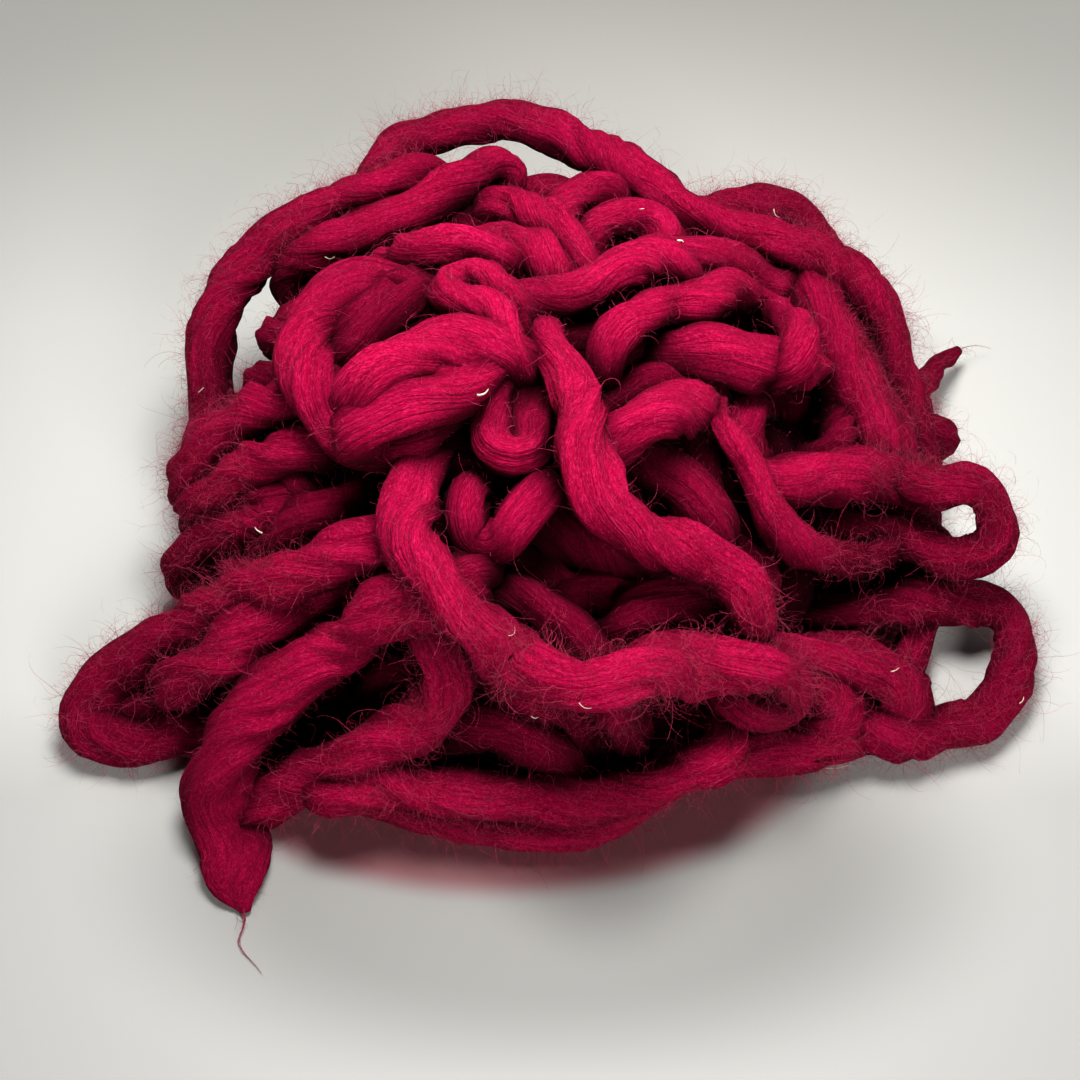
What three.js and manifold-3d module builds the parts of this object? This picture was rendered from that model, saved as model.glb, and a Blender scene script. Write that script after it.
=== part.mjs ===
// A loose heap of chunky wool yarn: one continuous thick, softly spun strand that has
// been dropped in turns and loops, with its two ends lying free.
// Millimetres, +Z up. The origin is on the table, under the middle of the heap.
import * as THREE from 'three';
import { mergeVertices } from 'three/addons/utils/BufferGeometryUtils.js';
import Module from 'manifold-3d';

const wasm = await Module();
wasm.setup();

// ---- driving sizes -------------------------------------------------------------
const STRAND_SIDES = 6;          // flats round a strand
const END_SIDES = 8;            // flats round a loose end
const GAP = 0.5;                 // clearance between the heap and a loose end
const SLIVER = 1.6;              // edges shorter than this are drawn together where turns cross
const FINE = 0.12;               // and where the heap is trimmed
const PASSES = 6;                // how often
const TOUCH = 0.05;              // corners that only touch are parted by this
const TABLE_DEPTH = 30;          // depth of what is trimmed away below the table
const TABLE_SPAN = 400;          // span of that trim
const MOUND = { x: -0.9, y: 4.8, z: 12, rx: 67, ry: 64, rz: 55 };   // tangled middle of the heap
const MOUND_SEGMENTS = { round: 22, up: 12 };
const LUMP = { height: 2.2, round: 7, up: 5 };      // unevenness of the tangled middle
const WOOL = { color: 0xa3123f, roughness: 0.95, metalness: 0 };
const WOOL_END = { color: 0xa8153f, roughness: 0.95, metalness: 0 };

// Turns of the strand that show. One row is one section: the place of its centre
// (x, y, z) and its diameter d. A loose end's rows go on with how flat it lies: its
// height over its width.
const COLUMNS = ['x', 'y', 'z', 'd', 'flat'];
const TURNS = {
  top_arch: [
    [ -31.2,   55.1,   32.4,    5.2],
    [ -33.7,   56.7,   35.1,    9.5],
    [ -39.9,   60.8,   43.2,    9.5],
    [ -41.3,   62.9,   53.6,    9.4],
    [ -38.3,   67.3,   59.8,    9.5],
    [ -30.2,   70.5,   62.2,    9.6],
    [ -19.2,   71.8,   64.6,    8.8],
    [  -8.5,   72.3,   65.1,    8.6],
    [     4,   65.1,   64.2,    9.5],
    [    18,   55.7,     62,    9.9],
    [  28.5,   46.8,   60.1,      9],
    [  40.5,   42.9,   57.2,    9.1],
    [  54.4,   42.4,   53.3,    9.2],
    [  65.5,   38.1,   47.1,    9.2],
    [  72.4,   30.1,   38.9,    8.7],
    [  76.6,   21.2,   28.3,    8.2],
    [  80.4,   15.3,   16.3,    8.8],
    [  75.1,   15.7,    9.3,    8.8],
    [  68.9,   17.7,    6.5,    8.8],
    [  65.4,   18.9,    5.2,    4.9],
  ],
  arch_behind: [
    [  18.5,   55.9,   38.9,    3.6],
    [  19.6,   57.9,   42.2,    6.6],
    [  23.4,   61.5,   48.7,    6.6],
    [  33.5,   60.3,   49.9,    7.2],
    [  45.1,   62.8,   49.1,    9.6],
    [  54.2,     64,   45.8,    9.7],
    [  61.7,   57.5,   38.4,    9.7],
    [  64.4,   51.7,   30.3,    9.7],
    [  54.3,   49.2,   22.6,    9.7],
    [  53.9,   49.1,   22.3,    9.7],
    [  50.5,   48.7,   20.3,    5.3],
  ],
  left_arc: [
    [ -21.3,   56.9,     46,      4],
    [ -22.4,   58.7,   49.4,    7.4],
    [ -25.9,   61.7,   57.1,    7.3],
    [ -32.7,   57.8,   61.4,    7.7],
    [ -44.7,   53.3,   59.9,    8.3],
    [ -57.8,   48.2,     55,    8.7],
    [ -68.2,   39.8,   49.6,    9.6],
    [ -73.8,   29.5,   42.9,   10.1],
    [ -75.1,     20,   33.6,      9],
    [ -76.5,   10.9,   23.1,   10.1],
    [ -73.7,    8.4,   15.8,   10.1],
    [ -63.3,   12.4,   10.3,   10.1],
    [ -59.9,     14,    8.9,    5.5],
  ],
  left_arc_inner: [
    [  -9.8,   52.5,   49.2,    4.6],
    [ -10.3,   54.2,   52.8,    8.3],
    [ -12.1,   57.5,     62,    8.3],
    [ -16.3,   52.4,   66.9,    8.8],
    [ -24.1,   43.5,   66.9,    9.2],
    [ -36.2,   39.5,   62.9,    8.7],
    [ -48.9,   39.1,   57.1,    8.9],
    [ -58.2,     41,   48.3,    8.1],
    [ -57.6,   41.4,   39.9,    7.8],
    [ -52.1,   40.8,   35.7,    7.8],
    [ -48.8,   40.4,   33.4,    4.3],
  ],
  crown_hook: [
    [ -19.4,     12,   51.4,    4.9],
    [ -20.5,   10.7,     55,    8.9],
    [ -24.2,    7.9,   64.4,    8.9],
    [ -30.9,    9.6,   69.5,     10],
    [ -40.1,   10.6,   69.6,   11.4],
    [ -46.5,    4.1,   68.3,   11.6],
    [   -47,   -6.5,   66.1,   11.2],
    [ -43.9,  -13.8,   61.3,   11.1],
    [ -37.5,  -19.9,   59.7,   10.8],
    [   -30,  -24.9,   63.2,    9.9],
    [ -23.1,  -19.1,   62.8,    9.2],
    [ -17.5,  -10.1,   60.7,      9],
    [   -14,   -3.3,   50.9,      9],
    [ -13.2,   -1.5,   47.4,      5],
  ],
  crown_hook_top: [
    [  -8.2,   20.9,   56.4,      4],
    [  -8.4,   20.6,   60.4,    7.4],
    [ -10.4,   19.5,   69.5,    7.3],
    [ -18.1,   18.4,   74.4,    7.7],
    [   -27,   18.2,   72.7,    8.3],
    [ -32.3,   25.8,   63.7,    8.9],
    [ -38.7,   33.2,   53.8,    8.9],
    [ -37.9,   34.6,   45.7,    8.8],
    [ -32.5,   33.5,   39.3,    8.8],
    [ -29.7,   32.9,   36.5,    4.9],
  ],
  crown_pair_a: [
    [    -7,     -4,   58.4,    5.2],
    [  -7.1,   -6.1,   61.8,    9.5],
    [  -8.1,  -11.6,   71.3,    9.5],
    [ -14.1,  -12.5,   76.3,   10.4],
    [ -24.6,    -15,   76.5,   10.9],
    [ -33.5,  -21.9,   75.3,   10.7],
    [ -32.6,  -18.1,   66.3,   10.7],
    [ -30.1,    -14,   61.2,   10.7],
    [ -28.6,  -11.6,   58.3,    5.9],
  ],
  crown_pair_b: [
    [  -8.9,   -2.2,   56.4,    5.2],
    [  -9.2,   -3.9,     60,    9.5],
    [ -10.7,   -9.2,   69.5,    9.5],
    [ -15.1,  -15.8,   72.6,   10.3],
    [ -26.2,  -22.5,     72,     11],
    [ -35.7,    -26,   69.2,   10.9],
    [ -34.1,    -20,   60.1,   10.9],
    [ -31.5,  -16.1,   55.6,   10.9],
    [ -29.8,  -13.6,   52.9,      6],
  ],
  crown_curl: [
    [  -6.1,      6,   60.9,    3.9],
    [  -6.2,    4.4,   64.6,      7],
    [  -7.7,      2,   72.9,      7],
    [ -14.3,    8.5,   74.4,    7.1],
    [ -20.9,    7.1,   73.3,    7.1],
    [ -18.2,     -1,   76.8,      7],
    [ -11.5,   -6.6,   77.4,    6.8],
    [  -8.1,  -13.3,   73.6,    6.8],
    [  -7.3,   -9.7,   66.6,    6.8],
    [  -7.1,   -7.3,   63.4,    3.8],
  ],
  crown_bar: [
    [  -7.3,    2.4,   59.2,    3.6],
    [  -7.7,    0.6,   62.7,    6.6],
    [  -8.7,   -1.7,   70.6,    6.6],
    [  -7.6,    5.4,   71.4,    7.8],
    [   2.7,    8.5,   70.6,    8.3],
    [  12.5,     16,   70.7,    8.8],
    [  20.8,   19.7,   69.6,    8.4],
    [    26,   18.9,     64,    7.5],
    [  22.9,   19.9,   55.7,    7.5],
    [  21.1,   20.4,   52.2,    4.1],
  ],
  crown_loop: [
    [     7,   -0.1,     52,    4.3],
    [   7.6,   -2.2,   55.3,    7.8],
    [   8.8,   -6.2,   63.8,    7.8],
    [  10.5,   -3.3,   70.9,    8.3],
    [  16.8,    4.6,   69.4,    8.4],
    [  25.4,     11,   66.3,    8.7],
    [  32.8,   17.3,   63.4,    7.7],
    [  39.2,   25.4,   54.8,    7.6],
    [  45.2,   22.9,   52.4,    7.9],
    [  46.9,   10.8,     59,    7.9],
    [  46.3,    1.5,   60.7,    8.1],
    [    40,    4.1,     52,    8.1],
    [  39.7,    4.4,   51.6,    8.1],
    [  37.6,    6.2,   48.8,    4.4],
  ],
  crown_loop_under: [
    [  15.9,    7.1,   47.1,    4.9],
    [    17,    5.7,   50.7,    8.9],
    [  20.8,      2,   59.8,    8.9],
    [  28.8,    1.2,     62,   10.4],
    [  39.6,    2.2,   57.2,   11.4],
    [  47.9,    9.6,   50.6,   10.4],
    [  50.4,   16.7,   44.1,     10],
    [  41.8,   19.6,   35.7,     10],
    [  40.2,   19.9,   34.4,     10],
    [  37.1,   20.3,     32,    5.5],
  ],
  right_arc_inner: [
    [  11.4,   25.5,   48.9,    4.6],
    [  12.1,   25.5,   52.8,    8.4],
    [  15.2,   25.5,   62.8,    8.4],
    [  22.7,   25.3,   65.5,    8.5],
    [  31.5,   30.2,   60.5,    8.7],
    [  40.9,   36.6,   51.7,    8.7],
    [    51,   37.3,   45.6,    8.6],
    [  61.1,   32.2,   40.7,    8.4],
    [  67.2,   22.8,   34.4,    8.2],
    [  72.2,   13.5,   27.1,    8.8],
    [  72.3,   10.3,   19.2,    9.1],
    [  62.7,   13.7,     14,    9.1],
    [  59.3,   15.1,   12.5,      5],
  ],
  right_loop_high: [
    [  29.7,  -10.2,   38.6,    4.9],
    [  31.3,  -12.9,   41.1,    8.8],
    [  36.4,  -19.4,   47.6,    8.8],
    [  44.4,  -18.6,   47.7,     10],
    [  57.9,    -12,   40.9,   10.7],
    [  68.1,   -8.7,     36,   10.4],
    [  74.8,  -13.6,   39.9,    9.7],
    [  82.9,  -14.3,     39,    8.8],
    [  86.4,  -19.1,   33.4,    8.5],
    [  81.8,  -22.1,   27.8,    9.1],
    [  70.3,  -17.6,     27,    7.8],
    [  58.9,  -15.5,   29.2,    7.7],
    [  50.9,  -11.7,   27.2,    7.7],
    [  48.1,   -9.1,   24.8,    7.7],
    [  45.8,   -6.7,   22.6,    4.2],
  ],
  right_loop_low: [
    [  43.4,  -16.3,    9.1,    5.1],
    [  45.4,  -19.3,   10.9,    9.3],
    [  51.9,  -26.8,   15.6,    9.3],
    [  61.1,  -27.2,   16.6,    9.5],
    [  75.5,  -23.2,   14.9,    9.6],
    [    89,  -22.4,   11.7,    9.7],
    [  94.3,  -27.6,      9,    9.6],
    [  91.2,  -37.7,    7.1,    9.4],
    [  84.2,  -46.4,    5.5,    9.2],
    [  72.4,  -50.3,    6.8,    9.1],
    [  62.6,  -51.6,    9.1,    9.1],
    [  56.2,  -43.3,      5,    9.1],
    [  55.6,    -42,    4.5,    9.1],
    [  53.9,  -38.5,    3.6,      5],
  ],
  right_diagonal: [
    [  20.9,      5,   40.2,    3.9],
    [  23.1,    3.7,   43.3,      7],
    [  27.6,   -0.7,   50.3,      7],
    [  29.6,  -11.4,   56.2,    6.4],
    [    32,  -20.3,   58.1,    6.2],
    [    38,  -26.6,   50.7,    6.6],
    [  44.2,  -28.6,   40.7,    8.4],
    [  53.9,  -25.7,     32,    8.2],
    [  63.3,  -22.4,   29.3,    7.3],
    [    61,  -15.4,   25.3,    7.1],
    [  59.9,  -14.6,   24.6,    7.1],
    [    57,  -12.5,   22.8,    3.9],
  ],
  right_foot_turn: [
    [  31.1,  -26.6,     14,    5.3],
    [  32.4,  -29.9,   15.8,    9.6],
    [  36.9,  -38.8,   20.4,    9.6],
    [  45.7,  -41.4,   21.6,    9.7],
    [  58.2,    -41,   18.4,    9.7],
    [  66.9,  -44.6,   13.1,   10.3],
    [  64.7,  -49.7,      8,    9.8],
    [  56.5,  -49.1,    5.1,    9.1],
    [  50.7,    -40,    3.7,    9.1],
    [    49,  -36.4,    3.7,      5],
  ],
  right_foot_inner: [
    [  32.9,  -25.3,    9.5,    5.5],
    [  34.3,  -28.5,   11.4,     10],
    [  39.3,  -37.7,   16.2,     10],
    [  47.4,  -42.6,   16.4,   10.2],
    [  53.8,  -46.8,   12.4,   11.1],
    [  50.6,  -52.5,    8.3,   11.1],
    [  43.4,  -51.2,    5.5,   11.1],
    [  37.8,  -39.6,    4.5,   11.1],
    [  37.7,  -39.2,    4.5,   11.1],
    [  36.3,  -35.4,    4.5,    6.1],
  ],
  front_swag: [
    [ -14.9,    4.4,   33.5,    5.4],
    [ -16.8,    2.7,   36.6,    9.8],
    [ -22.2,   -3.4,   45.4,    9.8],
    [ -24.5,  -13.6,   52.7,    9.8],
    [ -25.9,  -28.5,   59.7,    9.5],
    [ -27.8,  -38.1,   59.8,    9.7],
    [ -25.1,    -48,   59.9,    9.6],
    [ -19.2,  -54.7,   57.5,      9],
    [ -12.6,  -57.3,     48,   10.2],
    [  -5.9,    -61,   44.8,   11.3],
    [   1.1,    -68,   50.3,   10.1],
    [   8.9,  -68.2,   51.6,    9.6],
    [  15.7,  -62.2,     47,   10.5],
    [  23.4,  -56.8,   39.7,   10.9],
    [  33.2,  -55.7,   38.7,   10.3],
    [    40,  -52.7,   32.7,    9.6],
    [  44.4,  -50.2,   21.9,    8.5],
    [  39.7,  -53.3,   18.6,    7.6],
    [  32.7,  -55.6,   24.2,      7],
    [  27.1,  -46.4,   20.9,    6.7],
    [  25.5,  -41.7,   18.7,    6.7],
    [  24.4,  -38.2,     17,    3.7],
  ],
  front_rim_high: [
    [ -39.6,    -53,    7.2,      5],
    [ -41.3,  -56.4,    8.7,      9],
    [ -45.2,  -65.7,   12.9,      9],
    [ -37.9,  -67.5,   15.6,      9],
    [   -24,  -67.3,   15.1,      9],
    [  -8.1,  -69.1,     14,      9],
    [   7.3,  -69.4,   14.8,      9],
    [  21.7,  -66.7,     18,    8.9],
    [    30,  -61.6,   19.8,    8.9],
    [  27.4,  -50.6,   14.9,    8.9],
    [    26,  -47.3,   13.1,    4.9],
  ],
  right_rim: [
    [  11.9,  -45.3,    3.6,    4.9],
    [  12.1,  -49.3,    3.8,    8.9],
    [    13,  -57.3,    6.5,    8.9],
    [  19.2,  -60.7,    9.2,    8.9],
    [    33,  -56.5,     10,      9],
    [  47.4,    -55,    8.7,      9],
    [  60.1,  -50.8,    7.8,    9.1],
    [  59.2,  -42.7,    4.4,    9.1],
    [  55.8,  -38.5,    3.7,    9.1],
    [  53.3,  -35.4,    3.7,      5],
  ],
  front_rim_low: [
    [ -41.6,  -53.2,    4.9,    3.1],
    [ -43.4,  -56.5,    6.5,    5.7],
    [ -44.2,  -63.1,    8.8,    5.7],
    [   -32,  -66.3,    6.4,    6.7],
    [ -16.4,  -69.8,    5.4,      7],
    [  -1.6,    -72,    4.9,    7.3],
    [   9.1,  -68.6,    5.8,    6.5],
    [  17.4,  -63.8,    7.9,    6.8],
    [  16.9,  -55.5,      5,    6.8],
    [  15.9,    -52,    3.4,    3.8],
  ],
  left_loop_outer: [
    [   -19,  -19.8,   38.5,    5.7],
    [ -19.8,  -22.9,     41,   10.3],
    [ -22.8,  -31.5,   47.9,   10.3],
    [ -29.3,  -36.9,   51.4,   10.3],
    [ -40.1,  -38.7,   48.9,   10.3],
    [ -51.9,    -38,   40.7,   10.6],
    [ -63.3,  -35.4,   30.5,   10.9],
    [ -76.4,  -36.3,   21.4,   11.2],
    [ -88.8,  -40.3,   13.1,   11.3],
    [   -94,  -46.3,    7.7,   11.3],
    [ -88.1,  -51.2,    5.9,   10.3],
    [ -74.3,  -49.7,      7,    9.2],
    [ -63.1,  -46.2,      9,    8.7],
    [ -55.9,  -37.1,    4.8,    8.7],
    [ -55.6,  -36.7,    4.6,    8.7],
    [ -53.7,  -33.4,    3.5,    4.8],
  ],
  left_loop_inner: [
    [ -24.9,  -21.9,   33.8,    5.4],
    [   -26,    -25,   36.1,    9.8],
    [ -29.7,  -33.5,     42,    9.8],
    [ -36.7,  -37.5,   41.6,     10],
    [ -47.8,  -38.1,   34.8,   11.2],
    [ -58.6,  -43.3,   31.5,   11.6],
    [ -69.2,  -47.2,   24.2,     11],
    [   -75,  -46.1,   16.7,    9.4],
    [ -69.8,  -37.9,     11,    9.3],
    [ -67.9,  -35.8,     10,    9.3],
    [ -65.3,    -33,    8.8,    5.1],
  ],
  left_foot_turn: [
    [ -19.8,  -32.7,   33.1,    5.6],
    [   -21,  -35.8,   35.3,   10.2],
    [ -23.9,  -45.2,   41.2,   10.2],
    [   -22,  -53.4,   41.6,   10.2],
    [ -20.1,  -57.6,   35.1,   10.2],
    [ -25.8,  -60.3,   26.9,   10.4],
    [ -36.3,  -62.7,   20.9,   10.6],
    [ -49.4,  -63.7,   11.8,   10.8],
    [ -61.1,    -64,    6.3,   10.9],
    [ -63.4,  -57.3,    4.4,   10.9],
    [ -57.5,    -48,    4.4,   10.9],
    [ -55.1,  -44.8,    4.4,      6],
  ],
  front_drop: [
    [  -2.8,    3.6,   56.3,      4],
    [    -3,    2.3,   60.1,    7.4],
    [  -3.3,   -1.8,   68.6,    7.4],
    [    -2,  -10.6,   72.4,    7.9],
    [     2,  -20.2,     71,    9.1],
    [   3.7,  -30.9,   71.2,    9.4],
    [   5.9,  -39.9,   66.6,     10],
    [  13.6,  -43.9,   60.2,    9.4],
    [  25.4,  -43.3,   54.8,    9.3],
    [  32.7,  -46.4,   48.2,    9.3],
    [  34.4,  -47.6,   39.8,    9.1],
    [  31.5,  -39.8,   33.2,    9.1],
    [  30.1,  -36.4,   31.6,    9.1],
    [  28.6,    -33,   30.1,      5],
  ],
  middle_stub: [
    [   3.4,  -14.4,   48.4,    5.3],
    [   3.4,  -17.3,   51.2,    9.6],
    [   3.9,  -24.5,   59.5,    9.6],
    [   9.1,  -26.1,   65.9,    9.6],
    [  16.8,  -21.3,   67.3,    9.7],
    [  24.1,  -15.3,     63,    9.9],
    [  24.5,  -10.4,   55.4,    9.9],
    [  21.4,   -6.1,   49.3,    9.9],
    [  19.7,     -4,   46.4,    5.4],
  ],
  left_turn_high: [
    [ -35.9,    1.2,   46.1,    4.9],
    [ -37.7,   -0.7,   49.2,    8.8],
    [ -43.2,   -5.3,   56.8,    8.8],
    [ -51.8,   -5.2,   56.1,    8.9],
    [ -63.6,   -3.7,   47.9,    9.1],
    [ -73.7,   -4.7,   37.6,    9.3],
    [ -75.7,   -4.4,   28.3,    9.5],
    [   -68,    0.3,   21.6,    9.6],
    [ -65.2,    1.9,   20.2,    9.6],
    [ -61.9,    3.7,   18.7,    5.3],
  ],
  left_turn_middle: [
    [ -38.7,   -5.7,     41,    4.9],
    [ -40.6,     -8,   43.7,    8.8],
    [ -46.4,  -13.7,   50.4,    8.8],
    [ -54.7,  -13.7,   48.6,    8.9],
    [ -65.8,  -11.6,   38.8,    9.2],
    [ -73.8,  -10.4,   30.1,    9.4],
    [ -71.1,   -5.9,   23.7,    9.5],
    [ -64.5,   -1.9,   20.1,    9.5],
    [ -61.2,   -0.1,   18.6,    5.2],
  ],
  left_turn_low: [
    [ -40.7,  -10.5,   32.2,    4.9],
    [ -42.8,  -13.1,   34.5,    8.9],
    [ -49.2,  -19.9,   40.2,    8.9],
    [ -57.1,  -19.9,   37.1,      9],
    [ -69.2,  -15.9,   27.3,    9.4],
    [ -77.6,  -15.1,   18.3,    9.6],
    [ -76.9,  -15.4,   10.7,    9.8],
    [   -67,  -10.2,      9,    9.9],
    [   -56,   -3.3,    5.2,     10],
    [ -51.6,   -0.4,      4,     10],
    [ -48.2,    1.8,      4,    5.5],
  ],
  back_hump: [
    [  -1.9,   27.7,   43.6,    4.7],
    [  -2.1,   27.9,   47.6,    8.6],
    [  -2.4,   29.5,   57.9,    8.6],
    [  -0.6,   35.7,   63.7,    8.7],
    [   3.9,   46.7,   64.8,    8.9],
    [  10.1,   50.5,   61.8,    8.9],
    [   9.1,   47.2,   50.2,    8.9],
    [     9,     47,   49.7,    8.9],
    [     8,   45.6,   46.1,    4.9],
  ],
  back_hump_right: [
    [   2.5,   25.1,   45.3,      5],
    [   2.7,     25,   49.3,      9],
    [   3.7,   25.7,   59.7,      9],
    [   6.6,   32.2,   64.2,      9],
    [  12.6,   39.9,   64.5,    9.1],
    [  20.2,   39.1,   62.3,    9.2],
    [  22.6,   31.2,   59.9,    9.1],
    [  20.4,   24.7,   55.9,      9],
    [  16.4,   24.5,   46.2,      9],
    [  14.9,   24.7,   42.5,      5],
  ],
  middle_curl: [
    [  -9.2,   -1.6,   52.1,      5],
    [  -9.8,   -3.2,   55.7,      9],
    [ -11.4,   -8.2,   64.8,      9],
    [ -12.6,  -16.4,   65.4,      9],
    [ -11.4,  -25.4,   63.7,    8.9],
    [  -5.8,  -23.7,   62.3,    8.9],
    [  -5.7,  -14.1,   64.4,    9.1],
    [  -6.2,   -6.3,   61.2,    9.1],
    [  -5.3,   -1.9,   52.8,    9.1],
    [  -4.9,   -0.2,   49.2,      5],
  ],
  front_inner_low: [
    [ -20.8,  -33.6,    4.5,    6.1],
    [ -22.2,  -37.4,    4.6,   11.1],
    [   -25,    -46,    7.3,   11.1],
    [ -24.4,    -54,   12.5,   11.1],
    [ -15.6,  -54.7,   17.9,     11],
    [    -6,    -57,   15.4,     11],
    [   2.9,    -61,    7.6,   11.1],
    [   6.2,  -54.7,    4.5,   11.2],
    [   5.3,  -44.2,    4.5,   11.2],
    [   4.8,  -40.2,    4.5,    6.2],
  ],
  front_inner_stub: [
    [     6,  -45.8,   31.4,    4.8],
    [     6,  -49.1,   33.7,    8.7],
    [   6.6,  -58.3,   38.8,    8.7],
    [   9.3,  -60.3,   32.3,    8.8],
    [  12.6,  -56.3,   18.2,    9.3],
    [  13.1,  -49.6,   10.7,    9.3],
    [  11.9,  -41.7,    7.8,    9.3],
    [  11.2,  -37.9,    6.6,    5.1],
  ],
  front_inner_high: [
    [ -12.7,  -27.3,     27,      5],
    [ -13.7,  -30.9,   28.6,    9.1],
    [ -15.6,    -40,   33.4,    9.1],
    [ -11.7,  -43.2,     40,    9.1],
    [  -4.5,  -46.2,   44.7,    8.9],
    [   4.7,  -53.7,   40.8,    8.9],
    [   8.3,  -50.5,     35,    8.8],
    [   7.5,  -43.8,   31.7,    8.8],
    [   6.9,  -40.2,     30,    4.9],
  ],
  front_inner_right: [
    [   5.1,  -29.8,   23.2,    4.9],
    [   5.2,  -33.6,   24.6,    8.8],
    [   6.1,  -42.9,   29.3,    8.8],
    [   9.2,  -47.5,   37.2,    8.7],
    [  15.4,  -46.4,   42.7,    8.6],
    [  23.1,    -43,   39.1,    8.7],
    [  28.8,    -43,     30,      9],
    [  28.6,  -38.9,     23,      9],
    [  25.8,  -31.6,   19.7,      9],
    [  24.4,  -28.1,   18.4,      5],
  ],
  left_inner: [
    [ -26.7,   -9.9,   36.4,    5.2],
    [   -28,  -12.6,   39.1,    9.5],
    [ -32.6,  -19.8,     46,    9.5],
    [ -40.6,  -23.4,   45.9,    9.4],
    [ -50.8,  -24.7,   39.9,    9.6],
    [ -58.1,  -21.6,   28.5,     10],
    [ -59.9,  -17.9,   20.3,   10.1],
    [ -51.8,   -9.9,   14.3,   10.1],
    [ -50.7,     -9,   13.8,   10.1],
    [ -47.8,   -6.6,   12.4,    5.5],
  ],
  middle_inner: [
    [   8.4,   -5.6,   42.8,    5.5],
    [   8.8,     -8,     46,     10],
    [  10.5,  -14.8,   54.5,     10],
    [  15.5,  -21.2,   56.5,     10],
    [    25,  -27.5,   50.3,     10],
    [  28.2,    -29,   43.2,   10.1],
    [  23.6,  -19.1,   35.3,   10.1],
    [  23.6,  -19.1,   35.3,   10.1],
    [  22.1,    -16,   33.3,    5.5],
  ],
  right_inner_high: [
    [  14.9,     43,   32.7,    5.8],
    [  16.2,   44.5,   36.1,   10.6],
    [  20.9,   48.8,   45.7,   10.6],
    [  28.1,   50.8,   49.9,   10.6],
    [  41.6,   49.4,   46.8,   10.7],
    [  55.2,     45,   42.5,   10.7],
    [  64.7,   38.7,   36.5,   10.7],
    [  62.4,   35.3,   29.8,   10.7],
    [  52.3,   35.4,   23.4,   10.7],
    [  48.8,   35.6,   21.5,    5.9],
  ],
  right_inner_low: [
    [  23.2,   -3.3,    4.2,    5.8],
    [  25.4,   -6.2,    5.9,   10.6],
    [  32.5,  -13.9,   10.5,   10.6],
    [  40.9,  -17.2,   11.9,   10.6],
    [  56.1,  -15.4,    8.9,   10.7],
    [  72.4,  -13.4,      8,   10.8],
    [  78.7,   -9.4,    5.9,   10.8],
    [  69.3,   -3.3,    4.3,   10.8],
    [    68,   -2.6,    4.3,   10.8],
    [  64.5,   -0.7,    4.3,    5.9],
  ],
  back_turn_1: [
    [   7.6,   56.3,   46.7,    4.7],
    [   8.2,   60.2,   46.3,    8.6],
    [   9.1,   68.1,   43.5,    8.7],
    [   6.9,   75.9,   34.2,    9.2],
    [   3.3,   80.8,   21.7,    9.6],
    [  -0.4,   80.9,   11.5,    9.7],
    [ -10.8,   78.3,    6.5,    9.5],
    [ -25.9,   74.9,    5.6,    9.2],
    [ -36.7,   70.3,      6,    8.8],
    [ -39.7,   65.3,    6.9,    8.6],
    [ -40.8,   61.5,    7.6,    4.7],
  ],
  back_turn_2: [
    [ -72.4,    5.4,    8.8,    5.5],
    [ -74.9,    8.5,    9.2,    9.9],
    [   -78,     15,   10.7,    9.7],
    [ -75.1,   25.2,   12.8,      9],
    [ -70.2,   38.3,    9.2,    8.7],
    [ -64.3,   50.6,    6.5,    9.1],
    [   -57,   59.2,     10,    9.7],
    [ -49.9,   61.8,   16.2,     10],
    [ -44.5,   58.8,   20.4,    9.7],
    [ -41.8,   56.5,   22.3,    5.3],
  ],
  back_turn_3: [
    [  52.8,   46.8,    7.8,    4.7],
    [  53.6,   50.6,    8.6,    8.6],
    [  53.8,   58.4,   11.6,    8.5],
    [  48.5,   64.7,   17.6,    8.7],
    [  36.6,   69.2,   23.1,    9.3],
    [    24,   73.6,   24.6,    9.7],
    [  17.1,   77.9,   20.3,    9.8],
    [  15.7,   77.2,   12.4,    9.7],
    [  16.8,     74,    9.6,    9.5],
    [  18.2,   70.7,    7.8,    5.1],
  ],
  back_turn_4: [
    [   -56,   43.9,   15.2,    5.6],
    [ -57.3,   46.8,   17.6,     10],
    [ -58.2,   52.5,   23.7,    9.7],
    [ -53.7,   57.5,   31.5,    9.4],
    [ -44.8,   63.8,   34.5,    9.2],
    [ -31.4,     70,   32.5,    9.4],
    [ -17.2,   74.7,   28.5,     10],
    [ -10.1,   78.3,     22,   10.3],
    [ -11.6,   80.2,   13.9,   10.5],
    [ -19.8,   79.5,   11.4,   10.5],
    [ -27.5,   76.3,   15.6,   10.4],
    [ -30.5,   67.8,   20.5,     10],
    [ -30.4,   64.1,     22,    5.4],
  ],
  back_turn_5: [
    [  -0.7,   63.9,   42.4,      5],
    [  -3.3,     67,   42.2,    9.4],
    [  -8.8,     71,   41.5,     10],
    [   -19,   69.3,   40.8,    9.9],
    [   -28,   62.9,   43.3,    8.8],
    [ -30.3,   58.4,   43.1,    8.9],
    [ -31.7,   54.7,   42.7,      5],
  ],
  back_turn_6: [
    [  61.3,   34.4,   17.7,    5.5],
    [  63.2,   36.8,   20.3,    9.9],
    [  65.1,   41.8,   26.1,    9.7],
    [  61.1,   46.9,   32.6,      9],
    [  51.9,   53.2,   34.8,    8.7],
    [  41.7,   62.5,   32.7,    9.2],
    [  31.4,   69.7,   35.7,    9.9],
    [    23,     68,   38.8,     10],
    [  19.7,   64.4,   39.6,    9.8],
    [  17.5,   61.1,     40,    5.3],
  ],
  back_turn_7: [
    [  22.5,   67.2,   14.8,    9.7],
    [  31.4,   68.4,     12,    8.9],
    [  33.4,   62.6,    8.1,    9.2],
  ],
  back_turn_8: [
    [  67.6,   -2.3,   27.3,    6.2],
    [  71.1,   -2.3,   25.5,     11],
    [  75.7,   -0.5,   21.1,   10.4],
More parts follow.
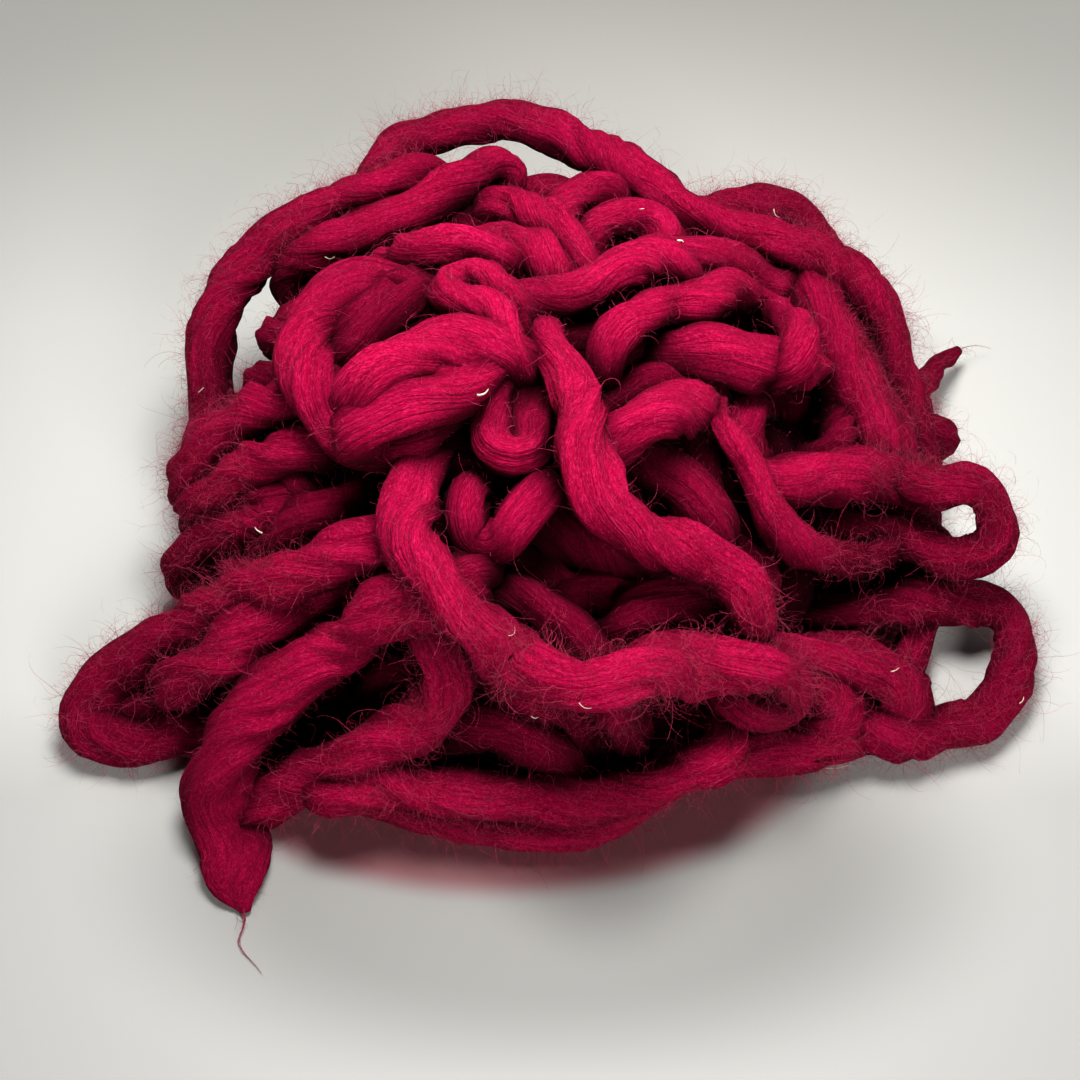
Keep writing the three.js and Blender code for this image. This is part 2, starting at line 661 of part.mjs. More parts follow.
    [  71.8,    5.3,   16.4,   10.3],
    [  71.4,    5.6,   16.2,   10.4],
    [  68.3,    7.9,   15.2,    6.1],
  ],
  back_turn_9: [
    [ -10.2,   59.1,     46,    5.3],
    [   -12,     59,   49.6,    9.7],
    [ -16.1,   57.1,   55.4,    9.6],
    [ -24.3,   51.6,   58.4,    9.3],
    [ -36.4,   49.2,   56.6,    8.9],
    [ -46.8,     48,   52.3,    8.6],
    [ -49.6,   52.2,   45.4,    8.4],
    [ -44.3,     55,   38.5,    8.4],
    [ -41.8,   54.9,   36.7,    8.5],
    [ -38.4,   54.5,   34.6,    4.7],
  ],
  back_turn_10: [
    [  43.5,   49.1,   37.5,    5.2],
    [  42.3,   52.5,   39.2,    9.8],
    [  38.3,   58.4,   41.1,   10.4],
    [  28.3,   64.6,   42.9,    9.8],
    [  20.8,   65.4,   48.3,    9.1],
    [  14.6,     59,   50.8,    9.5],
    [  14.1,   58.1,   50.7,    9.6],
    [  12.1,   54.7,   50.3,    5.5],
  ],
  back_turn_11: [
    [ -69.4,   -2.9,    7.4,    5.6],
    [ -71.6,   -6.1,    6.3,     10],
    [ -74.2,  -13.4,      5,    9.8],
    [ -72.9,  -23.8,    7.5,   10.1],
    [ -69.9,  -33.3,   16.4,   10.8],
    [   -65,  -39.8,   19.6,   11.2],
    [ -55.3,  -42.8,   18.1,   11.1],
    [ -54.3,  -42.7,     18,   11.1],
    [ -50.3,  -42.4,   17.5,      6],
  ],
  back_under_1: [
    [ -60.9,   -8.8,   18.4,      5],
    [   -64,   -8.4,   15.9,      9],
    [ -68.4,   -5.6,   11.5,    9.1],
    [ -70.7,    4.1,    6.1,    9.3],
    [ -71.3,     18,    4.9,    9.8],
    [   -67,   30.6,    3.7,   10.2],
    [ -59.8,   40.5,    5.6,   10.4],
    [ -51.7,   50.5,   14.2,   10.2],
    [ -42.8,   59.6,     22,    9.8],
    [ -31.4,   65.8,   25.2,    9.3],
    [ -22.8,   68.3,   22.6,      9],
    [ -16.1,   65.2,   15.5,      9],
    [ -15.4,   64.2,   14.6,      9],
    [ -13.5,   61.7,   12.1,      5],
  ],
  back_under_2: [
    [  46.4,   17.3,   43.8,    5.3],
    [  49.2,   20.1,   43.7,    9.6],
    [  53.5,   25.7,   41.7,    9.7],
    [  54.1,   34.2,   36.1,    9.7],
    [  48.8,   45.2,   34.3,    9.5],
    [  40.4,   56.7,   32.2,    9.1],
    [  29.9,   64.3,   28.9,    8.7],
    [  20.5,   66.1,   30.2,    8.5],
    [  15.1,   62.4,   36.6,    8.4],
    [  14.1,   54.3,   39.8,    8.4],
    [  14.3,   50.3,     40,    4.6],
  ],
  back_under_3: [
    [  14.9,   46.6,   46.9,    5.1],
    [    14,   50.3,     48,    9.2],
    [  11.6,   57.3,   47.8,    9.3],
    [   7.8,   63.6,   41.6,    9.7],
    [   6.1,   67.8,   29.5,   10.4],
    [  10.7,     70,   21.4,   10.5],
    [  21.1,   70.3,     17,   10.2],
    [  33.1,   65.5,     17,    9.6],
    [  39.3,   57.6,   15.4,    9.2],
    [  40.3,   51.6,   13.4,    9.2],
    [  40.2,   47.8,   12.1,    5.1],
  ],
  back_under_4: [
    [ -20.8,   55.6,     31,    5.7],
    [ -19.2,     59,   32.4,   10.1],
    [ -15.8,   63.4,   36.2,    9.8],
    [ -12.5,   62.8,   43.8,    9.2],
    [ -16.1,   56.8,   49.8,      9],
    [ -24.4,   51.7,     50,    9.2],
    [ -35.2,   49.7,   43.4,    9.9],
    [ -44.4,   52.2,   33.2,   10.3],
    [ -49.6,   49.3,   26.2,     10],
    [ -50.2,     46,   23.3,    9.8],
    [ -50.1,   42.8,     21,    5.3],
  ],
  back_under_5: [
    [  -1.5,   57.4,   38.4,    5.4],
    [  -2.9,     61,   37.5,    9.8],
    [  -5.3,   65.9,   34.2,     10],
    [  -8.2,   69.6,   23.3,   10.5],
    [  -5.7,   72.4,   11.5,   11.1],
    [   0.9,   73.6,    5.3,   11.2],
    [  13.1,   71.9,      5,     11],
    [  24.4,   65.9,    6.4,   10.4],
    [  29.1,   58.6,    8.1,     10],
    [  30.3,   54.9,      9,    5.4],
  ],
  back_under_6: [
    [ -30.8,   18.3,   54.5,    4.9],
    [ -34.7,   18.9,   55.4,      9],
    [ -41.8,   20.7,   55.1,    9.5],
    [ -52.2,   25.5,   48.2,   10.1],
    [ -59.5,   31.6,   38.8,    9.7],
    [ -60.3,   37.9,   28.9,    8.9],
    [ -57.5,     41,   20.2,    8.7],
    [   -55,   37.4,   14.5,      9],
    [ -53.7,   34.2,   12.4,    5.1],
  ],
  back_under_7: [
    [   -30,   56.1,   27.9,    5.4],
    [ -28.6,   59.7,   28.7,   10.1],
    [ -24.6,   65.3,   28.8,   10.5],
    [ -16.4,   67.6,   28.8,   10.9],
    [  -9.8,   64.6,   35.9,   10.7],
    [  -5.4,   59.1,   48.5,   10.2],
    [  -2.9,   51.8,   53.4,    9.7],
    [  -1.1,   46.7,     53,    9.5],
    [   0.2,   43.1,     52,    5.2],
  ],
  back_under_8: [
    [  59.1,   24.3,   19.6,    5.4],
    [  61.7,   26.4,   17.5,     10],
    [  64.5,   30.5,   12.8,   10.2],
    [  61.2,   36.2,    5.7,     10],
    [  54.8,   43.3,    3.9,    9.4],
    [  52.8,   48.2,    9.9,    8.9],
    [  55.9,   45.6,   18.2,      9],
    [  53.6,   39.1,   24.2,    9.6],
    [  51.4,   36.1,   25.7,    5.4],
  ],
  back_under_9: [
    [  17.9,   61.3,   11.4,    5.1],
    [  15.6,   64.5,   11.4,      9],
    [   9.7,   69.6,   12.5,    8.6],
    [   2.1,   71.9,     18,    8.6],
    [  -0.7,   71.3,   28.4,    9.2],
    [     1,   66.6,   38.6,    9.8],
    [   1.8,   57.1,   42.3,    9.4],
    [   1.5,   55.1,   42.3,    9.3],
    [     1,   51.2,   42.2,      5],
  ],
  back_under_10: [
    [ -38.6,  -41.8,   26.5,    5.4],
    [ -42.5,  -42.7,   25.8,   10.1],
    [ -49.2,  -41.9,   24.5,   10.7],
    [ -56.7,  -33.9,   21.6,   10.5],
    [   -62,  -27.5,   14.7,    9.5],
    [ -64.8,  -21.7,    6.8,    9.9],
    [ -63.6,  -16.1,    5.2,   10.4],
    [   -62,  -12.4,    5.1,    5.9],
  ],
  back_under_11: [
    [  43.1,   48.3,     17,    6.1],
    [  43.7,   51.1,   19.8,   10.7],
    [  43.2,   56.3,   24.3,     10],
    [  35.7,   62.3,   25.4,    9.7],
    [  23.6,   66.6,   23.9,   10.9],
    [  14.8,   65.2,   26.1,   10.5],
    [  11.7,   61.6,   27.8,     10],
    [   9.9,   58.3,   29.1,    5.3],
  ],
};

// The end that lies free in front, from where it leaves the heap to its tip.
const FRONT_END = [
  [ -26.2,  -50.7,   50.8,   10.2,      1],
  [ -32.9,  -49.4,   45.1,   10.4,      1],
  [ -38.1,  -48.3,   37.9,   10.6,      1],
  [ -44.7,  -49.9,   32.2,   10.8,      1],
  [ -51.8,    -53,   27.7,   10.8,      1],
  [ -58.3,  -56.5,   22.6,     11,   0.98],
  [ -63.2,  -61.1,   16.6,     12,   0.86],
  [ -65.3,  -66.1,    9.6,   13.2,   0.64],
  [ -62.9,  -72.6,    4.2,   13.2,   0.45],
  [ -60.5,    -81,    2.2,      9,   0.44],
  [ -59.1,  -85.6,    0.9,    1.9,   0.44],
];
// The hidden stretch by which it hangs together with the heap.
const FRONT_ROOT = [
  [ -15.3,  -32.5,   39.8,   10.2,      1],
  [ -16.9,  -43.8,     48,   10.2,      1],
  [ -26.2,  -50.7,   50.8,   10.2,      1],
];

// The end that lies free behind on the right, from where it leaves the heap to its tip.
const BACK_END = [
  [  65.2,   26.3,    8.4,    8.3,      1],
  [  71.5,   26.6,   11.3,    8.3,      1],
  [  76.6,   31.2,     12,    8.4,      1],
  [    81,   36.6,   11.9,    8.4,      1],
  [  85.1,   42.3,   11.5,    7.9,      1],
  [    89,     48,   10.9,      7,      1],
  [    93,   53.7,    9.5,    5.4,      1],
  [  99.3,     61,      7,      2,      1],
];
const BACK_ROOT = [
  [  56.7,   28.1,    3.5,    8.3,      1],
  [  65.2,   26.3,    8.4,    8.3,      1],
];

// ---- shapes --------------------------------------------------------------------
const rowsOf = (table) => table.map((row) => Object.fromEntries(COLUMNS.map((c, i) => [c, row[i]])));

// How far a section's corners stand out for its flats to hold as much as a round strand.
const fullness = (sides) => Math.sqrt((Math.PI * 2) / (sides * Math.sin((Math.PI * 2) / sides)));

// A closed tube through a table's sections, its rings carried along without twisting.
function strand(table, sides, grow = 0, before = 0) {
  const rows = rowsOf(table);
  const points = rows.map((r) => new THREE.Vector3(r.x, r.y, r.z));
  if (before > 0) {
    const back = points[0].clone().sub(points[1]).normalize().multiplyScalar(before);
    points[0].add(back);
  }
  const tangents = points.map((p, i) => {
    const a = points[Math.max(i - 1, 0)];
    const b = points[Math.min(i + 1, points.length - 1)];
    return b.clone().sub(a).normalize();
  });
  let across = new THREE.Vector3(0, 0, 1).cross(tangents[0]);
  if (across.length() < 0.1) across = new THREE.Vector3(1, 0, 0);
  const positions = [];
  const index = [];
  points.forEach((p, i) => {
    const t = tangents[i];
    across.sub(t.clone().multiplyScalar(across.dot(t))).normalize();
    const up = t.clone().cross(across);
    const r = (rows[i].d / 2) * fullness(sides);
    const flat = rows[i].flat ?? 1;
    for (let k = 0; k < sides; k += 1) {
      const a = (k / sides) * Math.PI * 2;
      const out = across.clone().multiplyScalar(Math.cos(a)).add(up.clone().multiplyScalar(Math.sin(a)));
      positions.push(p.x + out.x * (r + grow), p.y + out.y * (r + grow), p.z + out.z * (r * flat + grow));
    }
  });
  for (let i = 0; i < points.length - 1; i += 1) {
    for (let k = 0; k < sides; k += 1) {
      const a = i * sides + k;
      const b = i * sides + ((k + 1) % sides);
      index.push(a, b, a + sides, b, b + sides, a + sides);
    }
  }
  const last = (points.length - 1) * sides;
  for (let k = 1; k < sides - 1; k += 1) {
    index.push(0, k + 1, k);
    index.push(last, last + k, last + k + 1);
  }
  const g = new THREE.BufferGeometry();
  g.setAttribute('position', new THREE.Float32BufferAttribute(positions, 3));
  g.setIndex(index);
  return g;
}

// The tangled middle: a low mound with soft lumps.
function mound() {
  const g = new THREE.SphereGeometry(1, MOUND_SEGMENTS.round, MOUND_SEGMENTS.up);
  g.rotateX(Math.PI / 2);
  const p = g.attributes.position;
  for (let i = 0; i < p.count; i += 1) {
    const v = new THREE.Vector3().fromBufferAttribute(p, i);
    const turn = Math.atan2(v.y, v.x);
    const side = Math.hypot(v.x, v.y);
    const lump = LUMP.height * side * Math.sin(LUMP.round * turn) * Math.cos(LUMP.up * v.z * 2);
    p.setXYZ(i, MOUND.x + v.x * (MOUND.rx + lump), MOUND.y + v.y * (MOUND.ry + lump), MOUND.z + v.z * MOUND.rz);
  }
  return g;
}

// ---- solids --------------------------------------------------------------------
function solidOf(geometry) {
  const g = geometry.clone();
  g.deleteAttribute('normal');
  g.deleteAttribute('uv');
  const m = mergeVertices(g, 1e-4);
  return new wasm.Manifold(new wasm.Mesh({
    numProp: 3,
    vertProperties: Float32Array.from(m.attributes.position.array),
    triVerts: Uint32Array.from(m.index.array),
  }));
}

// The outer skin of a solid: pockets closed in between the turns are filled.
function skinOf(solid, shortest = FINE) {
  const mesh = solid.getMesh();
  const { vertProperties: v, triVerts: t, numProp: n } = mesh;
  const parent = Array.from({ length: v.length / n }, (_, i) => i);
  const find = (i) => { let k = i; while (parent[k] !== k) { parent[k] = parent[parent[k]]; k = parent[k]; } return k; };
  for (let i = 0; i < t.length; i += 3) {
    parent[find(t[i])] = find(t[i + 1]);
    parent[find(t[i + 1])] = find(t[i + 2]);
  }
  const volume = new Map();
  const at = (i) => new THREE.Vector3(v[i * n], v[i * n + 1], v[i * n + 2]);
  for (let i = 0; i < t.length; i += 3) {
    const [a, b, c] = [at(t[i]), at(t[i + 1]), at(t[i + 2])];
    const k = find(t[i]);
    volume.set(k, (volume.get(k) || 0) + a.dot(b.cross(c)) / 6);
  }
  const outer = [...volume.entries()].sort((p, q) => q[1] - p[1])[0][0];
  const used = new Map();
  const positions = [];
  const index = [];
  for (let i = 0; i < t.length; i += 3) {
    if (find(t[i]) !== outer) continue;
    for (let k = 0; k < 3; k += 1) {
      const id = t[i + k];
      if (!used.has(id)) {
        used.set(id, positions.length / 3);
        positions.push(v[id * n], v[id * n + 1], v[id * n + 2]);
      }
      index.push(used.get(id));
    }
  }
  return tidy(positions, index, shortest);
}

// Draws together the slivers left where turns cross, without changing how the skin is joined,
// and parts corners that only touch.
function tidy(positions, index, shortest) {
  const at = (i) => new THREE.Vector3(positions[i * 3], positions[i * 3 + 1], positions[i * 3 + 2]);
  const faces = [];
  for (let i = 0; i < index.length; i += 3) faces.push([index[i], index[i + 1], index[i + 2]]);
  const around = Array.from({ length: positions.length / 3 }, () => new Set());
  faces.forEach((f, i) => f.forEach((v) => around[v].add(i)));
  const beside = (v) => new Set([...around[v]].flatMap((i) => faces[i]).filter((w) => w !== v));
  const facing = (f) => {
    const [a, b, c] = f.map(at);
    return b.sub(a).cross(c.sub(a));
  };
  // One pass over the short edges, shortest first; gives how many were drawn together.
  const pass = () => {
    const edges = [];
    faces.filter(Boolean).forEach((f) => f.forEach((a, k) => {
      const b = f[(k + 1) % 3];
      const length = at(a).distanceTo(at(b));
      if (a < b && length < shortest) edges.push([length, a, b]);
    }));
    edges.sort((p, q) => p[0] - q[0]);
    let drawn = 0;
    for (const [length, a, b] of edges) {
      if (!around[a].size || !around[b].size) continue;
      const near = beside(a);
      if (!near.has(b)) continue;
      if ([...beside(b)].filter((w) => near.has(w)).length !== 2) continue;
      const here = at(a);
      const to = at(b);
      const kept = [...around[b]].filter((i) => !faces[i].includes(a));
      const moved = [...around[a]].filter((i) => !faces[i].includes(b));
      const turned = (list, v, spot) => list.some((i) => {
        const before = facing(faces[i]);
        const p = faces[i].map((w) => (w === v ? spot.clone() : at(w)));
        const after = p[1].sub(p[0]).cross(p[2].sub(p[0]));
        return before.length() > 1e-3 && before.normalize().dot(after.normalize()) < 0.5;
      });
      const flat = [here, to].filter((s) => s.z < 1e-6);      // what lies on the table stays on it
      const spots = flat.length === 1 ? flat : [here, to, here.clone().lerp(to, 0.5)];
      const spot = spots.find((s) => !turned(kept, b, s) && !turned(moved, a, s)) ?? (length < TOUCH ? spots[0] : null);
      if (!spot) continue;
      [positions[a * 3], positions[a * 3 + 1], positions[a * 3 + 2]] = [spot.x, spot.y, spot.z];
      for (const i of [...around[b]]) {
        if (faces[i].includes(a)) {
          faces[i].forEach((w) => around[w].delete(i));
          faces[i] = null;
        } else {
          faces[i] = faces[i].map((w) => (w === b ? a : w));
          around[a].add(i);
        }
      }
      around[b].clear();
      drawn += 1;
    }
    return drawn;
  };
  for (let i = 0; i < PASSES && pass() > 0; i += 1);
  const left = faces.filter(Boolean);
  const seen = new Map();
  around.forEach((set, v) => {
    if (!set.size) return;
    const key = [0, 1, 2].map((k) => Math.round(positions[v * 3 + k] * 200)).join();
    if (seen.has(key)) {
      const n = new THREE.Vector3();
      set.forEach((i) => n.add(facing(faces[i])));
      n.normalize().multiplyScalar(-TOUCH);
      positions[v * 3] += n.x;
      positions[v * 3 + 1] += n.y;
      positions[v * 3 + 2] = Math.max(positions[v * 3 + 2] + n.z, 0);
    } else seen.set(key, v);
  });
  const used = new Map();
  const points = [];
  const corners = left.flat().map((v) => {
    if (!used.has(v)) {
      used.set(v, points.length / 3);
      points.push(positions[v * 3], positions[v * 3 + 1], positions[v * 3 + 2]);
    }
    return used.get(v);
  });
  const g = new THREE.BufferGeometry();
  g.setAttribute('position', new THREE.Float32BufferAttribute(points, 3));
  g.setIndex(corners);
  g.computeVertexNormals();
  return g;
}

const table = new THREE.BoxGeometry(TABLE_SPAN, TABLE_SPAN, TABLE_DEPTH);
table.translate(0, 0, -TABLE_DEPTH / 2);
const below = solidOf(table);

let heap = solidOf(mound());
for (const rows of Object.values(TURNS)) heap = heap.add(solidOf(strand(rows, STRAND_SIDES)));
heap = heap.add(solidOf(strand(FRONT_ROOT, STRAND_SIDES)));
heap = heap.add(solidOf(strand(BACK_ROOT, STRAND_SIDES)));
heap = solidOf(skinOf(heap, SLIVER));
heap = heap.subtract(solidOf(strand(FRONT_END, END_SIDES, GAP, GAP)));
heap = heap.subtract(solidOf(strand(BACK_END, END_SIDES, GAP, GAP)));
heap = heap.subtract(below);

const frontEnd = solidOf(strand(FRONT_END, END_SIDES)).subtract(below);
const backEnd = solidOf(strand(BACK_END, END_SIDES)).subtract(below);

function piece(name, geometry, look) {
  const mesh = new THREE.Mesh(geometry, new THREE.MeshStandardMaterial(look));
  mesh.name = name;
  return mesh;
}

const yarn = new THREE.Group();
yarn.add(piece('yarn_heap', skinOf(heap), WOOL));
yarn.add(piece('loose_end_front', skinOf(frontEnd), WOOL_END));
yarn.add(piece('loose_end_back', skinOf(backEnd), WOOL_END));

export default yarn;
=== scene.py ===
"""A loose heap of chunky wool yarn on a pale table: turns of a thick, softly spun strand,
its two free ends, and the fuzz, wisps and bits of straw that go with it.
Tables are in millimetres, in the row frame; everything made from them is in metres."""
import math

import bpy
import numpy as np
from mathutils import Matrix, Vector
from mathutils.bvhtree import BVHTree
from mathutils.kdtree import KDTree


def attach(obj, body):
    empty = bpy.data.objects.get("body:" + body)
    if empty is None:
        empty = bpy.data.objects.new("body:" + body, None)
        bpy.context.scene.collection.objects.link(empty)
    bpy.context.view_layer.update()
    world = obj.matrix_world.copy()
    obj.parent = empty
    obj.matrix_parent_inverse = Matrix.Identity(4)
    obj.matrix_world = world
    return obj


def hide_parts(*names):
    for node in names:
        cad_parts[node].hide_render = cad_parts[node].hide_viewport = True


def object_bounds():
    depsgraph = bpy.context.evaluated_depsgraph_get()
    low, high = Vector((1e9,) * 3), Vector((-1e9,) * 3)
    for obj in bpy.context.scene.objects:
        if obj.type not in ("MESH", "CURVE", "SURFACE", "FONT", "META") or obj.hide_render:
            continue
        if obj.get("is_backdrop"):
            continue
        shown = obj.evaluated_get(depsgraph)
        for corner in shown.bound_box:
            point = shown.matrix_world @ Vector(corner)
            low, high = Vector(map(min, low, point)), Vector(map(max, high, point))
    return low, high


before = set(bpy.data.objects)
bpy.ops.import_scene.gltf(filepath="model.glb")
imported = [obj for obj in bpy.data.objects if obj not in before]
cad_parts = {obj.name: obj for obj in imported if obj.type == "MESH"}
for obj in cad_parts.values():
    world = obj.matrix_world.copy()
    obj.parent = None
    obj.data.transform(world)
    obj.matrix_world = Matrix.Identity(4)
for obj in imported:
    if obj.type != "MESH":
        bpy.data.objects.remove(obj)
cad_low, cad_high = (np.array(c, float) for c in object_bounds())
MM = 0.001

# ---- camera ----------------------------------------------------------------------
LOOK_AT = (-3.93, -19.22, 30.00)          # mm
CAMERA_AT = (-3.93, -210.13, 257.52)      # mm
LENS = 49.45                     # on a sensor 36 mm wide

lens = bpy.data.cameras.new("camera")
lens.lens = LENS
lens.sensor_width = 36.0
lens.clip_start = 0.01
camera = bpy.data.objects.new("camera", lens)
bpy.context.collection.objects.link(camera)
camera.location = Vector(CAMERA_AT) * MM
camera.rotation_euler = (Vector(LOOK_AT) - Vector(CAMERA_AT)).to_track_quat("-Z", "Y").to_euler()
bpy.context.scene.camera = camera

# ---- sizes -----------------------------------------------------------------------
FULL = 1.0                       # strand over the diameter in the tables
THICK_THIN = 0.055               # uneven spinning: slow swelling, share of the radius
BULGE = 0.036                    # and quick swelling
SWAY = 0.38                      # how far the strand wanders off its line, mm
OVAL = 0.075                     # how far a section is from round
FOLDS = 0.064                    # soft lengthwise folds of the roving
CREASE = 0.04                    # puckers on the inside of a bend
PITCH = 80.0                     # length of one turn of twist, mm
TABLE_TOP = 0.12                 # lowest a strand reaches, mm

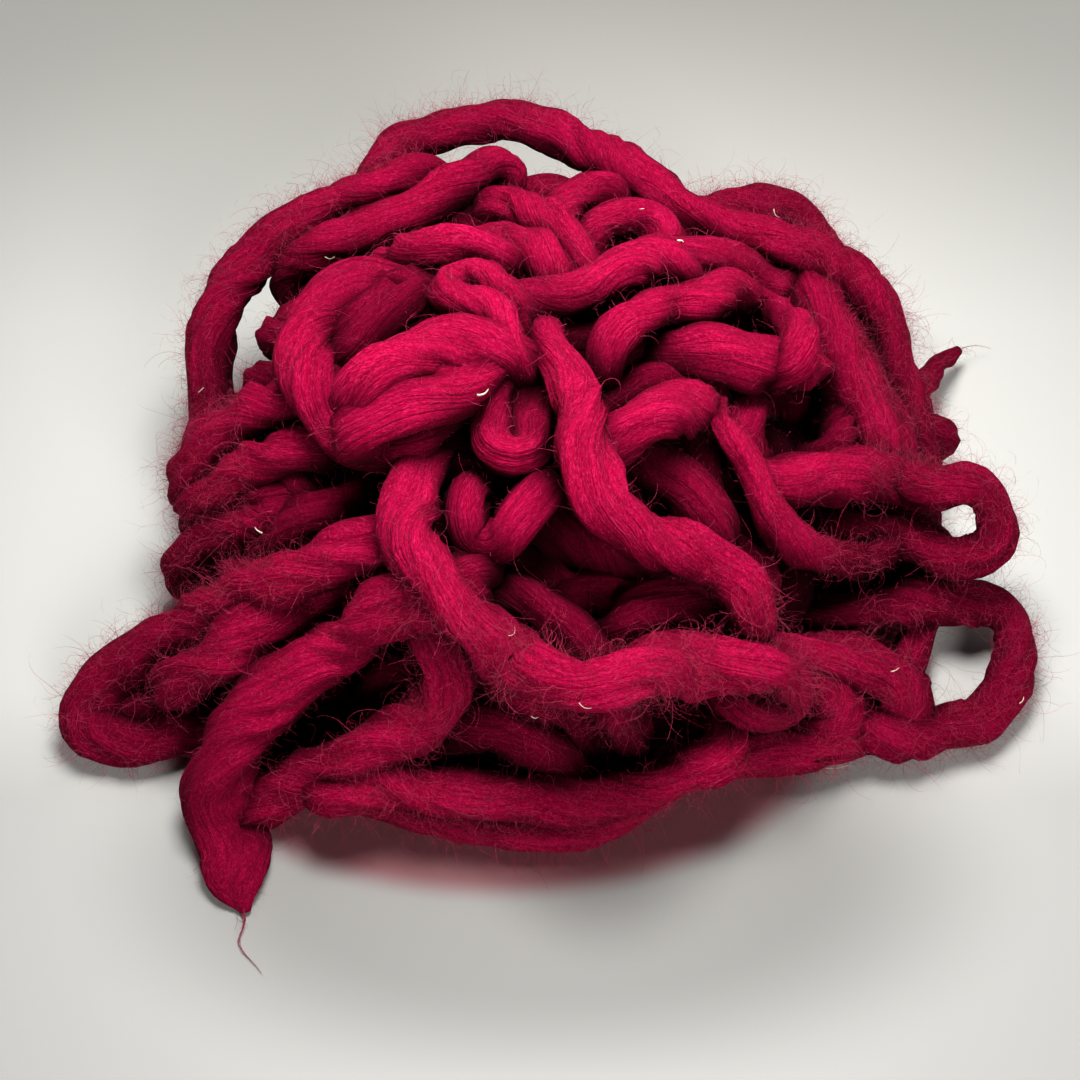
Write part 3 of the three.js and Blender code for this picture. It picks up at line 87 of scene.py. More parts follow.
# ---- the strand's turns ------------------------------------------------------------
# name, where it lies, and its sections: x, y, z and diameter
TURNS = [
    ("inner_1", "shown", [(-14.5, 42.9, 40.9, 8.6), (-16, 44, 44.5, 8.6), (-17.4, 45.2, 48, 8.6), (-18.6, 46.5, 51.6, 8.6), (-19.2, 48.2, 55.2, 8.6), (-17.5, 50.7, 57.7, 8.6), (-14.2, 52.9, 58, 8.7), (-10.6, 54.7, 58.1, 8.7), (-6.7, 55.7, 58, 8.7), (-1.7, 55.8, 58.1, 8.7), (1.6, 53.8, 58.1, 8.7), (4.1, 50.6, 57.6, 8.7), (5.4, 47.7, 55.3, 8.7), (5.5, 45.8, 51.8, 8.7), (5.1, 44.4, 48.1, 8.7), (4.6, 43.1, 44.3, 8.7), (4, 42, 40.5, 8.7)]),
    ("inner_2", "shown", [(-19.5, 37.5, 37.7, 8.9), (-21.5, 38.6, 41, 8.9), (-23.5, 39.7, 44.4, 8.9), (-25.3, 40.7, 47.8, 8.9), (-26.5, 41.6, 51.5, 8.9), (-25.9, 41.9, 55.4, 8.9), (-22.9, 41.5, 58, 8.9), (-19.1, 41.8, 59.3, 8.9), (-15.2, 42.6, 59.5, 8.9), (-10.5, 44.2, 59, 8.9), (-6.6, 44.8, 58.2, 9), (-2.9, 43.4, 57.7, 8.9), (0.2, 41, 57.1, 8.9), (2, 38.8, 54.4, 8.9), (2.4, 37.3, 50.7, 8.9), (2.2, 36.1, 46.8, 8.9), (1.9, 35, 43, 8.9), (1.5, 34.1, 39.1, 8.9)]),
    ("inner_3", "shown", [(-37.1, 19.3, 31.6, 11.2), (-40.4, 18.8, 33.9, 11.2), (-43.6, 18.3, 36.3, 11.2), (-46.7, 17.7, 38.7, 11.2), (-49.7, 17, 41.3, 11.2), (-52.3, 16.1, 44.2, 11.2), (-53.4, 15, 46.7, 11.2), (-52.5, 13, 50, 11.1), (-50.2, 11.1, 52.6, 11), (-47.5, 9.5, 55.1, 10.9), (-44.4, 8.6, 57.4, 10.8), (-41.1, 8.2, 59.6, 10.8), (-37.6, 8, 61.5, 10.7), (-34, 8.3, 63.3, 10.7), (-30.5, 9.5, 64.7, 10.7), (-27.2, 11.5, 65.7, 10.7), (-23.9, 13.7, 65.5, 10.7), (-21.8, 14.9, 63.8, 10.7), (-19.7, 15.8, 60.6, 10.7), (-18.1, 16.4, 56.9, 10.7), (-16.8, 16.8, 53.2, 10.7), (-15.6, 17.1, 49.4, 10.7), (-14.4, 17.4, 45.6, 10.7)]),
    ("inner_4", "shown", [(-10.9, 13.9, 43.6, 8.4), (-12.1, 12.8, 47.2, 8.4), (-13.2, 11.7, 50.9, 8.4), (-14, 10.5, 54.6, 8.4), (-14.1, 9, 58.3, 8.4), (-11.7, 7.2, 60.8, 8.4), (-8, 5.9, 61.2, 8.3), (-4.1, 5.4, 61.4, 8.3), (0.9, 5.7, 61.5, 8.3), (4.9, 6.3, 61.4, 8.3), (8.8, 7.1, 60.9, 8.4), (11.4, 8.4, 58.4, 8.4), (11.5, 9.8, 54.7, 8.4), (10.7, 11, 51, 8.4), (9.7, 12.2, 47.3, 8.4), (8.6, 13.4, 43.7, 8.4)]),
    ("inner_5", "shown", [(-35.4, 10.8, 50.4, 7), (-37.2, 9.5, 53.7, 7), (-39.1, 8.3, 57, 7), (-41.5, 7.2, 60, 7), (-45, 7, 61.5, 7), (-48.6, 8, 60.3, 7.1), (-51.8, 9.5, 58.5, 7.1), (-55.4, 11.8, 56.1, 7.2), (-57.5, 14, 53.6, 7.2), (-56.6, 15.7, 50.3, 7.3), (-53.9, 16.6, 47.5, 7.3), (-51, 17.4, 44.9, 7.3), (-48, 18, 42.4, 7.3)]),
    ("inner_6", "shown", [(-30.8, 6.9, 40.6, 9), (-32.8, 5.2, 43.6, 9), (-34.8, 3.6, 46.6, 9), (-37.1, 2.1, 49.6, 9), (-39.7, 0.8, 52.2, 9), (-43.2, 0.4, 53.8, 9), (-47, 1.5, 53.3, 9.1), (-50.4, 3.1, 52.1, 9.1), (-53.7, 4.8, 50.6, 9.2), (-56.7, 6.7, 48.8, 9.3), (-59.3, 8.8, 46.7, 9.4), (-60.8, 11.1, 44, 9.4), (-59.2, 13, 41, 9.4), (-56.4, 14.2, 38.4, 9.4), (-53.3, 15.2, 36.1, 9.4), (-50.1, 16, 34, 9.4), (-46.9, 16.8, 31.8, 9.4)]),
    ("inner_7", "shown", [(-40.3, 7, 36.1, 8.4), (-43, 5.7, 38.8, 8.4), (-45.7, 4.4, 41.4, 8.4), (-48.4, 2.8, 43.9, 8.4), (-51.1, 0.6, 45.9, 8.4), (-53, -2.8, 46.1, 8.3), (-53.8, -6.6, 45, 8.3), (-53.2, -10.5, 44.3, 8.3), (-51.9, -14.3, 44, 8.2), (-50.4, -18, 43.6, 8.1), (-47.7, -20.3, 42.2, 8.1), (-44.9, -18.8, 39.9, 8.1), (-42.6, -16.3, 37.7, 8.1), (-40.5, -13.6, 35.7, 8.1), (-38.4, -10.8, 33.6, 8.1)]),
    ("inner_8", "shown", [(-26.7, -9.9, 36.4, 9), (-28, -12.6, 39.1, 9), (-29.5, -15.2, 41.7, 9), (-31.1, -17.8, 44.2, 9), (-33.1, -20.4, 46.4, 9), (-36.3, -22.5, 47.3, 9), (-40, -23.3, 46.1, 9), (-43.6, -23.7, 44.5, 9), (-47.1, -24.4, 42.7, 9.1), (-50.3, -24.7, 40.4, 9.1), (-52.9, -24.2, 37.5, 9.2), (-54.5, -23.6, 35.1, 9.3), (-56.4, -22.5, 31.7, 9.4), (-58.2, -21.5, 28.3, 9.5), (-59.9, -20.4, 24.9, 9.6), (-60.3, -18.7, 21.4, 9.6), (-58.7, -16.2, 18.7, 9.6), (-56.2, -13.8, 16.8, 9.6), (-53.5, -11.4, 15.2, 9.6), (-50.7, -9, 13.8, 9.6), (-47.8, -6.6, 12.4, 9.6)]),
    ("inner_9", "shown", [(-41.9, -9.2, 35.7, 7.4), (-43.9, -11.7, 38.2, 7.4), (-46.1, -14.1, 40.5, 7.4), (-48.6, -16.3, 42.7, 7.4), (-52.1, -17.8, 43.3, 7.4), (-56, -16.8, 40.5, 7.4), (-58.8, -15.6, 37.9, 7.5), (-61.6, -14.5, 35.3, 7.6), (-64.5, -13.3, 32.9, 7.6), (-67.6, -12.2, 30.5, 7.7), (-70.6, -11.1, 28.2, 7.8), (-73.5, -10, 25.6, 7.8), (-75.6, -7.9, 21.9, 7.9), (-73.6, -5.8, 19.3, 7.9), (-70.5, -3.9, 17.6, 7.9), (-67.3, -2.1, 16, 7.9), (-64, -0.4, 14.6, 7.9)]),
    ("inner_10", "shown", [(5.6, -1.4, 44.8, 7.4), (5.8, -3.8, 48, 7.4), (6.1, -6.1, 51.2, 7.4), (6.8, -8.2, 54.5, 7.4), (8.7, -8.9, 57.8, 7.4), (11.8, -6.8, 58.8, 7.4), (15, -4.5, 58.8, 7.5), (19.7, -3, 58.2, 7.5), (23.5, -3.2, 57, 7.5), (26.7, -3.1, 54.9, 7.5), (26.7, -1.6, 51.4, 7.5), (25.2, 0.3, 48.2, 7.5), (23.4, 2.1, 45.1, 7.5), (21.5, 4, 42.2, 7.5)]),
    ("inner_11", "shown", [(8.4, -5.6, 42.8, 9.5), (8.8, -7.9, 46, 9.5), (9.2, -10.3, 49.2, 9.5), (9.9, -12.7, 52.3, 9.5), (10.8, -15.4, 55.1, 9.5), (12.5, -18.3, 57, 9.5), (15.3, -21, 56.6, 9.5), (18.3, -23.1, 54.9, 9.5), (21.3, -24.9, 53.1, 9.5), (24.2, -26.7, 51.1, 9.5), (26.6, -28.9, 48.6, 9.5), (28.3, -30, 45.4, 9.6), (27.9, -28, 42, 9.6), (26.6, -25.2, 39.5, 9.6), (25.1, -22.2, 37.3, 9.6), (23.6, -19.1, 35.3, 9.6), (22.1, -16, 33.3, 9.6)]),
    ("inner_12", "shown", [(45.2, 67.1, 3.8, 9.1), (48.4, 69.5, 3.8, 9.1), (51.7, 71.7, 3.8, 9.1), (55.3, 73.6, 3.8, 9.1), (59.1, 74.3, 3.8, 9.1), (62.5, 72.4, 3.8, 9.1), (64.8, 69.1, 3.8, 9), (66.3, 65.4, 3.8, 9), (67.1, 61.5, 4.1, 8.9), (67.3, 57.7, 5.4, 8.8), (67.2, 54.2, 7.2, 8.7), (66.9, 50.7, 9.1, 8.6), (66.5, 47.3, 11.1, 8.5), (65.9, 43.9, 13.2, 8.4), (65.4, 40.6, 15.4, 8.3), (64.7, 37.3, 17.6, 8.2), (64.2, 34.8, 19.2, 8.2), (63.5, 31.5, 21.4, 8.1), (62.8, 28.3, 23.6, 8), (62.1, 25, 25.8, 7.9), (61.4, 21.7, 28, 7.8), (60.6, 18.4, 30.1, 7.7), (59.8, 15.1, 32.2, 7.6), (59.1, 11.7, 34.1, 7.5), (58.3, 8.2, 35.9, 7.5), (57.4, 4.5, 37.3, 7.4), (56.5, 0.7, 38.2, 7.3), (55.2, -3, 38.5, 7.2), (52, -3.6, 36.8, 7.2), (49.1, -1.9, 34.6, 7.2), (46.4, 0.2, 32.5, 7.2), (43.8, 2.3, 30.4, 7.2)]),
    ("inner_13", "shown", [(-3.4, -29.5, 25.7, 8.3), (-3.8, -33.2, 27.3, 8.3), (-4.1, -36.8, 28.9, 8.3), (-4.3, -40.4, 30.6, 8.3), (-3.7, -44.1, 33.8, 8.3), (-1.7, -43.6, 37, 8.3), (1, -41.7, 39.3, 8.3), (4.6, -40.5, 40.4, 8.3), (8.5, -40.2, 40.2, 8.3), (12.2, -40.6, 38.9, 8.4), (15.2, -39.8, 36.6, 8.4), (15.6, -35.9, 33.6, 8.4), (14.8, -32.5, 31.7, 8.4), (13.8, -29.1, 29.9, 8.4), (12.7, -25.7, 28.1, 8.4)]),
    ("inner_14", "shown", [(5.1, -29.8, 23.2, 8.4), (5.2, -33.5, 24.6, 8.4), (5.4, -37.1, 26.2, 8.4), (5.8, -40.7, 27.9, 8.4), (6.3, -43.9, 30.1, 8.4), (7.4, -46.3, 33.1, 8.4), (8.9, -47.4, 36.6, 8.3), (10.9, -47.8, 40, 8.2), (13.9, -47, 42.3, 8.2), (17.5, -45.5, 42.7, 8.2), (20.8, -43.9, 41.2, 8.3), (23.6, -42.8, 38.6, 8.3), (26.1, -42.2, 35.5, 8.4), (27.9, -42.5, 32.1, 8.5), (29.3, -43.1, 28.4, 8.6), (29.5, -41.6, 24.9, 8.6), (28.5, -38.4, 22.7, 8.6), (27.2, -35, 21.1, 8.6), (25.8, -31.6, 19.7, 8.6), (24.4, -28.1, 18.4, 8.6)]),
    ("inner_15", "shown", [(-12.7, -27.3, 27, 8.7), (-13.7, -30.9, 28.6, 8.7), (-14.6, -34.4, 30.3, 8.7), (-15.3, -37.9, 32.1, 8.7), (-15.5, -41.1, 34.4, 8.7), (-14.1, -43.2, 37.3, 8.7), (-11.4, -43.2, 40.3, 8.7), (-8.5, -43.8, 42.9, 8.6), (-5.4, -45.6, 44.5, 8.5), (-2.9, -47.3, 44.5, 8.5), (0.1, -49.6, 43.2, 8.5), (2.9, -52, 41.7, 8.5), (5.7, -54.3, 40.2, 8.4), (8.1, -54.1, 37.5, 8.4), (8.3, -50.9, 35.2, 8.4), (8, -47.4, 33.4, 8.4), (7.5, -43.8, 31.7, 8.4), (6.9, -40.2, 30, 8.4)]),
    ("inner_16", "shown", [(-24.1, -34.5, 3.8, 9.1), (-25.6, -38.3, 3.8, 9.1), (-27, -42, 3.8, 9.1), (-28.3, -45.8, 3.8, 9.1), (-29, -49.8, 3.8, 9.1), (-26.7, -52.7, 3.8, 9.1), (-22.7, -53.2, 3.8, 9), (-18.8, -53.8, 4.2, 8.9), (-14.9, -54.6, 5.1, 8.9), (-12, -55.1, 5.2, 8.9), (-8.1, -55.6, 4.3, 8.9), (-4.1, -55.7, 3.8, 8.9), (-1, -53.4, 3.7, 8.9), (-0.2, -49.5, 3.7, 8.9), (-0.2, -45.5, 3.7, 8.9), (-0.5, -41.5, 3.7, 8.9), (-0.8, -37.4, 3.7, 8.9)]),
    ("inner_17", "shown", [(-20.8, -33.6, 4.5, 10.6), (-22.2, -37.4, 4.6, 10.6), (-23.5, -41.1, 5.4, 10.6), (-24.6, -44.7, 6.8, 10.6), (-25.5, -48.3, 8.3, 10.6), (-25.8, -51.8, 10.2, 10.6), (-24.1, -54.2, 12.8, 10.6), (-20.9, -54.6, 15.1, 10.6), (-17.4, -54.5, 17.2, 10.5), (-13.6, -55, 18.2, 10.5), (-9.8, -55.8, 17.4, 10.5), (-5.5, -57.1, 15.1, 10.5), (-2.5, -58.4, 12.8, 10.6), (0.3, -59.8, 10.4, 10.6), (3, -61, 7.6, 10.6), (5.5, -60.1, 4.9, 10.7), (6.2, -56.2, 4.5, 10.7), (6.1, -52.2, 4.5, 10.7), (5.7, -48.2, 4.5, 10.7), (5.3, -44.2, 4.5, 10.7), (4.8, -40.2, 4.5, 10.7)]),
    ("inner_18", "shown", [(-12.4, -34.9, 19, 7.4), (-13.4, -38.3, 20.8, 7.4), (-14.2, -41.8, 22.5, 7.4), (-14.6, -45.4, 24.2, 7.4), (-13.6, -49.1, 25.4, 7.4), (-11.4, -51.1, 25.5, 7.4), (-7.8, -52.8, 24.9, 7.4), (-4.2, -53.9, 23.5, 7.4), (-0.8, -54.3, 21.4, 7.4), (2.3, -54.4, 19, 7.5), (5.3, -54.6, 16.3, 7.5), (8.2, -54.7, 13.5, 7.6), (10.1, -54, 11.3, 7.6), (10.8, -50.8, 9, 7.6), (10.4, -47.1, 7.4, 7.6), (9.8, -43.4, 6.2, 7.6), (9, -39.6, 5, 7.6)]),
    ("inner_19", "shown", [(6, -45.8, 31.4, 8.3), (6, -49.1, 33.7, 8.3), (6.2, -52.5, 35.9, 8.3), (6.4, -56, 37.9, 8.3), (6.9, -59.7, 39.1, 8.3), (8, -61.2, 37.1, 8.3), (9.1, -60.6, 33.3, 8.4), (9.9, -59.4, 29.6, 8.5), (10.7, -58.2, 25.8, 8.6), (11.6, -57.1, 22, 8.8), (12.6, -56.3, 18.2, 8.9), (13.3, -54.8, 14.6, 8.9), (13.4, -52.7, 12.5, 8.9), (13.1, -49.2, 10.5, 8.9), (12.5, -45.5, 9, 8.9), (11.9, -41.7, 7.8, 8.9), (11.2, -37.9, 6.6, 8.9)]),
    ("inner_20", "shown", [(-31, -30.3, 4.1, 8.9), (-32.7, -33.7, 5.3, 8.9), (-34.4, -37.2, 6.5, 8.9), (-35.9, -40.6, 7.9, 8.9), (-37.2, -43.9, 9.7, 8.9), (-37, -46.7, 13.7, 8.9), (-35.3, -47, 17.3, 8.8), (-33.3, -46.9, 20.7, 8.7), (-31, -46.8, 24, 8.6), (-28.2, -46.7, 26.8, 8.6), (-25, -46.7, 29.2, 8.5), (-21.5, -46.8, 31.1, 8.5), (-17.4, -44.5, 31.7, 8.5), (-16, -41.1, 30.2, 8.5), (-15.3, -37.6, 28.3, 8.5), (-14.9, -34.2, 26.4, 8.5), (-14.5, -30.7, 24.4, 8.5)]),
    ("inner_21", "shown", [(-25.6, -9.7, 37.9, 8.1), (-27.4, -12.3, 40.3, 8.1), (-29.1, -14.8, 42.8, 8.1), (-30.6, -17.4, 45.4, 8.1), (-30.7, -20.4, 49.1, 8.1), (-27.1, -20.3, 50.5, 8.1), (-23.3, -19.9, 51.2, 8.1), (-19.4, -20.8, 51.5, 8.1), (-15.8, -22.3, 51.5, 8), (-12.2, -24, 51.1, 8), (-8.7, -25, 49.8, 8), (-6.6, -22.4, 46.4, 8), (-6.2, -19.5, 43.7, 8), (-6.1, -16.5, 41.1, 8), (-6.1, -13.5, 38.5, 8)]),
    ("inner_22", "shown", [(-50.7, -26.6, 3.7, 8.8), (-52.7, -29.8, 5.1, 8.8), (-54.7, -32.8, 6.7, 8.8), (-56.9, -35.8, 8.4, 8.8), (-59.5, -38.6, 9.6, 8.8), (-62.9, -40.7, 10.1, 8.8), (-66.7, -41.8, 9.4, 8.8), (-70.5, -42.5, 8.5, 8.9), (-74.4, -43.1, 7.8, 8.9), (-77.4, -43.4, 7.4, 8.9), (-81.4, -43.9, 6.9, 8.9), (-85.3, -44.5, 6.3, 8.9), (-88.5, -43.6, 4.8, 8.9), (-86.5, -40.4, 3.8, 8.9), (-83.8, -37.5, 3.7, 8.9), (-80.9, -34.7, 3.7, 8.9), (-78, -31.9, 3.7, 8.9)]),
    ("inner_23", "shown", [(-54.7, -34, 3.9, 9.2), (-57.2, -37.1, 3.9, 9.2), (-59.7, -40.3, 3.9, 9.2), (-62.1, -43.5, 3.9, 9.2), (-64, -46.9, 4.7, 9.2), (-61.5, -48.2, 6, 9.2), (-57.7, -47, 6, 9.2), (-53.9, -45.7, 6.1, 9.2), (-50.2, -44.2, 6.5, 9.3), (-45.6, -42.4, 7.2, 9.3), (-41.7, -41.7, 7.9, 9.3), (-37.8, -41.2, 8.6, 9.3), (-34, -40.2, 9.1, 9.3), (-31.1, -37.6, 8.4, 9.3), (-29.1, -34.4, 7.1, 9.3), (-27.6, -31, 5.6, 9.3), (-26.2, -27.6, 4.3, 9.3), (-24.9, -23.8, 3.9, 9.3)]),
    ("inner_24", "shown", [(23.2, -3.3, 4.2, 10.1), (25.4, -6.2, 5.9, 10.1), (27.8, -9, 7.6, 10.1), (30.2, -11.6, 9.2, 10.1), (32.9, -14.2, 10.7, 10.1), (36.1, -16.2, 11.9, 10.1), (39.9, -17.2, 12, 10.1), (43.8, -16.9, 11.3, 10.1), (47.7, -16.4, 10.4, 10.2), (51.6, -15.9, 9.6, 10.2), (55.5, -15.4, 9, 10.2), (60.4, -14.9, 8.5, 10.2), (64.4, -14.5, 8.2, 10.2), (68.3, -14, 8.1, 10.3), (72.3, -13.4, 8, 10.3), (76.2, -12.8, 8, 10.3), (79.7, -11.4, 7.4, 10.3), (78.1, -8.6, 5.4, 10.3), (74.9, -6.5, 4.4, 10.3), (71.5, -4.5, 4.3, 10.3), (68, -2.6, 4.3, 10.3), (64.5, -0.7, 4.3, 10.3)]),
    ("inner_25", "shown", [(31.8, -24.5, 4.6, 10.8), (33.4, -28.2, 4.6, 10.8), (35.1, -31.8, 4.6, 10.8), (36.9, -35.3, 5, 10.8), (38.9, -38.5, 6.2, 10.8), (41.4, -41.4, 7.4, 10.8), (44.8, -43.4, 8, 10.8), (48.6, -44.3, 7.7, 10.8), (52.6, -44.8, 7.3, 10.8), (56.5, -44.9, 7, 10.8), (60.5, -44.4, 7, 10.9), (64.4, -43.6, 7, 10.9), (68.2, -42.4, 6.9, 10.9), (70.2, -39.5, 5.9, 10.9), (68.7, -36.1, 4.7, 10.9), (66.2, -33, 4.6, 10.9), (63.4, -30.1, 4.6, 10.9), (60.6, -27.3, 4.6, 10.9), (57.8, -24.5, 4.6, 10.9)]),
    ("inner_26", "shown", [(-45.5, -37.7, 4, 9.5), (-47.7, -41, 4, 9.5), (-49.9, -44.4, 4, 9.5), (-52, -47.8, 4, 9.5), (-53.6, -51.4, 4.5, 9.5), (-51.8, -53.4, 5.9, 9.5), (-48, -52.3, 6, 9.5), (-44.2, -51, 6.1, 9.5), (-40.4, -49.7, 6.2, 9.6), (-36.6, -48.6, 6.6, 9.6), (-32.7, -47.6, 6.9, 9.6), (-28.9, -46.7, 7.4, 9.6), (-25, -45.8, 7.8, 9.6), (-21.4, -44.2, 7.9, 9.6), (-19, -41.2, 7, 9.6), (-17.6, -37.7, 5.7, 9.6), (-16.7, -34, 4.5, 9.6), (-15.9, -30.1, 4.1, 9.6), (-15.2, -26.2, 4, 9.6)]),
    ("inner_27", "shown", [(14.9, 43, 32.7, 10.1), (16.3, 44.5, 36.2, 10.1), (17.8, 46, 39.6, 10.1), (19.4, 47.5, 43, 10.1), (21.3, 49, 46.2, 10.1), (24, 50.2, 48.9, 10.1), (27.8, 50.8, 49.9, 10.1), (31.7, 50.6, 49.2, 10.1), (35.6, 50.2, 48.2, 10.2), (39.5, 49.8, 47.3, 10.2), (43.3, 49, 46.3, 10.2), (47.1, 48, 45.3, 10.2), (49.8, 47.2, 44.4, 10.2), (53.4, 45.8, 43.2, 10.2), (56.8, 44.3, 41.8, 10.2), (60.1, 42.6, 40.1, 10.2), (62.9, 40.5, 38.2, 10.2), (65.1, 38.1, 35.9, 10.2), (65.2, 36, 32.7, 10.2), (62.5, 35.3, 29.8, 10.2), (59.2, 35.1, 27.5, 10.2), (55.8, 35.2, 25.4, 10.2), (52.3, 35.4, 23.4, 10.2), (48.8, 35.6, 21.5, 10.2)]),
    ("inner_28", "shown", [(4.2, -32.1, 4.5, 10.6), (4.2, -36.1, 4.5, 10.6), (4.2, -40.1, 4.5, 10.6), (4.4, -44.1, 4.6, 10.6), (4.9, -47.9, 5.6, 10.6), (6.2, -51.3, 7, 10.6), (9.6, -52.5, 7.9, 10.6), (13.4, -51.3, 8, 10.7), (17.1, -49.9, 8.1, 10.7), (21, -48.9, 8.1, 10.7), (24.9, -48.3, 8.1, 10.7), (28.9, -48.1, 8.2, 10.7), (32.8, -48.4, 8.2, 10.7), (36.7, -49.4, 8.1, 10.7), (40.4, -50.8, 8, 10.7), (43.6, -50.1, 6.9, 10.7), (42.8, -46.6, 5.2, 10.7), (41.1, -43.1, 4.5, 10.7), (39.2, -39.6, 4.5, 10.7), (37.2, -36.2, 4.5, 10.7), (35.2, -32.8, 4.5, 10.7)]),
    ("inner_29", "shown", [(-18.3, 57.4, 43.2, 7.5), (-19.2, 59.2, 46.7, 7.5), (-20.3, 61, 50.1, 7.5), (-21.7, 62.6, 53.4, 7.5), (-24.2, 63.3, 56.3, 7.5), (-27.9, 62, 56.7, 7.5), (-31.4, 60.2, 56.2, 7.5), (-34.9, 58.4, 55.6, 7.5), (-38.4, 56.7, 54.8, 7.5), (-42, 55.2, 53.9, 7.5), (-46.4, 53.6, 52.4, 7.5), (-50, 52.4, 51.1, 7.5), (-53.4, 51.1, 49.6, 7.5), (-56.8, 49.7, 48.1, 7.5), (-59.5, 48.1, 45.8, 7.5), (-58.2, 46.8, 42.5, 7.5), (-55.4, 46.2, 39.8, 7.5), (-52.3, 45.8, 37.3, 7.5), (-49.1, 45.4, 35, 7.5)]),
    ("inner_30", "shown", [(28.2, 33.2, 4.9, 11.7), (32.2, 33.7, 5, 11.7), (36.1, 34.3, 5.7, 11.7), (39.6, 34.8, 7.5, 11.7), (43.1, 35.4, 9.4, 11.7), (46.7, 36.2, 11, 11.7), (50.5, 37.2, 11.9, 11.7), (54.3, 38.4, 11.8, 11.7), (58, 39.8, 11.2, 11.8), (61.8, 41.1, 10.6, 11.8), (65.6, 42.2, 9.9, 11.9), (70.5, 43.1, 9, 11.9), (74.4, 43, 8.4, 11.9), (78.3, 42.1, 8.1, 11.9), (82, 40.4, 7.9, 11.9), (82.7, 38.3, 6, 11.9), (78.9, 38, 5, 11.9), (74.8, 38.1, 5, 11.9), (70.8, 38.3, 5, 11.9), (66.8, 38.5, 5, 11.9), (62.8, 38.8, 5, 11.9)]),
    ("inner_31", "shown", [(-0.3, 31.6, 40.4, 8.4), (-0.5, 32.5, 44.4, 8.4), (-0.6, 33.5, 48.3, 8.4), (-0.4, 34.5, 52.1, 8.4), (0.6, 35.8, 55.8, 8.4), (3.5, 37.4, 57.8, 8.4), (7.2, 38.9, 57.7, 8.4), (11, 40.2, 57.3, 8.5), (15.7, 41.8, 56.9, 8.5), (19.6, 42.8, 56.5, 8.5), (23.4, 43.8, 55.9, 8.6), (25.7, 43.9, 53, 8.6), (24.6, 42.9, 49.3, 8.6), (22.9, 41.8, 45.8, 8.6), (20.9, 40.6, 42.5, 8.6), (18.9, 39.5, 39.2, 8.6)]),
    ("inner_32", "shown", [(47.7, 14.7, 3.4, 8), (51.2, 13.4, 4.9, 8), (54.6, 12.2, 6.7, 8), (58.1, 11, 8.4, 8), (61.8, 10, 9.6, 8), (65.7, 9.2, 9.9, 8), (69.7, 8.5, 9.5, 8), (74.6, 7.5, 9, 8), (78.4, 6.4, 8.5, 8), (82.2, 5.2, 7.8, 8), (81.2, 6, 5.2, 8), (77.7, 7.4, 3.7, 8), (74, 8.9, 3.4, 8), (70.3, 10.4, 3.4, 8)]),
    ("inner_33", "shown", [(-22.5, 36.4, 38.7, 7.7), (-24.2, 37.2, 42.2, 7.7), (-26, 38.1, 45.6, 7.7), (-28.2, 38.9, 48.8, 7.7), (-31.1, 39.7, 51.3, 7.7), (-35, 40.3, 51.7, 7.7), (-38.8, 40.6, 50.9, 7.8), (-42.6, 40.8, 49.8, 7.8), (-46.3, 40.9, 48.4, 7.8), (-50, 40.8, 46.8, 7.8), (-52.5, 40.5, 44.1, 7.8), (-50.8, 40, 40.7, 7.8), (-47.8, 39.5, 38, 7.8), (-44.8, 39, 35.6, 7.8), (-41.6, 38.5, 33.2, 7.8)]),
    ("turn_1", "shown", [(18.5, 55.9, 38.9, 6.3), (19.6, 57.9, 42.2, 6.3), (20.9, 59.8, 45.5, 6.3), (23.1, 61.4, 48.5, 6.3), (26.7, 61.6, 49.9, 6.4), (30.6, 60.8, 50, 6.6), (33.6, 60.3, 49.9, 6.9), (37.6, 60.2, 49.9, 7.5), (41.4, 61.3, 49.6, 8.4), (45.1, 62.8, 49.1, 9.1), (48.8, 64.1, 48.1, 9.4), (52.5, 64.4, 46.7, 9.3), (55.8, 63.4, 44.7, 9.2), (58.3, 61.3, 42.5, 9.1), (60.4, 58.9, 40, 9.2), (62.5, 56.6, 37.4, 9.2), (64.4, 54.5, 34.7, 9.2), (65.2, 52.8, 32.3, 9.2), (63.6, 51.2, 29.1, 9.2), (60.6, 50.3, 26.6, 9.2), (57.3, 49.7, 24.4, 9.2), (53.9, 49.1, 22.3, 9.2), (50.5, 48.7, 20.3, 9.2)]),
    ("turn_2", "shown", [(54.6, 23.5, 12.2, 9.7), (57.8, 22.7, 14.5, 9.7), (61.1, 21.8, 16.7, 9.7), (64.4, 20.9, 18.8, 9.7), (67, 20.3, 20.2, 9.7), (70.7, 19.7, 21.6, 9.7), (74.7, 19.3, 22, 9.7), (78.7, 19.3, 21.3, 9.7), (82.6, 19.7, 20.4, 9.8), (84.8, 21.1, 18, 9.8), (81.9, 22.3, 15.5, 9.8), (79.4, 22.9, 14.1, 9.8), (75.8, 23.6, 12.3, 9.8), (72.2, 24.4, 10.6, 9.8), (68.6, 25.1, 9, 9.8)]),
    ("turn_3", "shown", [(69.1, -2.1, 3.4, 8.2), (72.7, -3.9, 3.4, 8.2), (76.2, -5.7, 3.7, 8.2), (79.4, -7.8, 4.9, 8.2), (81.5, -10.8, 6.4, 8.2), (80.8, -14.5, 7, 8.1), (78.9, -18.1, 7.1, 8.1), (77.2, -21.7, 7, 8), (75.5, -25.3, 7, 8), (73.2, -29.7, 7, 7.9), (71.4, -33.3, 7, 7.8), (69.7, -36.9, 7, 7.8), (67.5, -40.1, 6.7, 7.7), (64.2, -39.2, 5.1, 7.7), (61.8, -36.4, 3.7, 7.7), (59.6, -33.1, 3.3, 7.7), (57.4, -29.8, 3.2, 7.7)]),
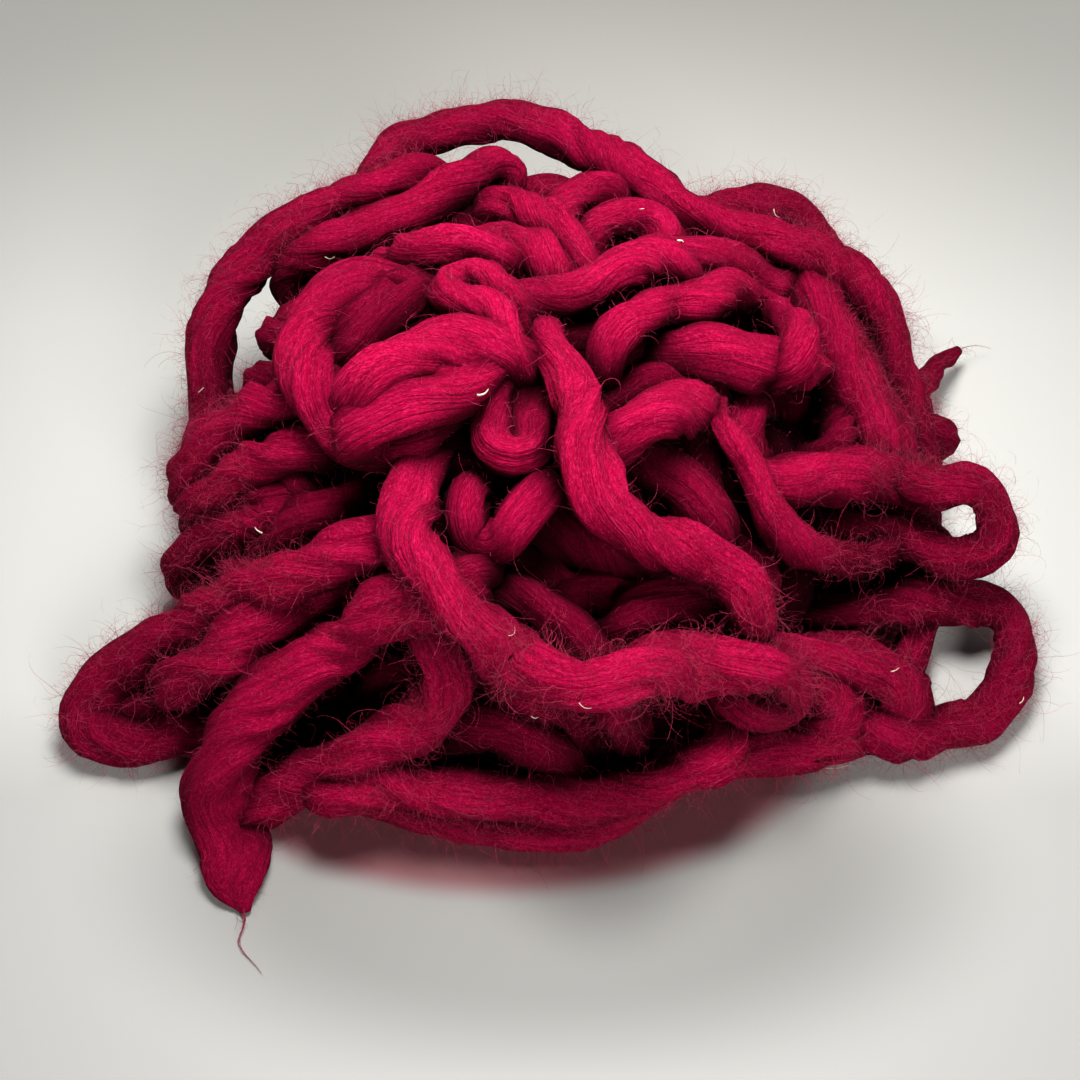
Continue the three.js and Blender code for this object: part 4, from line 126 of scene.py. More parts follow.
    ("turn_4", "shown", [(43.4, -16.3, 9.1, 8.9), (45.4, -19.2, 10.9, 8.9), (47.5, -22.1, 12.7, 8.9), (49.9, -24.9, 14.4, 8.9), (52.7, -27.3, 15.9, 8.9), (56.3, -28.5, 16.9, 8.9), (60.2, -27.5, 16.7, 9), (63.9, -26.1, 16.4, 9), (67.7, -24.9, 15.9, 9), (71.6, -24, 15.5, 9), (75.5, -23.2, 14.9, 9.1), (79.4, -22.6, 14.1, 9.1), (83.2, -22.1, 13.2, 9.1), (87.1, -22.1, 12.2, 9.2), (90.9, -22.9, 11.1, 9.2), (93.7, -25.3, 9.7, 9.2), (94.5, -30, 8.4, 9.1), (93.4, -33.7, 7.8, 9), (91.5, -37.2, 7.2, 9), (89.6, -40.7, 6.5, 8.9), (87.3, -43.9, 6, 8.9), (84.2, -46.4, 5.5, 8.8), (80.4, -47.7, 5.5, 8.8), (76.6, -48.7, 6, 8.8), (72.9, -50.1, 6.7, 8.7), (69.3, -51.4, 7.8, 8.7), (65.5, -52.2, 9, 8.7), (61.8, -51.2, 9, 8.7), (59.2, -48.4, 7.7, 8.7), (57.3, -45.3, 6, 8.7), (55.6, -42, 4.5, 8.7), (53.9, -38.5, 3.6, 8.7)]),
    ("turn_5", "shown", [(11.9, -45.3, 3.6, 8.5), (12.1, -49.3, 3.8, 8.5), (12.3, -53.1, 4.8, 8.5), (12.9, -56.8, 6.3, 8.5), (14.2, -60.2, 7.8, 8.5), (17.7, -61.1, 9, 8.5), (21.4, -59.7, 9.4, 8.5), (25.1, -58.3, 9.8, 8.5), (28.9, -57.2, 10, 8.5), (32.8, -56.5, 10, 8.6), (36.8, -56.1, 9.8, 8.6), (40.8, -55.9, 9.4, 8.6), (44.7, -55.5, 8.9, 8.6), (48.6, -54.7, 8.6, 8.6), (52.4, -53.6, 8.3, 8.6), (56.2, -52.4, 8.1, 8.7), (59.9, -51, 7.9, 8.7), (61.9, -48, 6.9, 8.7), (60.5, -44.6, 5.4, 8.7), (58.4, -41.6, 4, 8.7), (55.9, -38.5, 3.7, 8.7), (53.3, -35.4, 3.7, 8.7)]),
    ("turn_6", "shown", [(32.9, -25.3, 9.5, 9.5), (34.4, -28.6, 11.4, 9.5), (35.9, -31.8, 13.2, 9.5), (37.6, -35, 14.9, 9.5), (39.7, -38.1, 16.4, 9.5), (42.5, -40.8, 17.2, 9.5), (46.1, -42.3, 16.7, 9.6), (49.8, -43.2, 15.6, 10.1), (52.9, -45.1, 13.8, 10.4), (54.2, -48.7, 10.9, 10.7), (52.3, -51.4, 8.9, 10.6), (48.8, -53.1, 7.8, 10.6), (45.2, -52.7, 6.4, 10.6), (42.6, -50, 5, 10.6), (40.7, -46.6, 4.5, 10.6), (39.1, -42.9, 4.5, 10.6), (37.7, -39.2, 4.5, 10.6), (36.3, -35.4, 4.5, 10.6)]),
    ("turn_7", "shown", [(31.1, -26.6, 14, 9.1), (32.4, -29.9, 15.8, 9.1), (33.8, -33.2, 17.5, 9.1), (35.4, -36.4, 19.2, 9.1), (37.5, -39.5, 20.8, 9.1), (40.6, -41.5, 21.9, 9.1), (45.5, -41.4, 21.6, 9.2), (49.4, -40.8, 21, 9.2), (53.3, -40.6, 20.1, 9.2), (57.1, -40.8, 18.8, 9.2), (60.8, -41.4, 17.3, 9.2), (64.1, -42.5, 15.5, 9.4), (66.8, -44.4, 13.3, 9.8), (67.6, -47.1, 10.5, 9.9), (65.5, -49.3, 8.3, 9.5), (61.8, -50.4, 7.1, 8.9), (57.3, -49.6, 5.5, 8.7), (54.7, -46.9, 4.2, 8.7), (52.6, -43.6, 3.7, 8.7), (50.7, -40, 3.7, 8.7), (49, -36.4, 3.7, 8.7)]),
    ("turn_8", "shown", [(-41.6, -53.2, 4.9, 5.4), (-43.4, -56.5, 6.5, 5.4), (-44.9, -59.9, 8, 5.4), (-44, -63.3, 8.8, 5.4), (-40.3, -64.4, 8, 5.8), (-36.4, -65.2, 7.1, 6.1), (-31.6, -66.4, 6.4, 6.4), (-27.7, -67.3, 6.1, 6.5), (-23.8, -68.2, 6, 6.5), (-19.9, -69.1, 5.7, 6.6), (-15.9, -69.9, 5.4, 6.7), (-12, -70.6, 5.1, 6.9), (-8, -71.4, 5, 7), (-4.1, -71.9, 4.9, 7), (0, -71.9, 4.9, 6.9), (3.9, -71.1, 5, 6.6), (7.5, -69.4, 5.4, 6.3), (11.8, -67.2, 6.6, 6.2), (15.4, -65.8, 7.7, 6.4), (17.9, -62.9, 7.8, 6.5), (17.8, -59.1, 6.5, 6.5), (16.9, -55.5, 5, 6.5), (15.9, -52, 3.4, 6.5)]),
    ("turn_9", "shown", [(-39.6, -53, 7.2, 8.6), (-41.3, -56.4, 8.7, 8.6), (-42.9, -59.7, 10.2, 8.6), (-44.3, -63.1, 11.7, 8.6), (-45.1, -66.7, 13.4, 8.6), (-42.4, -68.4, 15, 8.6), (-38.5, -67.6, 15.5, 8.6), (-34.6, -66.9, 15.8, 8.6), (-30.6, -66.7, 15.8, 8.6), (-26.6, -67, 15.4, 8.6), (-22.6, -67.4, 15, 8.6), (-18.6, -67.9, 14.7, 8.6), (-14.7, -68.4, 14.3, 8.6), (-10.7, -68.9, 14.1, 8.6), (-6.7, -69.2, 14, 8.6), (-2.7, -69.5, 14, 8.6), (1.3, -69.6, 14.2, 8.6), (5.3, -69.5, 14.5, 8.6), (9.3, -69.2, 15.1, 8.6), (13.2, -68.6, 15.8, 8.6), (17, -67.9, 16.7, 8.6), (20.8, -66.9, 17.7, 8.5), (24.5, -65.8, 18.9, 8.5), (28.1, -64.3, 19.9, 8.5), (30.2, -61.2, 19.7, 8.5), (29.8, -57.5, 18.3, 8.5), (28.7, -54, 16.6, 8.5), (27.4, -50.6, 14.9, 8.5), (26, -47.3, 13.1, 8.5)]),
    ("turn_10", "shown", [(-9.8, 52.5, 49.2, 7.9), (-10.3, 54.2, 52.8, 7.9), (-10.9, 55.8, 56.5, 7.9), (-11.5, 57.1, 60.2, 7.9), (-12.8, 57.4, 63.9, 7.9), (-14.8, 54.9, 66.2, 8.1), (-16.8, 51.6, 67.1, 8.5), (-19, 48.3, 67.6, 8.8), (-21.7, 45.4, 67.4, 8.8), (-24.8, 43, 66.7, 8.7), (-28.3, 41.4, 65.7, 8.6), (-32, 40.4, 64.4, 8.4), (-35.7, 39.6, 63.1, 8.3), (-39.4, 39.1, 61.7, 8.4), (-43.1, 38.8, 60.1, 8.4), (-46.7, 39, 58.4, 8.5), (-50.1, 39.3, 56.3, 8.4), (-53.3, 39.9, 53.9, 8.3), (-56, 40.5, 51.1, 8.1), (-58.4, 41.1, 47.9, 7.7), (-59.9, 41.6, 44.3, 7.4), (-58.3, 41.5, 40.7, 7.4), (-55.4, 41.2, 38, 7.4), (-52.1, 40.8, 35.7, 7.4), (-48.8, 40.4, 33.4, 7.4)]),
    ("turn_11", "shown", [(-21.3, 56.9, 46, 7), (-22.4, 58.7, 49.4, 7), (-23.7, 60.4, 52.8, 7), (-25.3, 61.6, 56.2, 7), (-27.7, 61.4, 59.3, 7), (-30.6, 59.2, 60.9, 7.2), (-33.9, 57.1, 61.6, 7.4), (-37.6, 55.6, 61.4, 7.6), (-41.3, 54.3, 60.7, 7.8), (-45, 53.2, 59.8, 7.9), (-48.7, 52, 58.7, 8), (-52.2, 50.8, 57.4, 8.1), (-55.6, 49.3, 55.9, 8.2), (-58.9, 47.6, 54.5, 8.4), (-62, 45.5, 53, 8.7), (-64.9, 43.2, 51.5, 8.9), (-67.5, 40.6, 50, 9.1), (-69.7, 37.7, 48.5, 9.3), (-71.5, 34.6, 46.7, 9.5), (-72.9, 31.5, 44.6, 9.6), (-74.1, 28.7, 42.1, 9.6), (-74.9, 26, 39.2, 9.2), (-75.2, 23.1, 36.5, 8.8), (-75.1, 20.2, 33.8, 8.6), (-75, 17.5, 30.9, 8.6), (-75.4, 14.9, 27.9, 9.1), (-76.1, 12.3, 24.9, 9.5), (-76.6, 10, 21.8, 9.6), (-76, 8.3, 18.3, 9.6), (-73.3, 8.5, 15.5, 9.6), (-70, 9.6, 13.5, 9.6), (-66.6, 11, 11.8, 9.6), (-63.2, 12.5, 10.3, 9.6), (-59.9, 14, 8.9, 9.6)]),
    ("turn_12", "shown", [(-40.7, -10.5, 32.2, 8.5), (-42.8, -13.1, 34.5, 8.5), (-44.9, -15.7, 36.8, 8.5), (-47.2, -18.2, 38.9, 8.5), (-50, -20.4, 40.5, 8.5), (-53.7, -21.1, 39.9, 8.6), (-56.7, -20, 37.5, 8.6), (-59.6, -18.8, 34.9, 8.7), (-62.5, -17.7, 32.4, 8.8), (-65.6, -16.8, 30, 8.9), (-68.7, -16, 27.7, 8.9), (-71.8, -15.4, 25.2, 9), (-74.6, -15, 22.4, 9.1), (-77.1, -15, 19.2, 9.1), (-78.6, -15.5, 15.6, 9.2), (-78, -15.8, 11.8, 9.3), (-74.8, -14.5, 9.7, 9.4), (-71.3, -12.7, 9, 9.4), (-67.9, -10.7, 9, 9.4), (-64.4, -8.7, 8.7, 9.5), (-61.1, -6.6, 7.7, 9.5), (-58, -4.6, 6.3, 9.5), (-54.9, -2.6, 4.7, 9.5), (-51.6, -0.4, 4, 9.5), (-48.2, 1.8, 4, 9.5)]),
    ("turn_13", "shown", [(-38.7, -5.7, 41, 8.4), (-40.6, -8, 43.7, 8.4), (-42.5, -10.2, 46.4, 8.4), (-44.7, -12.4, 48.9, 8.4), (-47.5, -14.3, 51, 8.4), (-51.3, -14.7, 50.8, 8.4), (-54.5, -13.7, 48.7, 8.5), (-57.6, -12.7, 46.3, 8.6), (-60.5, -12, 43.7, 8.6), (-63.4, -11.7, 41, 8.7), (-67.1, -11.6, 37.6, 8.8), (-70, -11.6, 34.9, 8.8), (-72.6, -11, 31.9, 8.9), (-74.3, -9.7, 28.6, 9), (-73.3, -7.6, 25.5, 9), (-70.7, -5.6, 23.4, 9), (-67.6, -3.7, 21.6, 9), (-64.4, -1.9, 20.1, 9), (-61.2, -0.1, 18.6, 9)]),
    ("turn_14", "shown", [(-35.9, 1.2, 46.1, 8.4), (-37.7, -0.7, 49.2, 8.4), (-39.5, -2.5, 52.2, 8.4), (-41.6, -4.3, 55.1, 8.4), (-44.4, -5.8, 57.6, 8.4), (-48.2, -6.1, 57.8, 8.4), (-52.6, -4.9, 55.6, 8.5), (-56, -4.1, 53.6, 8.6), (-59.3, -3.7, 51.3, 8.6), (-62.4, -3.7, 48.9, 8.7), (-65.5, -3.8, 46.3, 8.7), (-68.6, -4, 43.6, 8.8), (-71.3, -4.3, 40.8, 8.8), (-73.7, -4.7, 37.6, 8.9), (-75.5, -5, 34, 9), (-76.2, -4.8, 30.1, 9), (-74.3, -3.4, 25.8, 9.1), (-71.5, -1.7, 23.5, 9.1), (-68.3, 0.1, 21.8, 9.1), (-65.1, 1.9, 20.2, 9.1), (-61.9, 3.7, 18.7, 9.1)]),
    ("turn_15", "shown", [(-31.2, 55.1, 32.4, 9), (-33.7, 56.7, 35.1, 9), (-36.1, 58.2, 37.9, 9), (-38.4, 59.7, 40.8, 9), (-40.3, 61.1, 44, 9), (-41.5, 62.1, 47.7, 9), (-41.5, 62.7, 51.6, 9), (-40.8, 63.4, 55.5, 8.9), (-39.5, 65.5, 58.6, 9), (-37.4, 68.3, 60.4, 9.1), (-34.1, 70.2, 61.4, 9.1), (-30.2, 70.5, 62.2, 9.1), (-26.3, 70.2, 63.1, 9), (-22.5, 70.6, 64, 8.7), (-18.8, 71.9, 64.7, 8.4), (-15, 73, 65, 8.2), (-11, 73, 65.1, 8.2), (-7.2, 71.9, 65.1, 8.2), (-3.6, 70, 65, 8.3), (-0.3, 67.9, 64.8, 8.5), (3.1, 65.7, 64.3, 8.9), (6.4, 63.6, 63.8, 9.3), (9.7, 61.5, 63.3, 9.5), (13.1, 59.3, 62.8, 9.6), (16.3, 57.1, 62.3, 9.6), (19.4, 54.6, 61.8, 9.3), (22.2, 51.8, 61.2, 9), (25.2, 49.2, 60.7, 8.7), (28.4, 46.9, 60.1, 8.6), (31.8, 45.1, 59.3, 8.5), (35.5, 43.8, 58.4, 8.5), (39.3, 43, 57.5, 8.6), (43.2, 42.8, 56.7, 8.7), (47.1, 42.7, 55.7, 8.8), (50.9, 42.7, 54.5, 8.8), (54.6, 42.4, 53.2, 8.8), (58.2, 41.5, 51.6, 8.8), (61.5, 40.3, 49.8, 8.9), (64.6, 38.7, 47.8, 8.8), (67.3, 36.8, 45.5, 8.7), (69.6, 34.6, 43.2, 8.6), (71.4, 32, 40.7, 8.4), (72.8, 29.3, 38.2, 8.2), (73.9, 26.5, 35.5, 7.9), (75, 24, 32.6, 7.8), (76.2, 21.9, 29.4, 7.8), (77.5, 20, 26.2, 8), (78.6, 18.2, 22.8, 8.3), (79.7, 16.6, 19.3, 8.4), (80.4, 15.2, 15.7, 8.4), (79, 14.7, 12.1, 8.4), (75.9, 15.5, 9.7, 8.4), (72.4, 16.5, 8, 8.4), (68.9, 17.7, 6.5, 8.4), (65.4, 18.9, 5.2, 8.4)]),
    ("turn_16", "shown", [(-1.9, 27.7, 43.6, 8.2), (-2.1, 27.9, 47.6, 8.2), (-2.3, 28.3, 51.6, 8.2), (-2.4, 28.9, 55.5, 8.2), (-2.2, 30.1, 59.3, 8.2), (-1.5, 32.7, 62.2, 8.2), (-0.4, 36.2, 63.8, 8.3), (0.8, 40, 64.4, 8.3), (2.6, 44.6, 64.7, 8.4), (4.9, 47.8, 64.8, 8.5), (8.2, 49.9, 64, 8.5), (10.5, 50.6, 61, 8.5), (10.5, 49.7, 57.1, 8.5), (9.8, 48.4, 53.4, 8.5), (9, 47, 49.7, 8.5), (8, 45.6, 46.1, 8.5)]),
    ("turn_17", "shown", [(2.5, 25.1, 45.3, 8.6), (2.7, 25, 49.3, 8.6), (3, 25, 53.3, 8.6), (3.4, 25.3, 57.3, 8.6), (4, 26.3, 61.1, 8.6), (5.7, 29.9, 63.9, 8.6), (7.2, 33.6, 64.2, 8.6), (9.2, 37.1, 64.4, 8.7), (12.2, 39.7, 64.5, 8.7), (16, 40.7, 64.1, 8.8), (19.6, 39.6, 62.7, 8.8), (21.9, 37, 60.9, 8.8), (22.6, 33.2, 59.9, 8.7), (22.4, 29.2, 59.7, 8.6), (21.1, 25.3, 57.2, 8.6), (19.5, 24.5, 53.7, 8.6), (18, 24.3, 50, 8.6), (16.4, 24.5, 46.2, 8.6), (14.9, 24.7, 42.5, 8.6)]),
    ("turn_18", "shown", [(-11.2, 38.7, 46.9, 8.7), (-12.3, 39.8, 50.6, 8.7), (-13.4, 40.8, 54.3, 8.7), (-14.2, 41.7, 58.1, 8.7), (-14.6, 42.2, 62.1, 8.7), (-13.1, 41.3, 65.5, 8.7), (-10.1, 39.1, 67.1, 8.7), (-7.1, 36.8, 68.3, 8.6), (-4.3, 34.1, 69.1, 8.5), (-1.7, 31, 69.5, 8.5), (0.9, 26.8, 69.2, 8.4), (2.8, 23.4, 68.3, 8.4), (4.4, 19.9, 67.1, 8.3), (5.8, 16.3, 66, 8.3), (6.6, 13.6, 63.4, 8.3), (6.4, 13.3, 59.4, 8.3), (5.9, 13.8, 55.5, 8.3), (5.4, 14.6, 51.6, 8.3), (4.8, 15.5, 47.8, 8.3)]),
    ("turn_19", "shown", [(-16.3, 17.5, 54, 8.6), (-17.5, 16.6, 57.7, 8.6), (-18.7, 15.8, 61.4, 8.6), (-19.8, 15.1, 65.2, 8.6), (-20.8, 15, 69, 8.6), (-20, 18, 70.4, 8.6), (-18.5, 21.3, 68.9, 8.7), (-16.9, 24.6, 67.2, 8.8), (-14.8, 27.6, 65.7, 8.9), (-11.2, 28.3, 65.8, 8.9), (-8.5, 26, 67.5, 8.8), (-6.3, 23.1, 69.2, 8.7), (-4.1, 20, 70.4, 8.6), (-1.7, 16.9, 70.4, 8.6), (0.1, 15, 67.6, 8.6), (0.5, 15, 63.7, 8.6), (0.5, 15.6, 59.7, 8.6), (0.3, 16.3, 55.8, 8.6), (0.1, 17.2, 51.9, 8.6)]),
    ("turn_20", "shown", [(11.4, 25.5, 48.9, 8), (12.1, 25.5, 52.8, 8), (13, 25.6, 56.8, 8), (14.2, 25.6, 60.6, 8), (16.2, 25.5, 64, 8), (19.8, 25.3, 65.6, 8), (23.8, 25.5, 65.3, 8.1), (27.2, 26.9, 63.8, 8.1), (30, 28.9, 61.8, 8.2), (32.6, 31.1, 59.6, 8.3), (35.1, 33.2, 57.3, 8.4), (37.7, 35, 54.8, 8.3), (40.4, 36.4, 52.2, 8.3), (43.4, 37.4, 49.7, 8.2), (46.7, 37.8, 47.6, 8.2), (50.3, 37.5, 45.9, 8.2), (53.9, 36.4, 44.4, 8.2), (57.3, 34.8, 43, 8.1), (60.4, 32.9, 41.3, 8), (62.9, 30.5, 39.2, 7.9), (65, 27.8, 37.1, 7.8), (66.6, 24.7, 35.3, 7.8), (67.8, 21.2, 33.6, 7.8), (69.3, 18, 31.7, 7.9), (71, 15.4, 29.2, 8.2), (72.6, 13, 26.4, 8.4), (73.9, 11, 23.2, 8.6), (72.7, 10.3, 19.7, 8.7), (69.6, 11.1, 17.3, 8.7), (66.2, 12.4, 15.6, 8.7), (62.8, 13.7, 14, 8.7), (59.3, 15.1, 12.5, 8.7)]),
    ("turn_21", "shown", [(15.9, 7.1, 47.1, 8.5), (17, 5.7, 50.7, 8.5), (18.2, 4.2, 54.2, 8.5), (19.6, 2.8, 57.7, 8.5), (21.7, 1.6, 60.8, 8.5), (25.2, 1.1, 62.4, 8.7), (28.1, 1.2, 62.2, 9.7), (32, 1.1, 61.1, 10.9), (35.6, 1.2, 59.4, 11.1), (39, 2, 57.5, 10.9), (42.1, 3.6, 55.6, 10.6), (44.8, 5.7, 53.6, 10.4), (47, 8.3, 51.5, 10.1), (48.9, 11.1, 49.5, 9.7), (50.6, 14, 47.3, 9.5), (50.9, 16, 45.2, 9.5), (49.1, 17.8, 42.1, 9.5), (46.4, 18.7, 39.4, 9.5), (43.4, 19.4, 36.9, 9.5), (40.2, 19.9, 34.4, 9.5), (37.1, 20.3, 32, 9.5)]),
    ("turn_22", "shown", [(-8.2, 20.9, 56.4, 7), (-8.4, 20.6, 60.4, 7), (-8.8, 20.2, 64.3, 7), (-9.7, 19.7, 68.2, 7), (-11.8, 19.2, 71.5, 7), (-15.2, 18.6, 73.5, 7.1), (-19, 18.3, 74.5, 7.4), (-23, 17.8, 74.4, 7.6), (-26.6, 18, 73, 7.9), (-28.9, 19.9, 70.3, 8.1), (-30.4, 22.4, 67.6, 8.3), (-32.1, 25.5, 64.1, 8.5), (-33.6, 27.9, 61.3, 8.6), (-35.3, 30.2, 58.5, 8.6), (-37.3, 32.2, 55.6, 8.5), (-39.4, 33.8, 52.6, 8.5), (-39.5, 34.7, 48.8, 8.4), (-37.6, 34.6, 45.3, 8.4), (-35.1, 34.1, 42.2, 8.4), (-32.5, 33.5, 39.3, 8.4), (-29.7, 32.9, 36.5, 8.4)]),
    ("turn_23", "shown", [(-19.4, 12, 51.4, 8.5), (-20.5, 10.7, 55, 8.5), (-21.7, 9.5, 58.6, 8.5), (-23.1, 8.4, 62.2, 8.5), (-25, 7.8, 65.6, 8.5), (-27.9, 8.3, 68.3, 8.6), (-31.3, 9.8, 69.6, 9.6), (-35.1, 11, 69.8, 10.4), (-39, 11, 69.6, 10.8), (-42.6, 9.2, 69.5, 11), (-45.2, 6.3, 69.1, 11.1), (-46.9, 2.9, 67.9, 11), (-47.5, -0.9, 67, 10.9), (-47.2, -4.8, 66.4, 10.7), (-46.5, -8.6, 65.4, 10.6), (-45.4, -11.8, 63.4, 10.6), (-43.4, -14.2, 60.9, 10.6), (-40.8, -16.6, 59.2, 10.5), (-38, -19.3, 59.5, 10.3), (-35.5, -22.1, 60.8, 10.1), (-32.6, -24.4, 62.4, 9.8), (-28.9, -24.7, 63.4, 9.3), (-25.6, -22.7, 63.6, 8.9), (-23.3, -19.5, 62.9, 8.8), (-21.3, -16.1, 62.4, 8.7), (-19.1, -12.7, 62.1, 8.6), (-17.2, -9.7, 60.4, 8.6), (-15.9, -7.3, 57.5, 8.6), (-14.9, -5.2, 54.3, 8.6), (-14, -3.3, 50.9, 8.6), (-13.2, -1.5, 47.4, 8.6)]),
    ("turn_24", "shown", [(-9.2, -1.6, 52.1, 8.6), (-9.8, -3.2, 55.8, 8.6), (-10.4, -4.9, 59.4, 8.6), (-11, -6.9, 62.8, 8.6), (-11.6, -9.4, 65.9, 8.6), (-12.4, -14.1, 66.4, 8.6), (-12.6, -17.7, 64.7, 8.6), (-12.3, -21.6, 63.6, 8.5), (-11.3, -25.4, 63.7, 8.5), (-8.3, -27.3, 63.3, 8.4), (-6, -24.3, 62.3, 8.5), (-5.1, -20.4, 62.5, 8.6), (-5.2, -16.5, 63.6, 8.6), (-5.9, -12.7, 64.6, 8.7), (-6.3, -8.1, 63.1, 8.7), (-6.1, -5.5, 60, 8.7), (-5.7, -3.6, 56.5, 8.7), (-5.3, -1.9, 52.8, 8.7), (-4.9, -0.2, 49.2, 8.7)]),
    ("turn_25", "shown", [(-14.3, -20.8, 46, 8.6), (-15.1, -23.4, 48.8, 8.6), (-15.9, -26.1, 51.6, 8.6), (-16.7, -28.9, 54.3, 8.6), (-17.4, -32.1, 56.6, 8.6), (-17, -35.2, 55.2, 8.7), (-14.6, -36.7, 52.6, 8.7), (-11.1, -37.9, 53.6, 8.6), (-8.9, -38.2, 55.6, 8.6), (-6.5, -37, 58.4, 8.5), (-4.6, -33.8, 58.7, 8.5), (-4, -30.6, 56.5, 8.5), (-3.9, -27.7, 53.7, 8.5), (-3.8, -25, 50.8, 8.5), (-3.9, -22.3, 47.9, 8.5)]),
    ("turn_26", "shown", [(-7.3, 2.4, 59.2, 6.3), (-7.7, 0.6, 62.7, 6.3), (-8.1, -1.1, 66.3, 6.3), (-8.6, -1.9, 70.1, 6.3), (-9.3, 0.9, 72.3, 6.6), (-8.5, 4.7, 71.8, 7.2), (-5.2, 6.4, 70.6, 7.7), (-1.4, 7.3, 70.3, 7.8), (2.4, 8.4, 70.6, 7.9), (6, 10.1, 70.9, 7.9), (9.1, 12.6, 71, 8), (11.9, 15.4, 70.8, 8.3), (14.9, 18, 70.3, 8.5), (18.5, 19.6, 70, 8.3), (22.3, 19.6, 69.1, 7.7), (25.4, 19, 66.8, 7.2), (26, 19, 63, 7.1), (24.7, 19.4, 59.2, 7.1), (22.9, 19.9, 55.7, 7.1), (21.1, 20.4, 52.2, 7.1)]),
    ("turn_27", "shown", [(-8.9, -2.2, 56.4, 9), (-9.2, -3.9, 60, 9), (-9.6, -5.6, 63.6, 9), (-10.1, -7.6, 67.1, 9), (-10.9, -9.8, 70.3, 9), (-12.1, -11.9, 72.1, 9), (-14.4, -15.1, 72.7, 9.6), (-17.4, -17.7, 72.2, 10.5), (-20.8, -19.7, 71.9, 10.6), (-24.4, -21.6, 72, 10.5), (-28, -23.3, 72, 10.4), (-31.6, -25, 71.5, 10.4), (-35.1, -26.1, 70, 10.4), (-36.5, -25, 66.6, 10.4), (-35.9, -23.3, 64.2, 10.4), (-34.6, -20.9, 61.2, 10.4), (-33.1, -18.5, 58.4, 10.4), (-31.5, -16.1, 55.6, 10.4), (-29.8, -13.6, 52.9, 10.4)]),
    ("turn_28", "shown", [(-7, -4, 58.4, 9), (-7.1, -6.1, 61.8, 9), (-7.2, -8.2, 65.3, 9), (-7.5, -10.2, 68.8, 9), (-8.4, -12, 72.2, 9), (-10.9, -12.9, 75.2, 9), (-14.6, -12.4, 76.4, 10), (-18.6, -12.7, 76.6, 10.4), (-22.5, -13.9, 76.5, 10.4), (-26, -15.8, 76.5, 10.3), (-29.2, -18.2, 76.5, 10.2), (-32.2, -20.9, 76.1, 10.2), (-34.5, -22.5, 73.9, 10.2), (-34.1, -20.9, 70.3, 10.2), (-32.9, -18.7, 67.1, 10.2), (-31.5, -16.4, 64.1, 10.2), (-30.1, -14, 61.2, 10.2), (-28.6, -11.6, 58.3, 10.2)]),
    ("turn_29", "shown", [(-6.1, 6, 60.9, 6.7), (-6.2, 4.4, 64.6, 6.7), (-6.4, 2.9, 68.3, 6.7), (-7.1, 1.9, 72, 6.7), (-9.4, 3.2, 74.6, 6.7), (-12, 6.2, 74.7, 6.8), (-14.8, 8.9, 74.3, 6.8), (-18.4, 9.9, 73.4, 6.9), (-20.9, 7.1, 73.3, 6.8), (-20.7, 3.4, 74.5, 6.7), (-19.1, 0.2, 76.2, 6.7), (-16.6, -2.6, 77.5, 6.6), (-13.3, -4.6, 77.7, 6.5), (-10.7, -7.6, 77.2, 6.5), (-9.2, -11.1, 76.3, 6.5), (-8.1, -13.3, 73.6, 6.5), (-7.6, -11.8, 69.9, 6.5), (-7.3, -9.6, 66.6, 6.5), (-7.1, -7.3, 63.4, 6.5)]),
    ("turn_30", "shown", [(7, -0.1, 52, 7.4), (7.6, -2.2, 55.3, 7.4), (8.1, -4.2, 58.7, 7.4), (8.7, -5.8, 62.3, 7.4), (9.1, -6.3, 66.2, 7.5), (9.6, -4.7, 69.8, 7.8), (11.5, -1.8, 71.4, 8), (14.1, 1.2, 71.1, 8), (16.4, 4.1, 69.7, 8), (18.8, 6.9, 68.1, 8.1), (21.8, 9.3, 66.8, 8.3), (25.3, 11, 66.3, 8.3), (28.8, 12.9, 66.1, 7.9), (31.4, 15.5, 64.8, 7.4), (33.4, 18.2, 62.7, 7.3), (35.7, 21.4, 59.6, 7.2), (37.5, 23.8, 57, 7.2), (39.8, 25.7, 54.3, 7.3), (42.9, 25.8, 52.1, 7.4), (45.3, 22.8, 52.4, 7.5), (46.2, 19.3, 54.1, 7.5), (46.7, 15.9, 56.1, 7.5), (46.9, 12.4, 58.1, 7.5), (47, 8.9, 60, 7.5), (46.9, 5.1, 61.3, 7.6), (46.3, 1.5, 60.7, 7.7), (44.1, 1.3, 57.5, 7.7), (41.9, 2.7, 54.5, 7.7), (39.7, 4.4, 51.6, 7.7), (37.6, 6.2, 48.8, 7.7)]),
    ("turn_31", "shown", [(3.4, -14.4, 48.4, 9.1), (3.4, -17.2, 51.2, 9.1), (3.4, -19.9, 54.1, 9.1), (3.6, -22.6, 57.1, 9.1), (4.2, -25, 60.2, 9.1), (6.6, -26.6, 64.1, 9.1), (9.8, -25.8, 66.3, 9.1), (13.2, -24.1, 67.6, 9.1), (16.3, -21.8, 67.5, 9.2), (18.9, -19, 66.2, 9.3), (21.5, -16.5, 64.6, 9.4), (24.5, -15, 62.5, 9.4), (25.6, -12.5, 58.5, 9.4), (24.5, -10.3, 55.3, 9.4), (23.1, -8.2, 52.3, 9.4), (21.4, -6.1, 49.3, 9.4), (19.7, -4, 46.4, 9.4)]),
